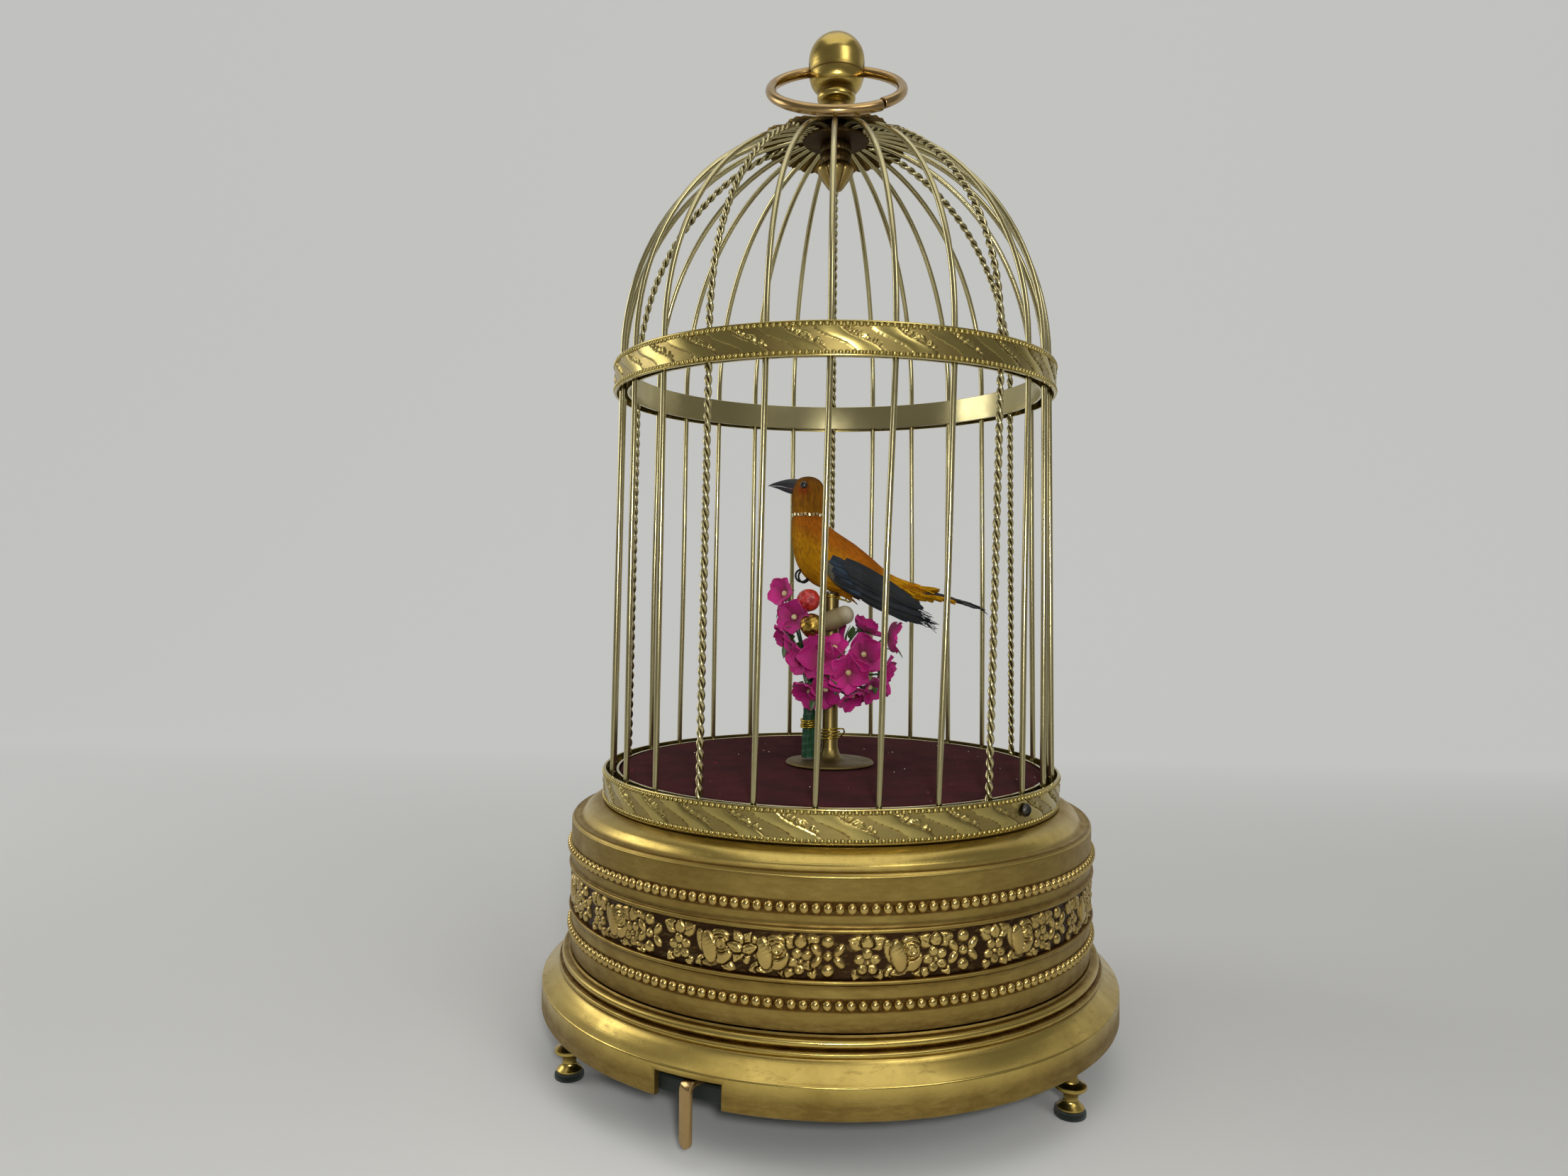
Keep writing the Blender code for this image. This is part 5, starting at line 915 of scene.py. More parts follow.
def build_drum(sizes):
    """The drum wall with its fillets, the rounded shoulder, two bead rows and the frieze."""
    wall = WALL_RADIUS
    profile = [(wall - 1.2, 26.6), (wall - 1.1, 30.2), (wall, DRUM_LOW), (wall, 33.5)]
    profile += [(wall, LOWER_BEADS + rise) for rise in (-1.8, -1.4, 0.0, 1.4, 1.8)]
    profile += [(wall, 39.2), (wall, 40.4)]
    profile += arc(wall + 0.05, 41.2, 0.6, -80, 80, 8)
    profile += [(wall - 0.75, 41.9), (wall - 0.8, FRIEZE_MIDDLE), (wall - 0.75, 51.9)]
    profile += arc(wall + 0.05, 52.6, 0.6, -80, 80, 8)
    profile += [(wall, 53.4), (wall, 54.6)]
    profile += [(wall, UPPER_BEADS + rise) for rise in (-1.8, -1.4, 0.0, 1.4, 1.8)]
    profile += [(wall, 61.0), (wall, 63.6)]
    profile += arc(wall - 0.35, CREASE - 0.45, 0.35, 0, 80, 4)
    profile += arc(70.7, 66.9, 2.1, -60, -125, 6)
    profile += [(68.9, 66.0), (68.4, 66.9), (67.4, 67.75), (66.3, 68.35), (65.2, 68.75), (64.6, 69.0),
                (63.6, DRUM_HIGH), (56.0, DRUM_HIGH), (56.0, 68.0), (64.0, 67.6), (70.0, 64.0), (71.2, 62.0),
                (71.2, 31.0), (70.1, 30.6), (70.1, 26.6)]
    piece = turned("drum_wall", profile, 200)
    radius, _, z = rounds(piece)
    # Painted dark reflection, with some tarnish: the whole upright wall below the crease is darker than the
    # shoulder
    dark = 0.48 * (z < 64.3)
    for height in (LOWER_BEADS, UPPER_BEADS):
        dark = np.maximum(dark, 0.9 * (np.abs(z - height) < 1.5))
    for height, spread, depth in ((40.6, 0.5, 0.8), (53.3, 0.5, 0.8), (30.4, 0.9, 0.8), (65.0, 0.5, 0.6),
                                  (69.0, 0.7, 0.55)):
        dark = np.maximum(dark, depth * soft(z, height, spread))
    dark = np.maximum(dark, (np.abs(z - FRIEZE_MIDDLE) < 5.2) * 1.0)
    dark[(radius < 71.4) & (z < 64.5)] = 0.8
    tint(piece, dark)
    finished(shade(piece, 38), "turned_polished_brass", nodes=["base_drum"])
    for name, z in (("drum_lower_beads", LOWER_BEADS), ("drum_upper_beads", UPPER_BEADS)):
        count = round(math.tau * wall * MM / sizes.drum_bead_pitch)
        beads = bead_row(name, wall - 0.05, z, 2.42, 2.85, 1.15, count, 14, 8)
        finished(beads, "stamped_patinated_brass")
    build_frieze()


def ribbon_place(v):
    """How far a ribbon's middle lies to the left at a height from -1 to 1 over the field."""
    return -4.9 * v - 0.7 * np.sin(v * math.pi)


def build_band(name, radius, low, repeats, node, sizes):
    """A stamped band: S-shaped ribbons between panels of roses and daisies, beads on both edges."""
    middle = low + BAND_HEIGHT / 2
    field = BAND_HEIGHT / 2 - 1.35
    strip = Relief(radius - 0.42, middle - field - 0.05, middle + field + 0.05, 1300, 26)
    pitch = strip.round / repeats
    for k in range(repeats):
        azimuth = 360.0 * (k + 0.5) / repeats
        if k % 2:
            strip.stamp(rose, azimuth, middle, turn=70, reach=4.0, size=1.55)
        else:
            strip.stamp(blossom, azimuth, middle, petals=8, reach=4.0, size=1.6)
        for way in (-1, 1):
            side = azimuth + way * math.degrees(-2.6 / radius)
            z = middle + way * 1.35
            for lean, long, wide in ((150, 2.6, 0.6), (185, 1.7, 0.55), (110, 1.5, 0.55), (250, 1.6, 0.5),
                                     (25, 1.4, 0.45)):
                strip.stamp(leaf_shape, side, z, turn=lean + (180 if way < 0 else 0), reach=4.0,
                            long=long, wide=wide, veins=2.0)
    strip.height *= 0.6
    u, v = np.meshgrid(strip.u, (strip.v - middle) / field)
    across = (u - ribbon_place(v)) % pitch
    half = pitch * 0.25
    away = np.abs(across - half) / half
    ribbon = 0.14 + 0.2 * np.sqrt(np.clip(1.0 - away ** 2, 0.0, 1.0))
    strip.height = np.where(away < 0.97, ribbon, np.where(away < 1.1, 0.0, strip.height + 0.1))
    piece = strip.build(name + "_relief", 0.0, 0.14)
    finished(piece, "stamped_aged_brass")

    # Half the wall's outline, from its edge to its middle: how far in, and how far from the middle
    half = [(0.7, 4.1), (0.1, 4.1), (0.0, 3.95), (0.0, 3.75), (0.35, 3.5), (0.35, field - 0.1),
            (0.45, field - 0.1)]
    outline = [(radius - inward, middle - away) for inward, away in half]
    outline += [(radius - inward, middle + away) for inward, away in reversed(half)]
    wall = turned(name + "_wall", outline, 160)
    finished(wall, "stamped_aged_brass", nodes=[node])
    count = round(math.tau * radius * MM / sizes.band_bead_pitch)
    for side, z in (("low", middle - 3.25), ("high", middle + 3.25)):
        beads = bead_row(f"{name}_{side}_beads", radius - 0.35, z, 1.34, 1.3, 0.6, count, 8, 6)
        finished(beads, "stamped_aged_brass")


def build_inner_band(name, bar_circle, low):
    """The plain hoop behind the bars, with softly rounded edges."""
    outside = bar_circle - 1.45
    profile = [(outside - 0.6, low), (outside - 0.1, low), (outside, low + 0.1), (outside, low + 7.3),
               (outside - 0.1, low + 7.4), (outside - 0.6, low + 7.4), (outside - 0.7, low + 7.3),
               (outside - 0.7, low + 0.1)]
    piece = turned(name + "_hoop", profile, 144)
    return finished(piece, "drawn_aged_brass", nodes=[name])


def bar_line(azimuth, end_radius, pitch):
    """The middle line of a bar, sampled about a pitch apart: a straight run, then a quarter ellipse."""
    last = math.acos(end_radius / MIDDLE_BAR_CIRCLE)
    foot = BAND_LOW + BAND_HEIGHT - 6.8
    dense = [(BAR_CIRCLE, foot), (MIDDLE_BAR_CIRCLE, DOME_BASE)]
    for turn in np.linspace(0.0, last, 61)[1:]:
        dense.append((MIDDLE_BAR_CIRCLE * math.cos(turn), DOME_BASE + DOME_HEIGHT * math.sin(turn)))
    dense = np.array(dense)
    travelled = np.concatenate([[0.0], np.cumsum(np.hypot(*np.diff(dense, axis=0).T))])
    count = max(2, round(travelled[-1] / pitch))
    along = np.linspace(0.0, travelled[-1], count + 1)
    radii, heights = (np.interp(along, travelled, column) for column in dense.T)
    return [polar(radius, azimuth, z) for radius, z in zip(radii, heights)]


def lean_over(piece, azimuth):
    """Turn a bar to its azimuth and lean it as the photo's bars do: at the front and on the right its head
    stands further round than its foot, at the far left less far."""
    x, y, z = corners(piece).T
    front = math.sqrt(max(math.cos(math.radians(azimuth)), 0.0))
    at_front, more_at_right, head = 2.4, 4.2, 183.0
    lean = front * (at_front + more_at_right * math.sin(math.radians(azimuth)))
    x, y = leaned(x, y, -np.radians(azimuth + lean * (climb(z, BAR_FOOT, head) - 0.6)))
    return move_corners(piece, np.c_[x, y, z])


def plain_azimuths():
    """Where the plain bars stand, evenly between one twisted bar and the next."""
    azimuths = []
    for start, end, count in zip(TWISTED, (*TWISTED[1:], TWISTED[0] + 360.0), PLAIN_BETWEEN):
        azimuths += [start + (end - start) * k / (count + 1) for k in range(1, count + 1)]
    return azimuths


def build_plain_bars(sizes):
    """Twenty-two drawn wires, one modelled and copied round, each very slightly bowed by hand."""
    first = wire("plain_bar", bar_line(0.0, 9.0, 4.0), sizes.plain_wire / 2 / MM, resolution=3)
    bars = []
    for k, azimuth in enumerate(plain_azimuths()):
        twin = copy_of(first)
        co = corners(twin)
        co[:, 0] += 0.35 * math.sin(k * 2.7) * np.sin(climb(co[:, 2], BAR_FOOT, 181.0) * math.pi) ** 2
        bars.append(lean_over(move_corners(twin, co), azimuth))
    bpy.data.objects.remove(first)
    washer = turned("crown_washer", [
        (1.8, CROWN_TOP - 2.2), (9.1, CROWN_TOP - 2.2), (9.5, CROWN_TOP - 1.8), (9.5, CROWN_TOP - 0.4),
        (9.1, CROWN_TOP), (1.8, CROWN_TOP)], 64)
    tint(washer, np.ones(len(washer.data.vertices)))
    finished(washer, "blackened_stamped_brass")
    piece = join("plain_bar_wires", bars)
    return finished(piece, "drawn_aged_brass", nodes=["plain_bars"])


def build_twisted_bars(sizes):
    """Two drawn wires twisted together, five times round the cage."""
    pitch = sizes.twist_pitch / MM
    strand = 0.51
    steps = 14
    middle = bar_line(0.0, 10.9, pitch / steps)
    strands = []
    for phase in (0.0, math.pi):
        points = []
        for i, point in enumerate(middle):
            ahead = (middle[min(i + 1, len(middle) - 1)] - middle[max(i - 1, 0)]).normalized()
            side = Vector((1.0, 0.0, 0.0))
            up = side.cross(ahead)
            turn = math.tau * i / steps + phase
            points.append(point + (side * math.cos(turn) + up * math.sin(turn)) * strand * 0.94)
        strands.append(wire("strand", points, strand, resolution=2))
    first = join("twisted_pair", strands)
    line_points = np.array(middle)
    away = np.array([np.sqrt(((line_points - at) ** 2).sum(axis=1).min()) for at in corners(first)])
    # Painted shade: each strand is darkened on its inner side, in the valleys between the two strands
    tint(first, climb(away, 0.85, 0.25))
    for number, azimuth in enumerate(TWISTED, 1):
        twin = lean_over(copy_of(first), azimuth)
        twin.name = f"twisted_bar_wires_{number}"
        finished(twin, "drawn_aged_brass", nodes=[f"twisted_bar_{number}"])
    bpy.data.objects.remove(first)


def build_crown_rosette():
    """A stamped umbrella of twelve ribbed leaves, thin, dark and drooping at its scalloped edge."""
    leaves = 12
    inner, outer = 1.9, 21.4

    def shape(u, v):
        turn = u * math.tau
        radius = inner + (outer - inner) * v
        leaf = np.abs(np.cos(turn * leaves / 2))
        share = (radius / outer) ** 2
        reach = radius * (1.0 - 0.1 * share * (1.0 - leaf ** 0.7))
        umbrella = np.interp(
            radius, (inner, 6.0, 9.0, 12.0, 17.0, outer), (260.5, 259.6, 258.3, 257.25, 255.7, 254.0))
        rib = 0.22 * share ** 0.5 * np.cos(turn * leaves * 5) * (v > 0.08)
        gutter = -0.3 * share * soft(leaf, 0.0, 0.22)
        curl = 0.2 * np.sin(turn * 5 + 0.7) * share
        z = umbrella + rib + gutter + curl + 0.5 * share * leaf
        return reach * np.sin(turn), -reach * np.cos(turn), z

    piece = shaped("crown_rosette_leaves", 360, 18, shape, 1e-6)
    thicken(piece, 0.5)
    radius, turn, _ = rounds(piece)
    tint(piece, 0.45 - 0.35 * np.cos(turn * leaves * 5) + 0.6 * climb(radius, 13.0, 9.0))
    return finished(shade(piece, 70), "blackened_stamped_brass", nodes=["crown_rosette"])


def build_crown_nut():
    """The nut under the crown: a dark collar over a cup of six petals that closes to a point."""
    table = np.array([
        (3.0, 254.6), (4.2, 254.6), (4.4, 254.4), (4.4, 252.3), (4.1, 252.0), (4.35, 251.7), (4.35, 249.4),
        (4.1, 249.0), (4.2, 248.6), (5.3, 247.7), (5.5, 247.0), (5.2, 246.2), (4.6, 245.2), (3.9, 244.2),
        (3.2, 243.3), (2.6, 242.4), (1.9, 241.6), (0.9, 241.1), (0.0, 240.9)])

    def shape(u, v):
        turn = u * math.tau
        radius, z = columns_at(table, v)
        petal = np.abs(np.cos(turn * 3)) ** 0.6
        cup = climb(z, 248.4, 247.4) * climb(radius, 0.0, 2.0)
        knurl = 0.1 * np.cos(turn * 24) * (z > 250.2) * (z < 252.4)
        reach = radius * (1.0 - 0.17 * cup * (1.0 - petal)) + knurl
        return reach * np.sin(turn), -reach * np.cos(turn), z - 0.5 * cup * (1.0 - petal) * (z > 246.5)

    piece = tube("crown_nut_petals", 96, len(table) - 1, shape)
    _, turn, z = rounds(piece)
    tint(piece, np.where(z > 248.4, 0.85, 0.25 + 0.6 * (1.0 - np.abs(np.cos(turn * 3)) ** 0.5)))
    return finished(shade(piece, 50), "stamped_patinated_brass", nodes=["crown_nut"])


def ball_reach(drop):
    """How far the ball reaches out at a drop below its middle, where it is fuller than a sphere."""
    return BALL_RADIUS * (1.0 - (drop / 9.6) ** 3.5) ** (1 / 3.5)


def build_finial():
    """The turned post, collar and polished ball, bored across for the carrying ring."""
    base = 261.3
    profile = [(0.0, 256.0), (1.45, 256.0)] + [(radius, base + rise) for radius, rise in (
        (1.45, -0.1), (5.4, -0.1), (5.8, 0.2), (5.9, 0.7), (5.4, 1.3), (4.5, 1.8), (3.9, 2.5), (3.55, 3.4),
        (3.5, 4.1), (3.8, 4.6), (4.6, 5.1), (5.25, 5.6), (5.45, 6.1), (5.45, 7.1), (5.2, 7.5), (4.9, 7.7))]
    for drop in (8.95, 8.6, 8.0, 7.2, 6.2, 5.0, 4.05, 3.9, 3.75, 2.5, 1.2):
        notch = 0.12 if drop == 3.9 else 0.0
        profile.append((ball_reach(drop) - notch, BALL_CENTRE - drop))
    profile += [(max(r, 0.0), z) for r, z in arc(0.0, BALL_CENTRE, BALL_RADIUS, 0, 90, 16)]
    piece = turned("finial_ball", profile, 96, 35)
    bore(piece, 2.0, (0, 0, BAIL_AXIS), vertices=40, depth=24.0, lean=math.pi / 2)
    x, y, z = corners(piece).T
    dark = 0.9 * soft(z, base + 7.8, 0.4) + 0.8 * soft(z, base + 4.0, 0.6)
    dark += 0.9 * soft(z, BALL_CENTRE - 3.9, 0.2)
    dark += 0.9 * soft(np.hypot(y, z - BAIL_AXIS), 2.0, 0.5) * (np.abs(x) > 6)
    tint(piece, dark)
    return finished(shade(piece, 35), "turned_polished_brass", nodes=["finial"])


def build_bail(sizes):
    """The carrying ring of thick wire, hanging forward, its two ends butted at the right of the front."""
    tilt = math.radians(40.4)
    ring = 18.0
    seam = 48.0
    down = Vector((0.0, -math.cos(tilt), -math.sin(tilt)))
    half_chord = ball_reach(BALL_CENTRE - BAIL_AXIS)
    sagitta = ring - math.sqrt(ring ** 2 - half_chord ** 2)
    centre = Vector((0.0, 0.0, BAIL_AXIS)) + down * (ring - sagitta / 2)
    normal = down.cross(Vector((1.0, 0.0, 0.0)))
    points = []
    for share in np.linspace(0.0, 1.0, 97):
        # The two butted ends leave one degree between them
        turn = math.radians(seam + 0.5 + 359.0 * share)
        drift = 0.22 * (share - 0.5) ** 3 * 8
        outward = Vector((math.cos(turn), 0.0, 0.0)) + down * math.sin(turn)
        points.append(centre + outward * (ring + drift * 0.5) + normal * drift)
    piece = ease(wire("bail_wire", points, sizes.bail_wire / 2 / MM, resolution=5), 0.18)
    return finished(piece, "drawn_bail_wire", body="bail", nodes=["bail_ring"])


def build_screws():
    """Round slotted screw heads, one modelled and copied to the three places of the lower band."""
    profile = [(0.0, 1.25), (0.55, 1.2), (1.05, 0.98), (1.45, 0.6), (1.66, 0.2), (1.7, 0.0), (0.8, 0.0),
               (0.8, -7.2), (0.5, -7.5), (0.0, -7.5)]
    first = turned("screw_head", profile, 32, 35)
    cut(first, slab("slot_guide", (4.0, 0.42, 1.1), (0, 0, 1.2)))
    for number, azimuth in enumerate(SCREWS, 1):
        outward = polar(1.0, azimuth)
        turn = outward.to_track_quat("Z", "Y").to_matrix().to_4x4() @ Matrix.Rotation(0.9 * number, 4, "Z")
        seat = Matrix.Translation(polar(CAGE_RADIUS + 0.3, azimuth, 73.9) * MM)
        twin = copy_of(first, seat @ turn)
        twin.name = f"band_screw_slotted_{number}"
        finished(twin, "blued_screw_steel", nodes=[f"band_screw_{number}"])
    bpy.data.objects.remove(first)


def build_velvet():
    """The velvet floor with its rolled edge, and a scatter of glitter caught in the pile."""
    profile = [(2.4, 69.6), (59.2, 69.6), (59.3, 70.0), (59.3, 76.4), (59.1, 76.9), (58.6, 77.2),
               (57.8, FLOOR_TOP), (2.4, FLOOR_TOP)]
    piece = turned("velvet_covered_floor", profile, 128, 40)
    finished(piece, "burgundy_velvet_pile", nodes=["velvet_floor"])
    rng = np.random.default_rng(11)
    deselect()
    bpy.ops.mesh.primitive_circle_add(vertices=6, radius=1.0 * MM, fill_type="NGON")
    flake = added("flake")
    for name, count, finish in (("glitter_white", 46, "silver_glitter_film"),
                                ("glitter_red", 34, "red_glitter_film")):
        places = []
        for _ in range(count):
            spot = polar(14.0 + 44.0 * math.sqrt(rng.random()), rng.random() * 360, FLOOR_TOP + 0.1)
            turn = Matrix.Rotation(rng.normal(0, 0.5), 4, "X") @ Matrix.Rotation(rng.normal(0, 0.5), 4, "Y")
            places.append(laid(spot, turn, 0.1 + 0.14 * rng.random()))
        finished(multiplied(name, flake, places, keep=True), finish)
    bpy.data.objects.remove(flake)


def build_perch():
    """The perch: a thin tube with a turned saucer flange."""
    low = FLANGE_LOW
    profile = [(1.7, 68.4), (2.2, 68.4), (2.2, low)] + [(radius, low + rise) for radius, rise in (
        (12.1, 0.0), (12.5, 0.1), (12.6, 0.35), (12.3, 0.75), (11.4, 0.95), (8.5, 0.9), (5.6, 0.95),
        (4.2, 1.3), (3.2, 2.1), (2.6, 3.4), (2.25, 4.8))]
    profile += [(2.2, 100.0), (2.2, BIRD_Z - 0.1), (2.1, BIRD_Z), (1.7, BIRD_Z)]
    piece = turned("perch_turned_tube", profile, 64, 35)
    radius, _, z = rounds(piece)
    tint(piece, 0.25 * (radius > 2.6) + 0.4 * soft(z, low + 1.2, 0.6))
    return finished(shade(piece, 35), "perch_tube_brass", nodes=["perch_tube"])


def interpolated(rows, count):
    """Rows of numbers run through by a smooth curve and sampled again evenly."""
    table = np.array(rows, dtype=float)
    at = np.linspace(0.0, len(table) - 1, count)
    low = np.clip(at.astype(int), 0, len(table) - 2)
    t = (at - low)[:, None]
    before = table[np.clip(low - 1, 0, len(table) - 1)]
    first = table[low]
    second = table[low + 1]
    after = table[np.clip(low + 2, 0, len(table) - 1)]
    return 0.5 * (2 * first + (second - before) * t + (2 * before - 5 * first + 4 * second - after) * t ** 2
                  + (3 * first - before - 3 * second + after) * t ** 3)


def streaks(u, v, seed, fine=60):
    """Smooth noise that runs along v, for feather strokes: values about 0, one per point."""
    rng = np.random.default_rng(seed)
    total = np.zeros_like(u)
    for _ in range(14):
        a = rng.integers(fine // 4, fine)
        b = rng.normal(0, 4.0)
        total += np.sin(math.tau * (a * u + b * v + rng.random())) / 14 * rng.uniform(0.6, 2.2)
    return total


def over_perch(piece):
    """The piece's x, y and height over the perch."""
    x, y, z = corners(piece).T
    return x, y, z - BIRD_Z


def build_bird_body():
    """The body: a teardrop of feathers from the collar to the rump, stroked downwards and back."""
    # Each row: the front or belly point (x, z over the perch), the back point, half the width
    rows = [(-11.2, 22.2, -2.6, 22.3, 4.0), (-11.5, 20.4, -1.7, 19.9, 4.6), (-11.6, 16.8, 0.8, 17.9, 5.3),
            (-11.2, 13.3, 4.0, 15.8, 5.9), (-10.3, 9.4, 7.2, 13.6, 6.2), (-8.4, 5.6, 10.2, 11.2, 6.2),
            (-5.4, 2.8, 13.2, 8.6, 5.9), (-1.0, 0.9, 16.0, 6.2, 5.4), (4.5, -0.6, 18.2, 5.0, 4.6),
            (10.5, -0.6, 20.5, 4.1, 3.6), (16.0, 0.1, 22.4, 3.4, 2.5), (19.6, 1.2, 22.6, 3.0, 1.5),
            (20.8, 2.4, 23.8, 3.2, 0.6), (22.6, 3.0, 24.0, 3.1, 0.05)]
    table = interpolated(rows, 64)

    def shape(u, v):
        front_x, front_z, back_x, back_z, half = columns_at(table, v)
        turn = u * math.tau
        out = 1.0 + 0.1 * streaks(u, v, 3, 70) / np.maximum(half, 1.5)
        away = -0.5 * np.cos(turn) * out
        return ((front_x + back_x) / 2 + (back_x - front_x) * away, half * np.sin(turn) * out,
                BIRD_Z + (front_z + back_z) / 2 + (back_z - front_z) * away)

    piece = tube("bird_body_feathers", 96, 63, shape)
    x, y, z = over_perch(piece)
    color = mixed("#C48808", "#AA5E08", climb(z + 0.62 * x, 9.5, 14.5))
    color = mixed(color, "#CC9008", climb(x, 13.0, 19.0))
    color = mixed(color, "#A26C08", climb(x, -9.0, -12.0) * 0.5)
    color = mixed(color, "#8C5208", climb(z, 3.0, -1.0) * (x > 0) * 0.6)
    stroke = streaks(np.arctan2(y, z - 8 + 0.6 * x) / math.tau, (x + 12) / 40, 5, 90)
    color = mixed(color, "#7A4A10", np.clip(stroke * 1.4 - 0.12, 0, 0.55))
    dye_and_painted_light(piece, color)
    finished(shade(piece, 80), "dyed_body_feathers", nodes=["bird_body"])


def build_wisps():
    """Loose feather tips: over the rump, along its underside and on the flanks."""
    barb = feather("barb", 1.0, 0.13, 5, 0.06, 2)
    rng = np.random.default_rng(5)
    places, tones = [], []

    def lay(x, y, z, yaw, pitch, length, color):
        roll = math.degrees(rng.normal(0, 0.5))
        places.append(laid((x, y, BIRD_Z + z), turns(Z=yaw, Y=-pitch, X=roll), length, 0.8, 0.8))
        tones.append(rgb(color))

    yellow = ("#C68E08", "#BC8007", "#CF980B", "#A86C06")
    brown = ("#9A6006", "#A86C06", "#784A0A")
    for _ in range(130):
        share = rng.random()
        around = rng.random() * math.tau
        lay(17.0 + 7.0 * share, 2.4 * (1 - share * 0.8) * math.sin(around),
            1.9 + (2.2 - 1.9 * share) * math.cos(around) * 0.8, rng.normal(0, 6),
            -13 + rng.normal(0, 5) - 4 * math.cos(around), 4.2 + 3.4 * rng.random(), yellow[rng.integers(4)])
    for _ in range(46):
        lay(22.0 + 7.5 * rng.random(), rng.normal(0, 0.7), 0.1 - rng.random() * 0.5, rng.normal(0, 3),
            -11 + rng.normal(0, 3), 4.5 + 3.0 * rng.random(), yellow[rng.integers(4)])
    for _ in range(90):
        x = 2.0 + 14.0 * rng.random()
        side = rng.choice((-1, 1))
        lay(x, side * (4.2 - 0.16 * x + 0.4 * rng.random()), 0.6 - 0.05 * x + rng.normal(0, 0.5),
            side * rng.normal(2, 5), -24 + rng.normal(0, 8), 2.6 + 2.2 * rng.random(), brown[rng.integers(3)])
    piece = multiplied("bird_loose_feathers", barb, places, tones)
    finished(shade(piece, 60), "dyed_body_feathers")


def feather(name, length, width, rows, droop, columns=4):
    """A feather blade along x, in millimetres: pointed, a little arched, thin at its edges."""
    def shape(u, v):
        half = width * np.sin(math.pi * np.clip(0.08 + 0.92 * v, 0, 1) ** 0.75) ** 0.7
        side = 2 * u - 1
        return length * v, half * side, -droop * length * v ** 2 + 0.25 * half * (1 - side ** 2)
    blade = shaped(name, columns, rows, shape, 1e-8)
    return thicken(blade, 0.02 * max(length, 4.0))


def build_wings():
    """Two folded wings: a blue-black cover over nine long flight feathers that fan at the tip."""
    top = interpolated([(-1.6, 11.6), (0.6, 12.6), (4.0, 11.6), (7.5, 9.2), (13.2, 4.8), (18.0, 1.2),
                        (21.5, -1.4)], 30)
    bottom = interpolated([(-2.2, 7.6), (-0.6, 4.4), (2.5, 1.6), (7.6, -1.2), (14.0, -3.4), (17.5, -4.8),
                           (20.0, -6.2)], 30)
    for side, name in ((-1, "near"), (1, "far")):
        def shape(u, v):
            turn = u * math.tau
            across = 0.5 - 0.5 * np.cos(turn)
            x, z = columns_at(top, v) + (columns_at(bottom, v) - columns_at(top, v)) * across
            swell = np.sin(math.pi * np.clip(0.06 + 0.94 * v, 0, 1)) ** 0.5
            swell = swell * np.sin(turn) * (1 + 0.07 * streaks(u, v, 9, 40))
            return x, side * (5.5 - 0.15 * np.maximum(x, 0) + swell), BIRD_Z + z
        cover = tube(f"bird_wing_{name}_cover", 40, 29, shape)
        x, _, z = over_perch(cover)
        color = mixed("#10181F", "#06080B", climb(x, 4.0, 20.0))
        # Painted sheen: lighter blue-grey strokes over the blue-black cover
        stroke = streaks((z + 0.5 * x) / 12, x / 40, 12, 40)
        color = mixed(color, "#3C5468", np.clip(stroke * 1.5 - 0.25, 0, 0.55))
        dye_and_painted_light(cover, mixed(color, "#5B563A", climb(x, 3.5, -0.5) * 0.9))
        shade(cover, 80)
        blade = feather("flight", 1.0, 0.1, 10, 0.04)
        rng = np.random.default_rng(21 if side < 0 else 22)
        places, tones = [], []
        # The flight feathers
        for k in range(9):
            share = k / 8
            root = (3.5 + 5.5 * share, side * (5.7 + 0.35 * (k % 2) - 0.96 * share), BIRD_Z + 8.8 - 1.25 * k)
            reach = 25.5 - 8.0 * share + rng.normal(0, 0.4)
            lean = turns(Z=side * -2.5, Y=28.0 - 6.0 * share + rng.normal(0, 1.0), X=side * -72.0)
            places.append(laid(root, lean, reach, 0.75, 0.6))
            tones.append(rgb(("#0E1318", "#090C10", "#131A21")[k % 3]))
        # Small feathers that lie on the cover
        for _ in range(60):
            x = -0.5 + 20.0 * rng.random()
            z = 10.4 - 0.58 * x - rng.random() * 6.0
            lean = turns(Z=side * -3.0, Y=27 + rng.normal(0, 5), X=side * -75.0)
            spot = (x, side * (6.45 - 0.15 * max(x, 0)), BIRD_Z + z)
            places.append(laid(spot, lean, 4.5 + 3.0 * rng.random()))
            tones.append(rgb(("#131C25", "#1A2733", "#0B0F14", "#2A3D4E")[rng.integers(4)]))
        # Frayed tips
        for _ in range(34):
            x = 22.5 + 5.0 * rng.random()
            z = -4.4 - 0.62 * (x - 22.0) + rng.normal(0, 1.0)
            lean = turns(Z=rng.normal(0, 4), Y=24 + rng.normal(0, 9))
            length = 2.2 + 1.6 * rng.random()
            places.append(laid((x, side * (3.0 + rng.normal(0, 0.25)), BIRD_Z + z), lean, length, 0.5, 0.5))
            tones.append(rgb("#11161C"))
        fan = multiplied(f"bird_wing_{name}_fan", blade, places, tones)
        shade(fan, 60)
        wing = join(f"bird_wing_{name}_feathers", [cover, fan])
        finished(wing, "dyed_wing_feathers")


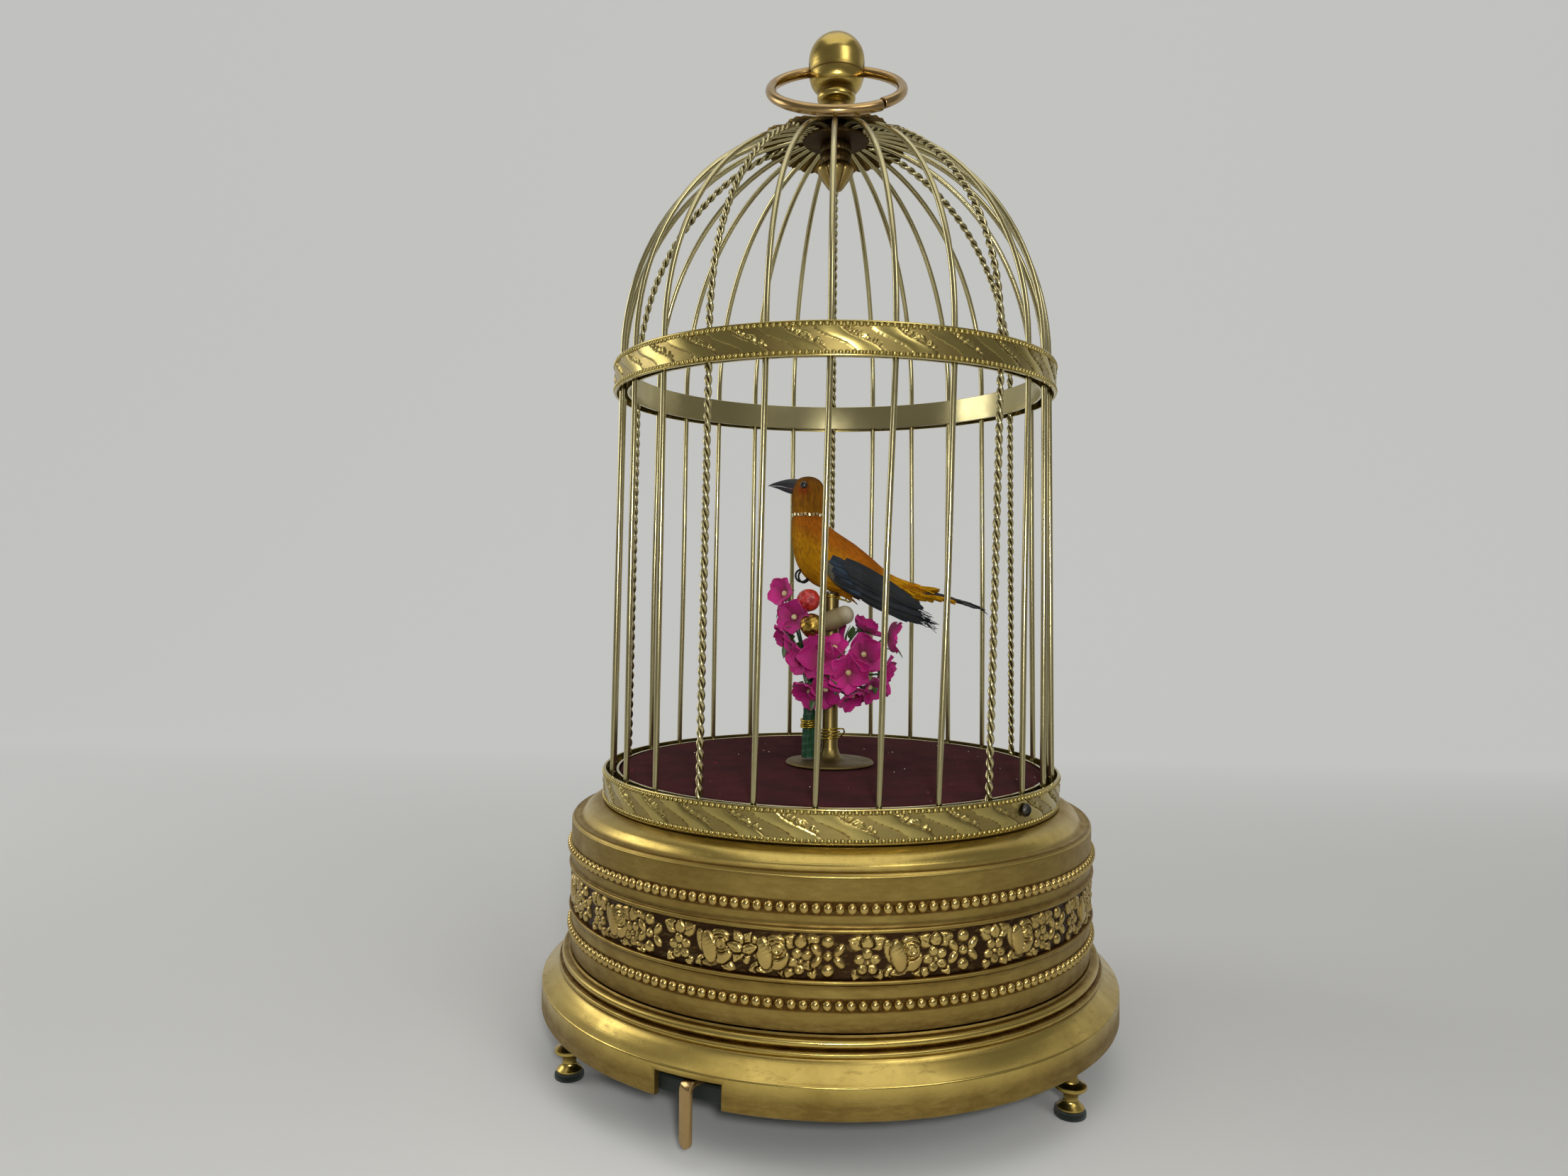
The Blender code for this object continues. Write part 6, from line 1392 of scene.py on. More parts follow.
def build_head():
    """The turning head: a blunt brown dome of short feathers with glass eyes and the upper beak."""
    rows = [(22.6, 4.2, 4.0), (24.4, 4.5, 4.2), (27.0, 4.65, 4.3), (29.4, 4.6, 4.25), (31.0, 4.25, 4.0),
            (32.2, 3.45, 3.3), (33.0, 2.2, 2.2), (33.35, 1.0, 1.0), (33.45, 0.02, 0.02)]
    table = interpolated(rows, 30)

    def shape(u, v):
        z, half_x, half_y = columns_at(table, v)
        turn = u * math.tau
        out = 1.0 + 0.012 * streaks(u, v, 31, 50)
        return NECK_X + half_x * np.cos(turn) * out, half_y * np.sin(turn) * out, BIRD_Z + z

    piece = tube("bird_head_feathers", 64, 29, shape)
    x, y, z = over_perch(piece)
    color = mixed("#95600F", "#70450D", climb(z, 29.0, 33.0))
    cheek = soft(x, -8.2, 1.8) * soft(z, 29.2, 1.5)
    color = mixed(color, "#8A3A10", np.clip(cheek * 1.2, 0, 0.85))
    color = mixed(color, "#A8700A", climb(z, 25.0, 22.0) * 0.7)
    stroke = streaks(np.arctan2(y, x + 7) / math.tau, z / 40, 33, 60)
    color = mixed(color, "#5E3510", np.clip(stroke * 1.5 - 0.05, 0, 0.6))
    dye_and_painted_light(piece, color)
    finished(shade(piece, 80), "dyed_body_feathers", body="head", nodes=["bird_head"])

    beak_rows = [(-9.0, 32.6, 29.6, 2.3), (-10.6, 32.75, 29.7, 2.15), (-12.2, 32.7, 30.1, 1.85),
                 (-13.8, 32.45, 30.5, 1.5), (-15.4, 32.0, 30.75, 1.08), (-16.9, 31.5, 30.75, 0.62),
                 (-17.9, 31.05, 30.65, 0.28), (-18.4, 30.75, 30.55, 0.05)]
    upper = beak_half("bird_upper_beak_horn", beak_rows)
    finished(upper, "black_painted_beak", body="head")

    eyes = []
    for side in (-1, 1):
        eye = ball("eye", 20, 12, 1.05)
        co = corners(eye)
        co[:, 1] *= 0.62
        move_corners(eye, co + np.array((-8.05, side * 3.98, BIRD_Z + 30.7)))
        eyes.append(eye)
    beads = shade(join("bird_glass_eyes", eyes), 60)
    finished(beads, "dark_glass_eye", body="head")


def beak_half(name, rows):
    """Half a beak from rows of (x, ridge height, edge height, half width): ridged one way, flat the other."""
    table = interpolated(rows, 20)

    def shape(u, v):
        x, ridge, edge, half = columns_at(table, v)
        turn = u * math.tau
        over = np.clip(-np.cos(turn), 0, 1) ** 0.75
        return x, half * np.sin(turn), BIRD_Z + edge + (ridge - edge) * over

    piece = tube(name, 24, 19, shape)
    return shade(piece, 45)


def build_lower_beak():
    """The lower half of the beak, which opens on its hinge inside the head, with a pink mouth."""
    rows = [(-9.6, 28.1, 29.5, 1.9), (-11.0, 28.2, 29.5, 1.75), (-12.4, 28.55, 29.85, 1.5),
            (-13.9, 29.1, 30.25, 1.15), (-15.4, 29.75, 30.5, 0.8), (-16.8, 30.2, 30.55, 0.42),
            (-17.7, 30.4, 30.52, 0.15)]
    horn = beak_half("bird_lower_beak_horn", rows)
    finished(horn, "black_painted_beak", body="lower_beak", nodes=["bird_lower_beak"])

    def shape(u, v):
        x = -10.6 - 5.6 * v
        half = 1.2 * (1 - v ** 1.5) + 0.1
        return x, half * (2 * u - 1), BIRD_Z + 29.62 + 0.92 * v + 0.06 * (1 - (2 * u - 1) ** 2)
    tongue = shaped("bird_mouth_lining", 6, 8, shape)
    thicken(tongue, 0.14)
    finished(shade(tongue, 60), "pink_mouth_paint", body="lower_beak")


def build_tail():
    """The long dark tail feathers under a yellow fringe, drooping to one thin curved tip."""
    # Each row: x and height of the middle, half the width, half the thickness
    rows = [(22.1, 1.3, 1.3, 0.85), (26.5, 0.3, 1.6, 0.8), (31.8, -0.6, 1.4, 0.7), (36.0, -1.9, 1.1, 0.55),
            (39.5, -2.9, 0.85, 0.42), (42.4, -3.9, 0.6, 0.32), (44.6, -5.6, 0.12, 0.08)]
    table = interpolated(rows, 40)

    def shape(u, v):
        x, z, half, thick = columns_at(table, v)
        turn = u * math.tau
        return x, half * np.cos(turn), BIRD_Z + z + thick * np.sin(turn) * (1 + 0.1 * streaks(u, v, 41, 20))

    quill = tube("bird_tail_quill", 24, 39, shape)
    x, _, z = over_perch(quill)
    color = mixed("#3A2E18", "#14171A", climb(x, 22.0, 22.0 + 22.0 / 3))
    below = climb(z - np.interp(x, table[:, 0], table[:, 1]), 0.0, -0.3) * (x < 33.5)
    dye_and_painted_light(quill, mixed(color, "#C08408", below * 0.9))
    shade(quill, 80)
    blade = feather("tail_barb", 1.0, 0.12, 6, 0.1, 2)
    rng = np.random.default_rng(61)
    places, tones = [], []
    for _ in range(46):
        x = 23.5 + 14.0 * rng.random()
        z = float(np.interp(x, table[:, 0], table[:, 1]))
        slope = math.degrees(math.atan2(1.0, 4.6)) + (x - 23.0) * 0.5
        spin = turns(Z=rng.normal(0, 2.5), Y=slope + rng.normal(0, 2), X=math.degrees(rng.random() * 6))
        yellow = x < 31 and rng.random() < 0.55
        drop = -0.5 if yellow else 0.15
        length = 4.0 + 3.0 * rng.random()
        places.append(laid((x, rng.normal(0, 0.4), BIRD_Z + z + drop), spin, length, 0.7, 0.7))
        tones.append(rgb("#C08408" if yellow else "#181A1C"))
    fringe = multiplied("bird_tail_fringe", blade, places, tones)
    shade(fringe, 60)
    tail = join("bird_tail_feathers", [quill, fringe])
    finished(tail, "dyed_wing_feathers", body="tail", nodes=["bird_tail"])


def build_collar():
    """The neck's collar: a string of tiny gilt squares, each a bevelled chip."""
    chip = slab("chip", (0.5, 0.84, 0.95))
    apply_modifier(chip, "BEVEL", width=0.00014, segments=1)
    places = []
    for k in range(24):
        turn = math.tau * (k + 0.5) / 24
        height = BIRD_Z + 22.35 + 0.12 * math.sin(k * 2.3)
        spot = (NECK_X + 4.42 * math.cos(turn), 4.2 * math.sin(turn), height)
        tip = math.degrees(0.2 * math.sin(k * 3.1))
        places.append(laid(spot, turns(Z=math.degrees(turn), X=tip), 1.0))
    piece = multiplied("bird_gilt_collar", chip, places)
    finished(shade(piece, 30), "gilt_foil_chip")


def build_bird_wires(sizes):
    """The feet, two small loops of black wire at the belly, and a curl of gilt wire at the perch."""
    loops = []
    for side, centre in ((-1, (-8.5, -1.3, 131.2)), (1, (-8.0, 1.4, 131.0))):
        points = []
        for step in range(33):
            turn = math.radians(-60 + 380 * step / 32)
            points.append((centre[0] + 1.75 * math.cos(turn) * (1.0 if side < 0 else 0.85),
                           centre[1] + side * 0.25 * step / 32, centre[2] + 1.75 * math.sin(turn)))
        points += [(points[-1][0] + 1.2, points[-1][1], points[-1][2] + 0.3),
                   (points[-1][0] + 2.4, points[-1][1], points[-1][2] + 0.9)]
        loops.append(wire("foot_loop", points, 0.3, resolution=2))
    piece = join("bird_foot_loops", loops)
    finished(piece, "black_annealed_wire")

    points = []
    for step in range(61):
        turn = math.tau * 1.6 * step / 60
        points.append(((2.6 + 0.1 * step / 60) * math.cos(turn), (2.6 + 0.1 * step / 60) * math.sin(turn),
                       BIRD_Z - 1.2 + 0.9 * step / 60))
    y = points[-1][1]
    for step in range(1, 22):
        turn = math.radians(200 + 380 * step / 21)
        points.append((5.0 + 0.85 * math.cos(turn), y * (1 - step / 21) - 2.2 * step / 21,
                       BIRD_Z - 1.6 + 0.75 * math.sin(turn)))
    curl = wire("perch_gilt_curl", points, sizes.gilt_wire / 2 / MM, resolution=2)
    finished(curl, "bright_gilt_wire")


def petal_blade():
    """One cupped paper petal along x, one millimetre long, with painted shade deepening towards the root."""
    def shape(u, v):
        side = 2 * u - 1
        half = 0.56 * np.sin(math.pi * np.clip(0.1 + 0.82 * v, 0, 1) ** 0.9) ** 0.75
        reach = v * (1.0 - 0.12 * side ** 2 * v)
        cup = 0.1 * v + 0.42 * v ** 2.2 - 0.2 * v ** 4 + 0.2 * side ** 2 * v * (1.0 - 0.35 * v)
        ruffle = 0.03 * np.sin(side * 5.0 + 1.0) * v ** 2
        return reach, half * side, cup + ruffle
    petal = shaped("petal", 8, 8, shape, 1e-8)
    co = corners(petal)
    # Painted shade: the petal darkens towards its root, deep in the flower's cup
    deep = np.clip(co[:, 0] / 0.55, 0, 1)
    dye_and_painted_light(petal, mixed("#8C0B5C", "#FFFFFF", deep ** 1.2))
    return thicken(petal, 0.035)


def build_flowers(colors):
    """Twenty paper flowers of five or six cupped petals, each with a creamy eye, on wired stems."""
    # x, y, z of the eye, petal length, upward tilt, azimuth that the flower faces, petals
    flowers = [(-13.6, -4.2, 126.2, 4.3, 12, -40, 5), (-10.6, -6.6, 119.6, 4.5, 8, -25, 5),
               (-12.6, -4.0, 113.4, 4.3, -25, -75, 5), (-2.6, -9.0, 108.2, 5.6, 6, -8, 6),
               (9.4, -8.0, 109.4, 5.0, 10, 25, 5), (5.0, -10.4, 104.3, 5.4, -4, 8, 6),
               (9.6, -3.4, 116.6, 4.2, 55, 60, 5), (17.2, -1.4, 113.8, 4.6, -8, 95, 5),
               (15.2, -2.2, 103.4, 4.8, -12, 80, 6), (-6.2, -6.0, 98.2, 4.5, -28, -50, 5),
               (-1.4, -7.2, 99.2, 4.4, -20, -5, 5), (6.4, -5.8, 97.2, 4.6, -48, 40, 5),
               (1.2, -7.4, 111.4, 3.6, 40, 20, 5), (-6.4, 9.0, 107.2, 4.6, 0, 205, 5),
               (6.4, 9.4, 104.4, 4.6, 0, 150, 5), (0.2, 8.2, 114.4, 4.4, 25, 180, 5),
               (-8.2, -5.6, 107.6, 4.2, -8, -45, 5), (0.8, -8.6, 103.4, 4.0, -12, 0, 5),
               (11.4, -5.2, 99.6, 4.2, -25, 40, 5), (-10.4, -3.6, 110.2, 3.8, -30, -60, 5)]
    petal = petal_blade()
    rng = np.random.default_rng(77)
    places, tones, eyes = [], [], []
    for x, y, z, length, tilt, azimuth, count in flowers:
        facing = turns(Z=azimuth, X=90 - tilt)
        spin = rng.random() * math.tau
        base = Vector((x, y, z)) - facing.to_3x3() @ Vector((0, 0, 1.0))
        length *= 1.22
        shade_of = 0.82 + 0.3 * rng.random()
        for k in range(count):
            turn = spin + math.tau * k / count + rng.normal(0, 0.07)
            lift = math.radians(-12 + 14 * (k % 2) + rng.normal(0, 5))
            size = length * (1.0 + rng.normal(0, 0.05))
            seat = Matrix.Translation(base) @ facing @ Matrix.Rotation(turn, 4, "Z")
            tip = Matrix.Rotation(lift, 4, "Y") @ Matrix.Rotation(rng.normal(0, 0.1), 4, "X")
            places.append(seat @ laid((0, 0, 0.16 * (k % 2)), tip, size, 1.0 if count == 5 else 0.86))
            tone = shade_of * (1.0 + rng.normal(0, 0.06))
            tones.append(tuple(c * tone for c in rgb(colors.paper_magenta)))
        eyes.append((base + facing.to_3x3() @ Vector((0, 0, 0.55)), facing))
    blooms = multiplied("bouquet_paper_petals", petal, places, tones)
    finished(shade(blooms, 70), "crimped_magenta_paper", nodes=["bouquet"])

    knob = ball("knob", 12, 8)
    centres = multiplied("bouquet_flower_eyes", knob, [
        laid(spot, facing, 0.82, 1.0, 0.6 / 0.82) for spot, facing in eyes])
    finished(shade(centres, 60), "cream_stamen_paste")
    build_leaves(flowers)


def build_leaves(flowers):
    """Small folded green paper leaves between the flowers, their sepals and their dark wired stems."""
    def shape(u, v):
        side = 2 * u - 1
        half = 0.28 * np.sin(math.pi * np.clip(0.03 + 0.97 * v, 0, 1) ** 0.8) ** 0.9
        return v, half * side, 0.14 * np.abs(side) * (1 - v) - 0.22 * v ** 2
    leaf = shaped("leaf", 4, 7, shape, 1e-8)
    thicken(leaf, 0.03)
    # x, y, z of the root, the length, azimuth and rise of the tip, roll
    leaves = [(-13.0, -4.2, 123.0, 4.6, -80, -45, 20), (-6.0, -8.2, 105.4, 4.4, -30, -62, -30),
              (-1.2, -10.8, 104.0, 4.4, 60, -28, 10), (1.2, -8.2, 101.8, 4.0, 10, -70, 30),
              (-7.6, -6.2, 101.0, 3.8, -75, -8, 0), (2.2, -9.6, 107.6, 4.2, 40, 55, 20),
              (9.0, -4.6, 114.6, 4.0, 30, 20, 0), (6.0, -4.6, 113.4, 4.6, -10, 65, 40),
              (17.4, -1.6, 111.4, 4.4, 80, -35, 0), (12.0, -3.6, 102.6, 4.8, 40, -70, 20),
              (-12.4, -4.2, 111.6, 4.0, -50, -62, 0), (-9.6, -5.4, 115.6, 3.8, -60, 30, 20),
              (4.4, -4.0, 113.0, 4.4, 25, 85, 60), (12.6, -3.2, 110.4, 4.2, 70, 15, 10),
              (-4.4, -7.0, 96.6, 3.6, -40, -55, 0), (3.0, -7.4, 99.6, 3.8, 70, -50, 0)]
    places = []
    for x, y, z, length, azimuth, rise, roll in leaves:
        aim = polar(math.cos(math.radians(rise)), azimuth, math.sin(math.radians(rise)))
        aim = aim.to_track_quat("X", "Z").to_matrix().to_4x4()
        places.append(laid((x, y, z), aim @ turns(X=roll), length))
    for x, y, z, _, tilt, azimuth, _ in flowers:
        facing = turns(Z=azimuth, X=90 - tilt)
        for k in range(4):
            spot = Vector((x, y, z)) - facing.to_3x3() @ Vector((0, 0, 1.5))
            places.append(laid(spot, facing @ Matrix.Rotation(math.tau * k / 4 + x, 4, "Z"), 2.6, 3.2 / 2.6))
    piece = multiplied("bouquet_paper_leaves", leaf, places)
    finished(shade(piece, 50), "waxed_green_paper")

    stems = []
    for x, y, z, _, _, azimuth, _ in flowers:
        back = polar(1.6, azimuth)
        root = Vector((-5.9 + 0.5 * math.sin(x * 3), -0.3 + 0.5 * math.cos(x * 5), 100.6))
        start = Vector((x, y, z)) - back
        bend = Vector((start.x * 0.55 - 2.0, start.y * 0.6 + (3.0 if y > 0 else -0.6),
                       start.z * 0.45 + root.z * 0.55 + 1.0))
        if abs(bend.x) < 3.4 and abs(bend.y) < 3.4:
            bend.y = -3.9 if y <= 0 else 3.9
        points = [start.lerp(bend, t) * (1 - t) + bend.lerp(root, t) * t for t in np.linspace(0, 1, 15)]
        stems.append(wire("stem", points, 0.32, resolution=1))
    piece = join("bouquet_wired_stems", stems)
    finished(piece, "dark_green_taped_wire")


def build_berries():
    """A red lacquered strawberry, a crinkled gold one, and a long frosted bud laid across the perch."""
    def crinkled(name, centre, radius, depth, count, seed, tall):
        berry = ball(name, 56, 36)
        co = corners(berry)
        rng = np.random.default_rng(seed)
        spots = rng.normal(size=(count, 3))
        spots /= np.linalg.norm(spots, axis=1)[:, None]
        near = np.max(co @ spots.T, axis=1)
        height = climb(near, math.cos(math.radians(16)), 1.0)
        co *= (1.0 + depth * (height - 0.5))[:, None]
        co *= (radius, radius, radius * tall)
        move_corners(berry, co + np.array(centre))
        tint(berry, 1.0 - height)
        return shade(berry, 80)

    red = crinkled("bouquet_red_strawberry", (-6.4, -6.2, 124.2), 3.35, 0.05, 90, 3, 0.96)
    finished(red, "lacquered_red_berry")
    gold = crinkled("bouquet_gold_berry", (-5.4, -7.8, 117.2), 3.35, 0.07, 130, 4, 1.0)
    finished(gold, "crinkled_gold_foil")

    start = Vector((-3.6, -6.6, 117.2))
    end = Vector((6.2, -5.2, 121.2))
    table = interpolated([(0.0, 0.05), (0.5, 1.5), (1.6, 2.35), (3.4, 2.75), (5.4, 2.8), (7.0, 2.65),
                          (8.6, 2.6), (9.7, 2.1), (10.4, 1.2), (10.7, 0.05)], 40)

    def shape(u, v):
        x, radius = columns_at(table, v)
        return x, radius * np.cos(u * math.tau), radius * np.sin(u * math.tau)
    bud = shaped("bouquet_frosted_bud", 48, 39, shape, 1e-6)
    co = corners(bud)
    color = mixed("#6E5E3C", "#857650", climb(co[:, 0], 0.0, 5.0))
    dye_and_painted_light(bud, mixed(color, "#B3A88C", climb(co[:, 0], 6.4, 8.8)))
    co = co @ np.array((end - start).to_track_quat("X", "Z").to_matrix()).T
    move_corners(bud, co + np.array(start))
    finished(shade(bud, 80), "frosted_wax_bud")


def build_stem_bundle():
    """The bundle of stems, wound with green paper tape that leaves a spiral of soft ridges."""
    def shape(u, v):
        turn = u * math.tau
        z = 79.15 + 21.4 * v
        ridge = 0.12 * ((z / 2.1 - u) % 1.0) ** 2
        lump = 0.1 * np.sin(3 * turn + 4 * v) + 0.08 * np.sin(5 * turn - 9 * v)
        radius = (1.75 + ridge + lump) * (1.0 - 0.22 * climb(v, 0.55, 1.0))
        return -6.3 + 0.4 * v + radius * np.cos(turn), -0.4 * v + radius * np.sin(turn), z
    piece = tube("bouquet_taped_bundle", 40, 70, shape)
    x, y, z = corners(piece).T
    stroke = streaks(np.arctan2(y, x + 6.2) / math.tau, z / 30, 51, 30)
    color = mixed("#1A5030", "#0D3020", climb(z, 90.0, 98.0))
    dye_and_painted_light(piece, mixed(color, "#0C2A1C", np.clip(stroke * 1.3, 0, 0.6)))
    finished(shade(piece, 60), "green_florist_tape")


def build_binding(sizes):
    """Soft gilt wire: four tight turns round the bundle, four loose ones round the perch, ends left out."""
    points = []
    steps = 16
    for step in range(4 * steps + 1):
        turn = math.tau * step / steps + 0.4
        wobble = 0.12 * math.sin(step * 1.3)
        points.append((-6.1 + (2.2 + wobble) * math.cos(turn), -0.2 + (2.2 + wobble) * math.sin(turn),
                       90.4 - 0.62 * step / steps + 0.35 * math.sin(turn + 1.0)))
    for step in range(1, 4 * steps + 1):
        turn = math.tau * step / steps + 0.4
        wobble = 0.25 * math.sin(step * 0.9)
        centre = -6.1 * max(0.0, 1 - step / 8)
        radius = 2.2 + min(step / 8, 1.0) * 0.45 + wobble * min(step / 8, 1.0)
        points.append((centre + radius * math.cos(turn), radius * math.sin(turn),
                       87.9 - 0.85 * step / steps + 0.5 * math.sin(turn + 2.2)))
    x, y, z = points[-1]
    points += [(x + 0.8, y - 0.6, z + 0.8), (x + 1.5, y - 1.4, z + 1.9), (x + 1.2, y - 1.9, z + 2.8),
               (x + 0.3, y - 2.0, z + 2.9)]
    piece = wire("binding_gilt_wire", points, sizes.gilt_wire / 2 / MM, resolution=2)
    finished(piece, "bright_gilt_wire", nodes=["binding_wire"])


def build_lever():
    """The start and stop lever: a flat brass strip that bends down over the board to a rounded finger tab."""
    pivot = Vector(LEVER_PIVOT)
    bend = polar(81.1, NOTCH).xy
    along = (bend - pivot).normalized()
    reach = (bend - pivot).length
    across = Vector((-along.y, along.x))
    top = 19.7
    # Each point: how far out from the pivot, the height and half the width
    path = [(out, top - 0.6, half) for out, half in (
        (-7.0, 0.4), (-6.4, 1.2), (-5.0, 1.6), (0.0, 1.6), (20.0, 1.6), (reach - 3.4, 1.6))]
    for turn in range(0, 91, 15):
        lean = math.radians(turn)
        path.append((reach - 2.4 + 1.8 * math.sin(lean), top - 2.4 + 1.8 * math.cos(lean), 1.6))
    path += [(reach - 0.6, z, half) for z, half in (
        (12.0, 1.6), (8.0, 1.6), (6.3, 1.6), (5.6, 1.35), (5.1, 0.9), (4.9, 0.3))]
    table = np.array(path)
    ahead = np.gradient(table[:, :2], axis=0)
    ahead /= np.linalg.norm(ahead, axis=1)[:, None]
    section = np.array([(-1, -1), (-1, 1), (1, 1), (1, -1), (-1, -1)])

    def shape(u, v):
        out, z, half = columns_at(table, v)
        ahead_out, ahead_z = columns_at(ahead, v)
        side, lift = columns_at(section, u) * (half, np.full_like(u, 0.58))
        out = out - ahead_z * lift
        z = z + ahead_out * lift
        return pivot.x + along.x * out + across.x * side, pivot.y + along.y * out + across.y * side, z

    strip = tube("lever_strip", 4, len(path) - 1, shape, 1e-7)
    bore(strip, 1.6, (pivot.x, pivot.y, top))
    ease(strip, 0.2)
    strip.name = "start_stop_lever_strip"
    finished(shade(strip, 40), "drawn_bail_wire", body="stop_lever", nodes=["start_stop_lever"])


def build_feet():
    """Three turned feet on felt pads: one of each modelled and copied."""
    profile = [(0.0, 17.6), (1.5, 17.6), (1.6, 17.4), (1.6, 9.0), (1.9, 8.4), (3.0, 8.0), (3.75, 7.7),
               (3.9, 7.3), (3.85, 6.9), (3.4, 6.5), (2.5, 6.2), (2.0, 5.8), (1.85, 5.2), (1.75, 4.6),
               (1.8, 4.0), (2.2, 3.3), (2.9, 2.7), (3.25, 2.4), (3.3, 2.1), (3.1, 1.9), (0.0, 1.9)]
    foot = turned("foot", profile, 40, 35)
    z = corners(foot)[:, 2]
    tint(foot, 0.8 * soft(z, 5.6, 0.8) + 0.5 * (z > 8.2))
    edge = [(0.0, 1.6), (3.4, 1.6), (3.65, 1.5), (3.8, 1.25), (3.8, 0.4), (3.65, 0.1), (3.4, 0.0), (0.0, 0.0)]
    pad = turned("pad", edge, 40, 50)
    for number, azimuth in enumerate(FEET, 1):
        move = Matrix.Translation(polar(FOOT_CIRCLE, azimuth) * MM)
        for first, name, finish, node, slot in (
                (foot, "foot_turned", "turned_polished_brass", "foot", "polished_brass"),
                (pad, "foot_felt", "black_green_felt", "foot_pad", "green_felt")):
            twin = copy_of(first, move)
            twin.name = f"{name}_{number}"
            finished(twin, finish, nodes=[f"{node}_{number}"])
    bpy.data.objects.remove(foot)
    bpy.data.objects.remove(pad)


def build_board():
    """The painted board under the drum, bored for the winding arbor and the lever's screw."""
    profile = [(0.0, 14.4), (77.1, 14.4), (77.5, 14.8), (77.5, 17.8), (77.1, 18.2), (0.0, 18.2)]
    piece = turned("bottom_board_painted", profile, 144, 40)
    for spot, radius in ((ARBOR_BORE, 2.3), (LEVER_PIVOT, 1.6)):
        bore(piece, radius, (*spot, 16.3))
    finished(shade(piece, 40), "black_green_painted_board", nodes=["bottom_board"])


def build_bellows():
    """The bellows' leather: a wedge of soft pleats between the two boards."""
    low, high = (Vector(corner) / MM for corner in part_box("bellows_leather"))
    x0, x1 = low.x, high.x
    y0, y1 = low.y, high.y
    pleats = 4

    def shape(u, v):
        ring = u * 4
        side = np.floor(ring).astype(int) % 4
        share = ring - np.floor(ring)
        fold = 0.5 - 0.5 * np.cos(v * pleats * math.tau)
        inset = 0.25 + 1.1 * fold
        z0, z1 = low.z + inset * 0.5, high.z - inset * 0.5
        left = x0 + 0.2
        right = x1 - inset
        still = 0 * share
        xs = np.choose(side, [left + (right - left) * share, right + still, right + (left - right) * share,
                              left + still])
        zs = np.choose(side, [z0 + still, z0 + (z1 - z0) * share, z1 + still, z1 + (z0 - z1) * share])
        open_share = (xs - x0) / (x1 - x0)
        ys = y0 + 0.05 + (0.3 + (y1 - y0 - 0.4) * open_share) * v
        return xs, ys, zs
    piece = shaped("bellows_pleats", 96, 40, shape, 1e-6)
    thicken(piece, 0.3, -1.0)
    shade(piece, 60)
    coat(piece, "thin_pale_bellows_leather")
    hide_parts("bellows_leather")
    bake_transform(piece)
    return piece


def dress_movement():
    """Give the movement's own parts their finishes."""
    finishes = {
        "rolled_movement_brass": (
            "movement_lower_plate", "movement_upper_plate", "spring_barrel", "centre_wheel", "crank_wheel",
            "governor_fly", "cam_stack", "whistle_tube", "winding_key"),
        "brushed_movement_steel": (
            "winding_arbor", "ratchet_click", "connecting_rod", "piston_lever", "head_lever", "beak_lever",
            "tail_lever", "head_rod", "beak_rod", "tail_rod", "whistle_piston"),
        "blued_screw_steel": ("mainspring", "lever_pivot_screw"),
        "oiled_pearwood": ("bellows_fixed_board", "bellows_moving_board"),
    }
    for finish, names in finishes.items():
        for name in names:
            coat(NODES[name], finish)


def length(name, description, default, least):
    """A length in metres that a user may change."""
    return bpy.props.FloatProperty(
        name=name, description=description, default=default, min=least, unit="LENGTH")


def color(name, description, code):
    """A colour that a user may change, its default an sRGB hex code."""
    return bpy.props.FloatVectorProperty(
        name=name, description=description, subtype="COLOR", min=0.0, max=1.0, default=linear(code))


class BirdcageSizes(bpy.types.PropertyGroup):
    """Sizes that a user would change, apart from those that the frame fixes."""

    bail_wire: length("Carrying ring wire", "Thickness of the carrying ring's wire", 0.00296, 0.001)
    plain_wire: length("Plain bar wire", "Thickness of a plain bar", 0.00152, 0.0005)
    twist_pitch: length("Twist pitch", "Length of one full turn of a twisted bar", 0.0058, 0.003)
    gilt_wire: length("Gilt wire", "Thickness of the gilt binding wire", 0.00048, 0.0002)
    drum_bead_pitch: length("Drum bead pitch", "Distance from bead to bead on the drum", 0.00264, 0.001)
    band_bead_pitch: length("Band bead pitch", "Distance from bead to bead on a band's edge", 0.00158, 0.0008)
    camera_lens: bpy.props.FloatProperty(
        name="Lens", description="Focal length of the camera in millimetres", default=24.72, min=10.0)
    world_light: bpy.props.FloatProperty(
        name="World light", description="Strength of the pale air round the object", default=0.28, min=0.0)
    lamp_light: bpy.props.FloatProperty(
        name="Lamp light", description="Share of the softboxes' plain level", default=1.0, min=0.0)


class BirdcageColors(bpy.types.PropertyGroup):
    """The finishes' main colours."""

    polished_brass: color("Polished brass", "Turned and polished brass", "#C9B061")
    aged_brass: color("Aged brass", "Bars and bands, olive with age", "#C4B98A")
    band_brass: color("Band brass", "Stamped bands, satin and greenish", "#BDAC68")
    relief_brass: color("Relief brass", "High spots of the stamped frieze", "#C8AE68")
    patina_and_shade: color("Patina", "Brown tarnish in the low places", "#3C2A1A")
    velvet: color("Velvet", "Velvet where its pile leans away", "#471B1D")
    velvet_deep: color("Velvet, deep", "Velvet where the pile is looked into", "#2A0F11")
    paper_magenta: color("Magenta paper", "The flowers' dyed paper", "#CC1A86")


class BIRDCAGE_OT_finishes(bpy.types.Operator):
    """Make every finish of the bird cage"""
    bl_idname = "birdcage.finishes"
    bl_label = "Finishes"

    def execute(self, context):
        make_materials(context.scene.birdcage_colors)
        return {"FINISHED"}


class BIRDCAGE_OT_stage(bpy.types.Operator):
    """Set up the pale floor, the soft lamps and the camera"""
    bl_idname = "birdcage.stage"
    bl_label = "Stage"

    def execute(self, context):
        build_stage(context.scene.birdcage_sizes)
        return {"FINISHED"}


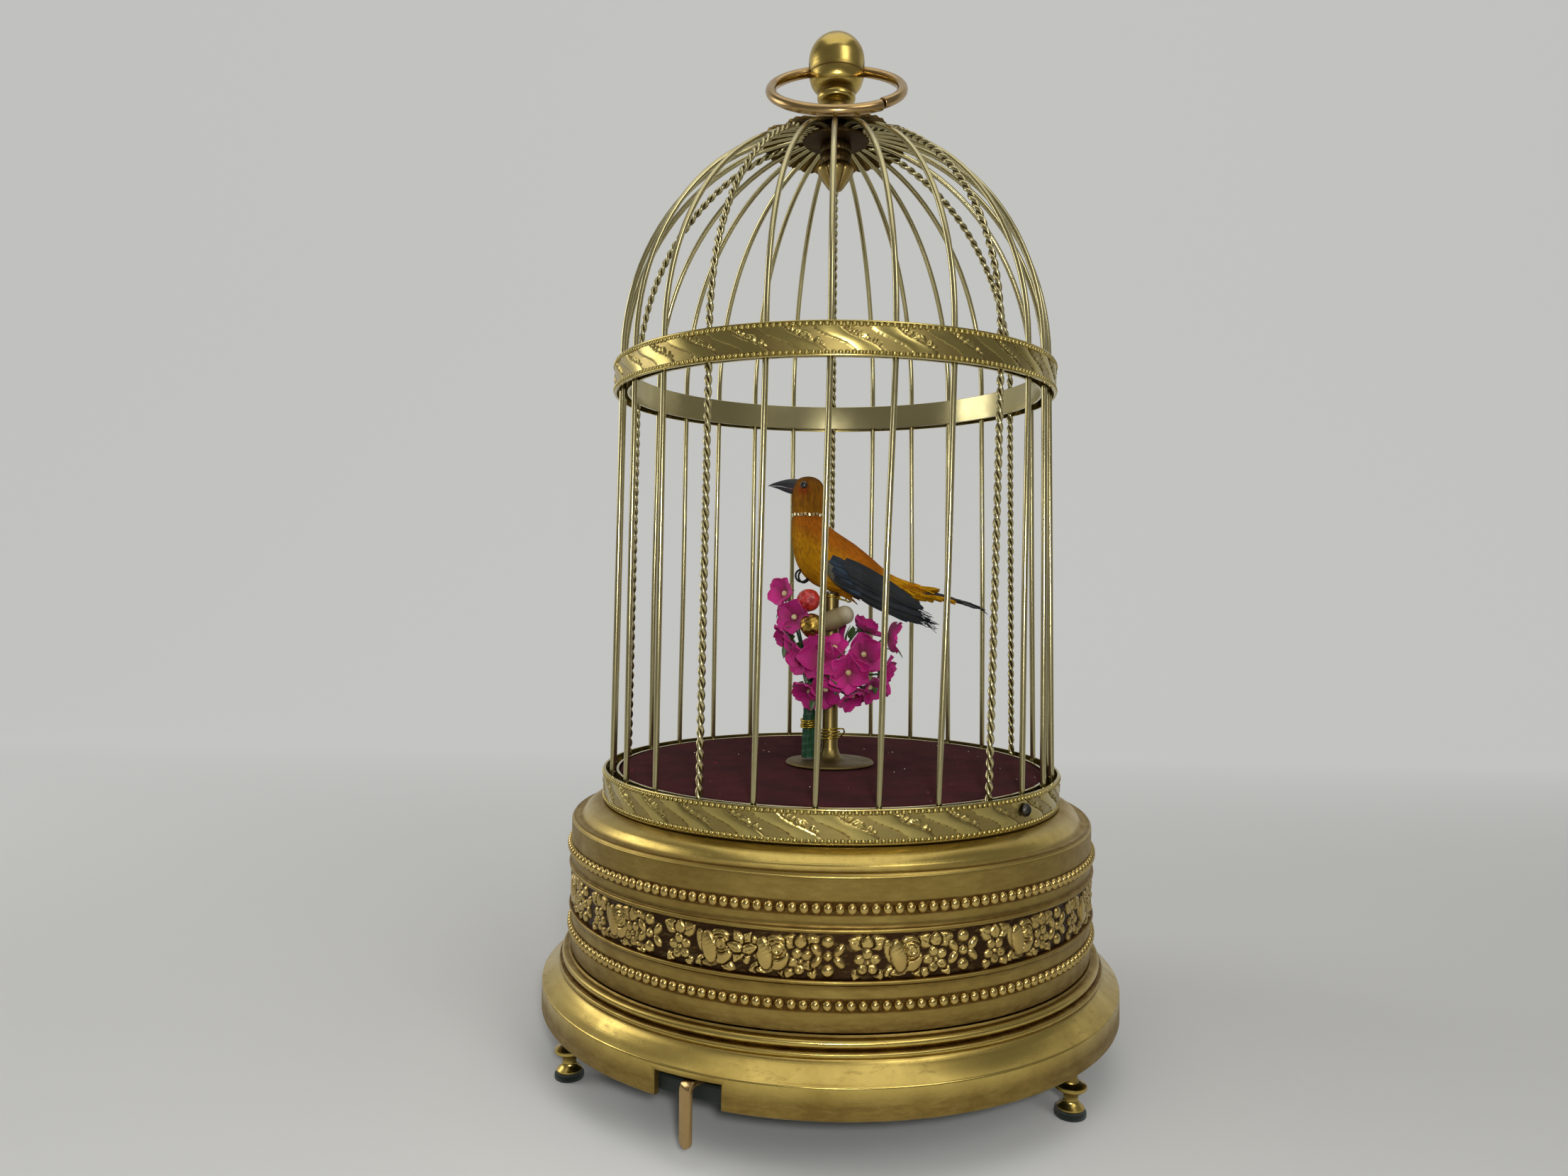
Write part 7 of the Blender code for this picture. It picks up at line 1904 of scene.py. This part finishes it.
class BIRDCAGE_OT_plinth(bpy.types.Operator):
    """Turn the flared foot of the base"""
    bl_idname = "birdcage.plinth"
    bl_label = "Plinth"

    def execute(self, context):
        build_plinth()
        return {"FINISHED"}


class BIRDCAGE_OT_drum(bpy.types.Operator):
    """Turn the drum and stamp its bead rows and frieze"""
    bl_idname = "birdcage.drum"
    bl_label = "Drum"

    def execute(self, context):
        build_drum(context.scene.birdcage_sizes)
        return {"FINISHED"}


class BIRDCAGE_OT_bands(bpy.types.Operator):
    """Roll the two stamped bands and the plain hoops behind the bars"""
    bl_idname = "birdcage.bands"
    bl_label = "Bands"

    def execute(self, context):
        sizes = context.scene.birdcage_sizes
        build_band("lower_outer_band", CAGE_RADIUS, BAND_LOW, 30, "lower_outer_band", sizes)
        build_band("middle_outer_band", MIDDLE_RADIUS, MIDDLE_LOW, 29, "middle_outer_band", sizes)
        build_inner_band("lower_inner_band", BAR_CIRCLE, BAND_LOW + 0.4)
        build_inner_band("middle_inner_band", MIDDLE_BAR_CIRCLE, MIDDLE_LOW + 0.4)
        return {"FINISHED"}


class BIRDCAGE_OT_bars(bpy.types.Operator):
    """Bend the plain and twisted bars"""
    bl_idname = "birdcage.bars"
    bl_label = "Bars"

    def execute(self, context):
        sizes = context.scene.birdcage_sizes
        build_plain_bars(sizes)
        build_twisted_bars(sizes)
        return {"FINISHED"}


class BIRDCAGE_OT_crown(bpy.types.Operator):
    """Make the leafy rosette, the nut under it and the ball on top"""
    bl_idname = "birdcage.crown"
    bl_label = "Crown"

    def execute(self, context):
        build_crown_rosette()
        build_crown_nut()
        build_finial()
        return {"FINISHED"}


class BIRDCAGE_OT_bail(bpy.types.Operator):
    """Bend the carrying ring"""
    bl_idname = "birdcage.bail"
    bl_label = "Carrying ring"

    def execute(self, context):
        build_bail(context.scene.birdcage_sizes)
        return {"FINISHED"}


class BIRDCAGE_OT_screws(bpy.types.Operator):
    """Cut the three slotted screws of the lower band"""
    bl_idname = "birdcage.screws"
    bl_label = "Screws"

    def execute(self, context):
        build_screws()
        return {"FINISHED"}


class BIRDCAGE_OT_velvet(bpy.types.Operator):
    """Lay the velvet floor and its specks"""
    bl_idname = "birdcage.velvet"
    bl_label = "Velvet floor"

    def execute(self, context):
        build_velvet()
        return {"FINISHED"}


class BIRDCAGE_OT_perch(bpy.types.Operator):
    """Turn the perch tube and its flange"""
    bl_idname = "birdcage.perch"
    bl_label = "Perch"

    def execute(self, context):
        build_perch()
        return {"FINISHED"}


class BIRDCAGE_OT_bird_body(bpy.types.Operator):
    """Shape the bird's body and its loose feathers"""
    bl_idname = "birdcage.bird_body"
    bl_label = "Bird's body"

    def execute(self, context):
        build_bird_body()
        build_wisps()
        return {"FINISHED"}


class BIRDCAGE_OT_bird_wings(bpy.types.Operator):
    """Lay the two wings' covers and flight feathers"""
    bl_idname = "birdcage.bird_wings"
    bl_label = "Bird's wings"

    def execute(self, context):
        build_wings()
        return {"FINISHED"}


class BIRDCAGE_OT_bird_head(bpy.types.Operator):
    """Shape the head, the eyes and both halves of the beak"""
    bl_idname = "birdcage.bird_head"
    bl_label = "Bird's head"

    def execute(self, context):
        build_head()
        build_lower_beak()
        return {"FINISHED"}


class BIRDCAGE_OT_bird_tail(bpy.types.Operator):
    """Lay the tail feathers"""
    bl_idname = "birdcage.bird_tail"
    bl_label = "Bird's tail"

    def execute(self, context):
        build_tail()
        return {"FINISHED"}


class BIRDCAGE_OT_bird_trim(bpy.types.Operator):
    """String the gilt collar and bend the bird's wires"""
    bl_idname = "birdcage.bird_trim"
    bl_label = "Bird's trim"

    def execute(self, context):
        build_collar()
        build_bird_wires(context.scene.birdcage_sizes)
        return {"FINISHED"}


class BIRDCAGE_OT_bouquet(bpy.types.Operator):
    """Fold the paper flowers and leaves and bend their stems"""
    bl_idname = "birdcage.bouquet"
    bl_label = "Bouquet"

    def execute(self, context):
        build_flowers(context.scene.birdcage_colors)
        return {"FINISHED"}


class BIRDCAGE_OT_berries(bpy.types.Operator):
    """Shape the two berries and the frosted bud"""
    bl_idname = "birdcage.berries"
    bl_label = "Berries"

    def execute(self, context):
        build_berries()
        return {"FINISHED"}


class BIRDCAGE_OT_stem_bundle(bpy.types.Operator):
    """Wind the stems with tape and gilt wire"""
    bl_idname = "birdcage.stem_bundle"
    bl_label = "Stem bundle"

    def execute(self, context):
        build_stem_bundle()
        build_binding(context.scene.birdcage_sizes)
        return {"FINISHED"}


class BIRDCAGE_OT_lever(bpy.types.Operator):
    """Bend the start and stop lever"""
    bl_idname = "birdcage.lever"
    bl_label = "Lever"

    def execute(self, context):
        build_lever()
        return {"FINISHED"}


class BIRDCAGE_OT_feet(bpy.types.Operator):
    """Turn the three feet and cut their felt pads"""
    bl_idname = "birdcage.feet"
    bl_label = "Feet"

    def execute(self, context):
        build_feet()
        return {"FINISHED"}


class BIRDCAGE_OT_board(bpy.types.Operator):
    """Cut the painted board under the drum"""
    bl_idname = "birdcage.board"
    bl_label = "Bottom board"

    def execute(self, context):
        build_board()
        return {"FINISHED"}


class BIRDCAGE_OT_bellows(bpy.types.Operator):
    """Fold the bellows' leather"""
    bl_idname = "birdcage.bellows"
    bl_label = "Bellows"

    def execute(self, context):
        build_bellows()
        return {"FINISHED"}


class BIRDCAGE_OT_movement(bpy.types.Operator):
    """Finish the movement's own parts"""
    bl_idname = "birdcage.movement"
    bl_label = "Movement"

    def execute(self, context):
        dress_movement()
        return {"FINISHED"}


STEPS = (
    BIRDCAGE_OT_finishes,
    BIRDCAGE_OT_stage,
    BIRDCAGE_OT_plinth,
    BIRDCAGE_OT_drum,
    BIRDCAGE_OT_bands,
    BIRDCAGE_OT_bars,
    BIRDCAGE_OT_crown,
    BIRDCAGE_OT_bail,
    BIRDCAGE_OT_screws,
    BIRDCAGE_OT_velvet,
    BIRDCAGE_OT_perch,
    BIRDCAGE_OT_bird_body,
    BIRDCAGE_OT_bird_wings,
    BIRDCAGE_OT_bird_head,
    BIRDCAGE_OT_bird_tail,
    BIRDCAGE_OT_bird_trim,
    BIRDCAGE_OT_bouquet,
    BIRDCAGE_OT_berries,
    BIRDCAGE_OT_stem_bundle,
    BIRDCAGE_OT_lever,
    BIRDCAGE_OT_feet,
    BIRDCAGE_OT_board,
    BIRDCAGE_OT_bellows,
    BIRDCAGE_OT_movement,
)


class BIRDCAGE_PT_panel(bpy.types.Panel):
    """Every step of the bird cage, in order, with its sizes and colours"""
    bl_idname = "BIRDCAGE_PT_panel"
    bl_label = "Singing bird automaton"
    bl_space_type = "VIEW_3D"
    bl_region_type = "UI"
    bl_category = "Bird cage"

    def draw(self, context):
        for step in STEPS:
            self.layout.operator(step.bl_idname)
        for group in (context.scene.birdcage_sizes, context.scene.birdcage_colors):
            for key in group.bl_rna.properties.keys():
                if key not in ("rna_type", "name"):
                    self.layout.prop(group, key)


CLASSES = (BirdcageSizes, BirdcageColors) + STEPS + (BIRDCAGE_PT_panel,)


def register():
    for kind in CLASSES:
        bpy.utils.register_class(kind)
    bpy.types.Scene.birdcage_sizes = bpy.props.PointerProperty(type=BirdcageSizes)
    bpy.types.Scene.birdcage_colors = bpy.props.PointerProperty(type=BirdcageColors)


def unregister():
    del bpy.types.Scene.birdcage_colors
    del bpy.types.Scene.birdcage_sizes
    for kind in reversed(CLASSES):
        bpy.utils.unregister_class(kind)


def main():
    register()
    for step in STEPS:
        getattr(bpy.ops.birdcage, step.bl_idname.split(".")[1])()


if __name__ == "__main__":
    main()
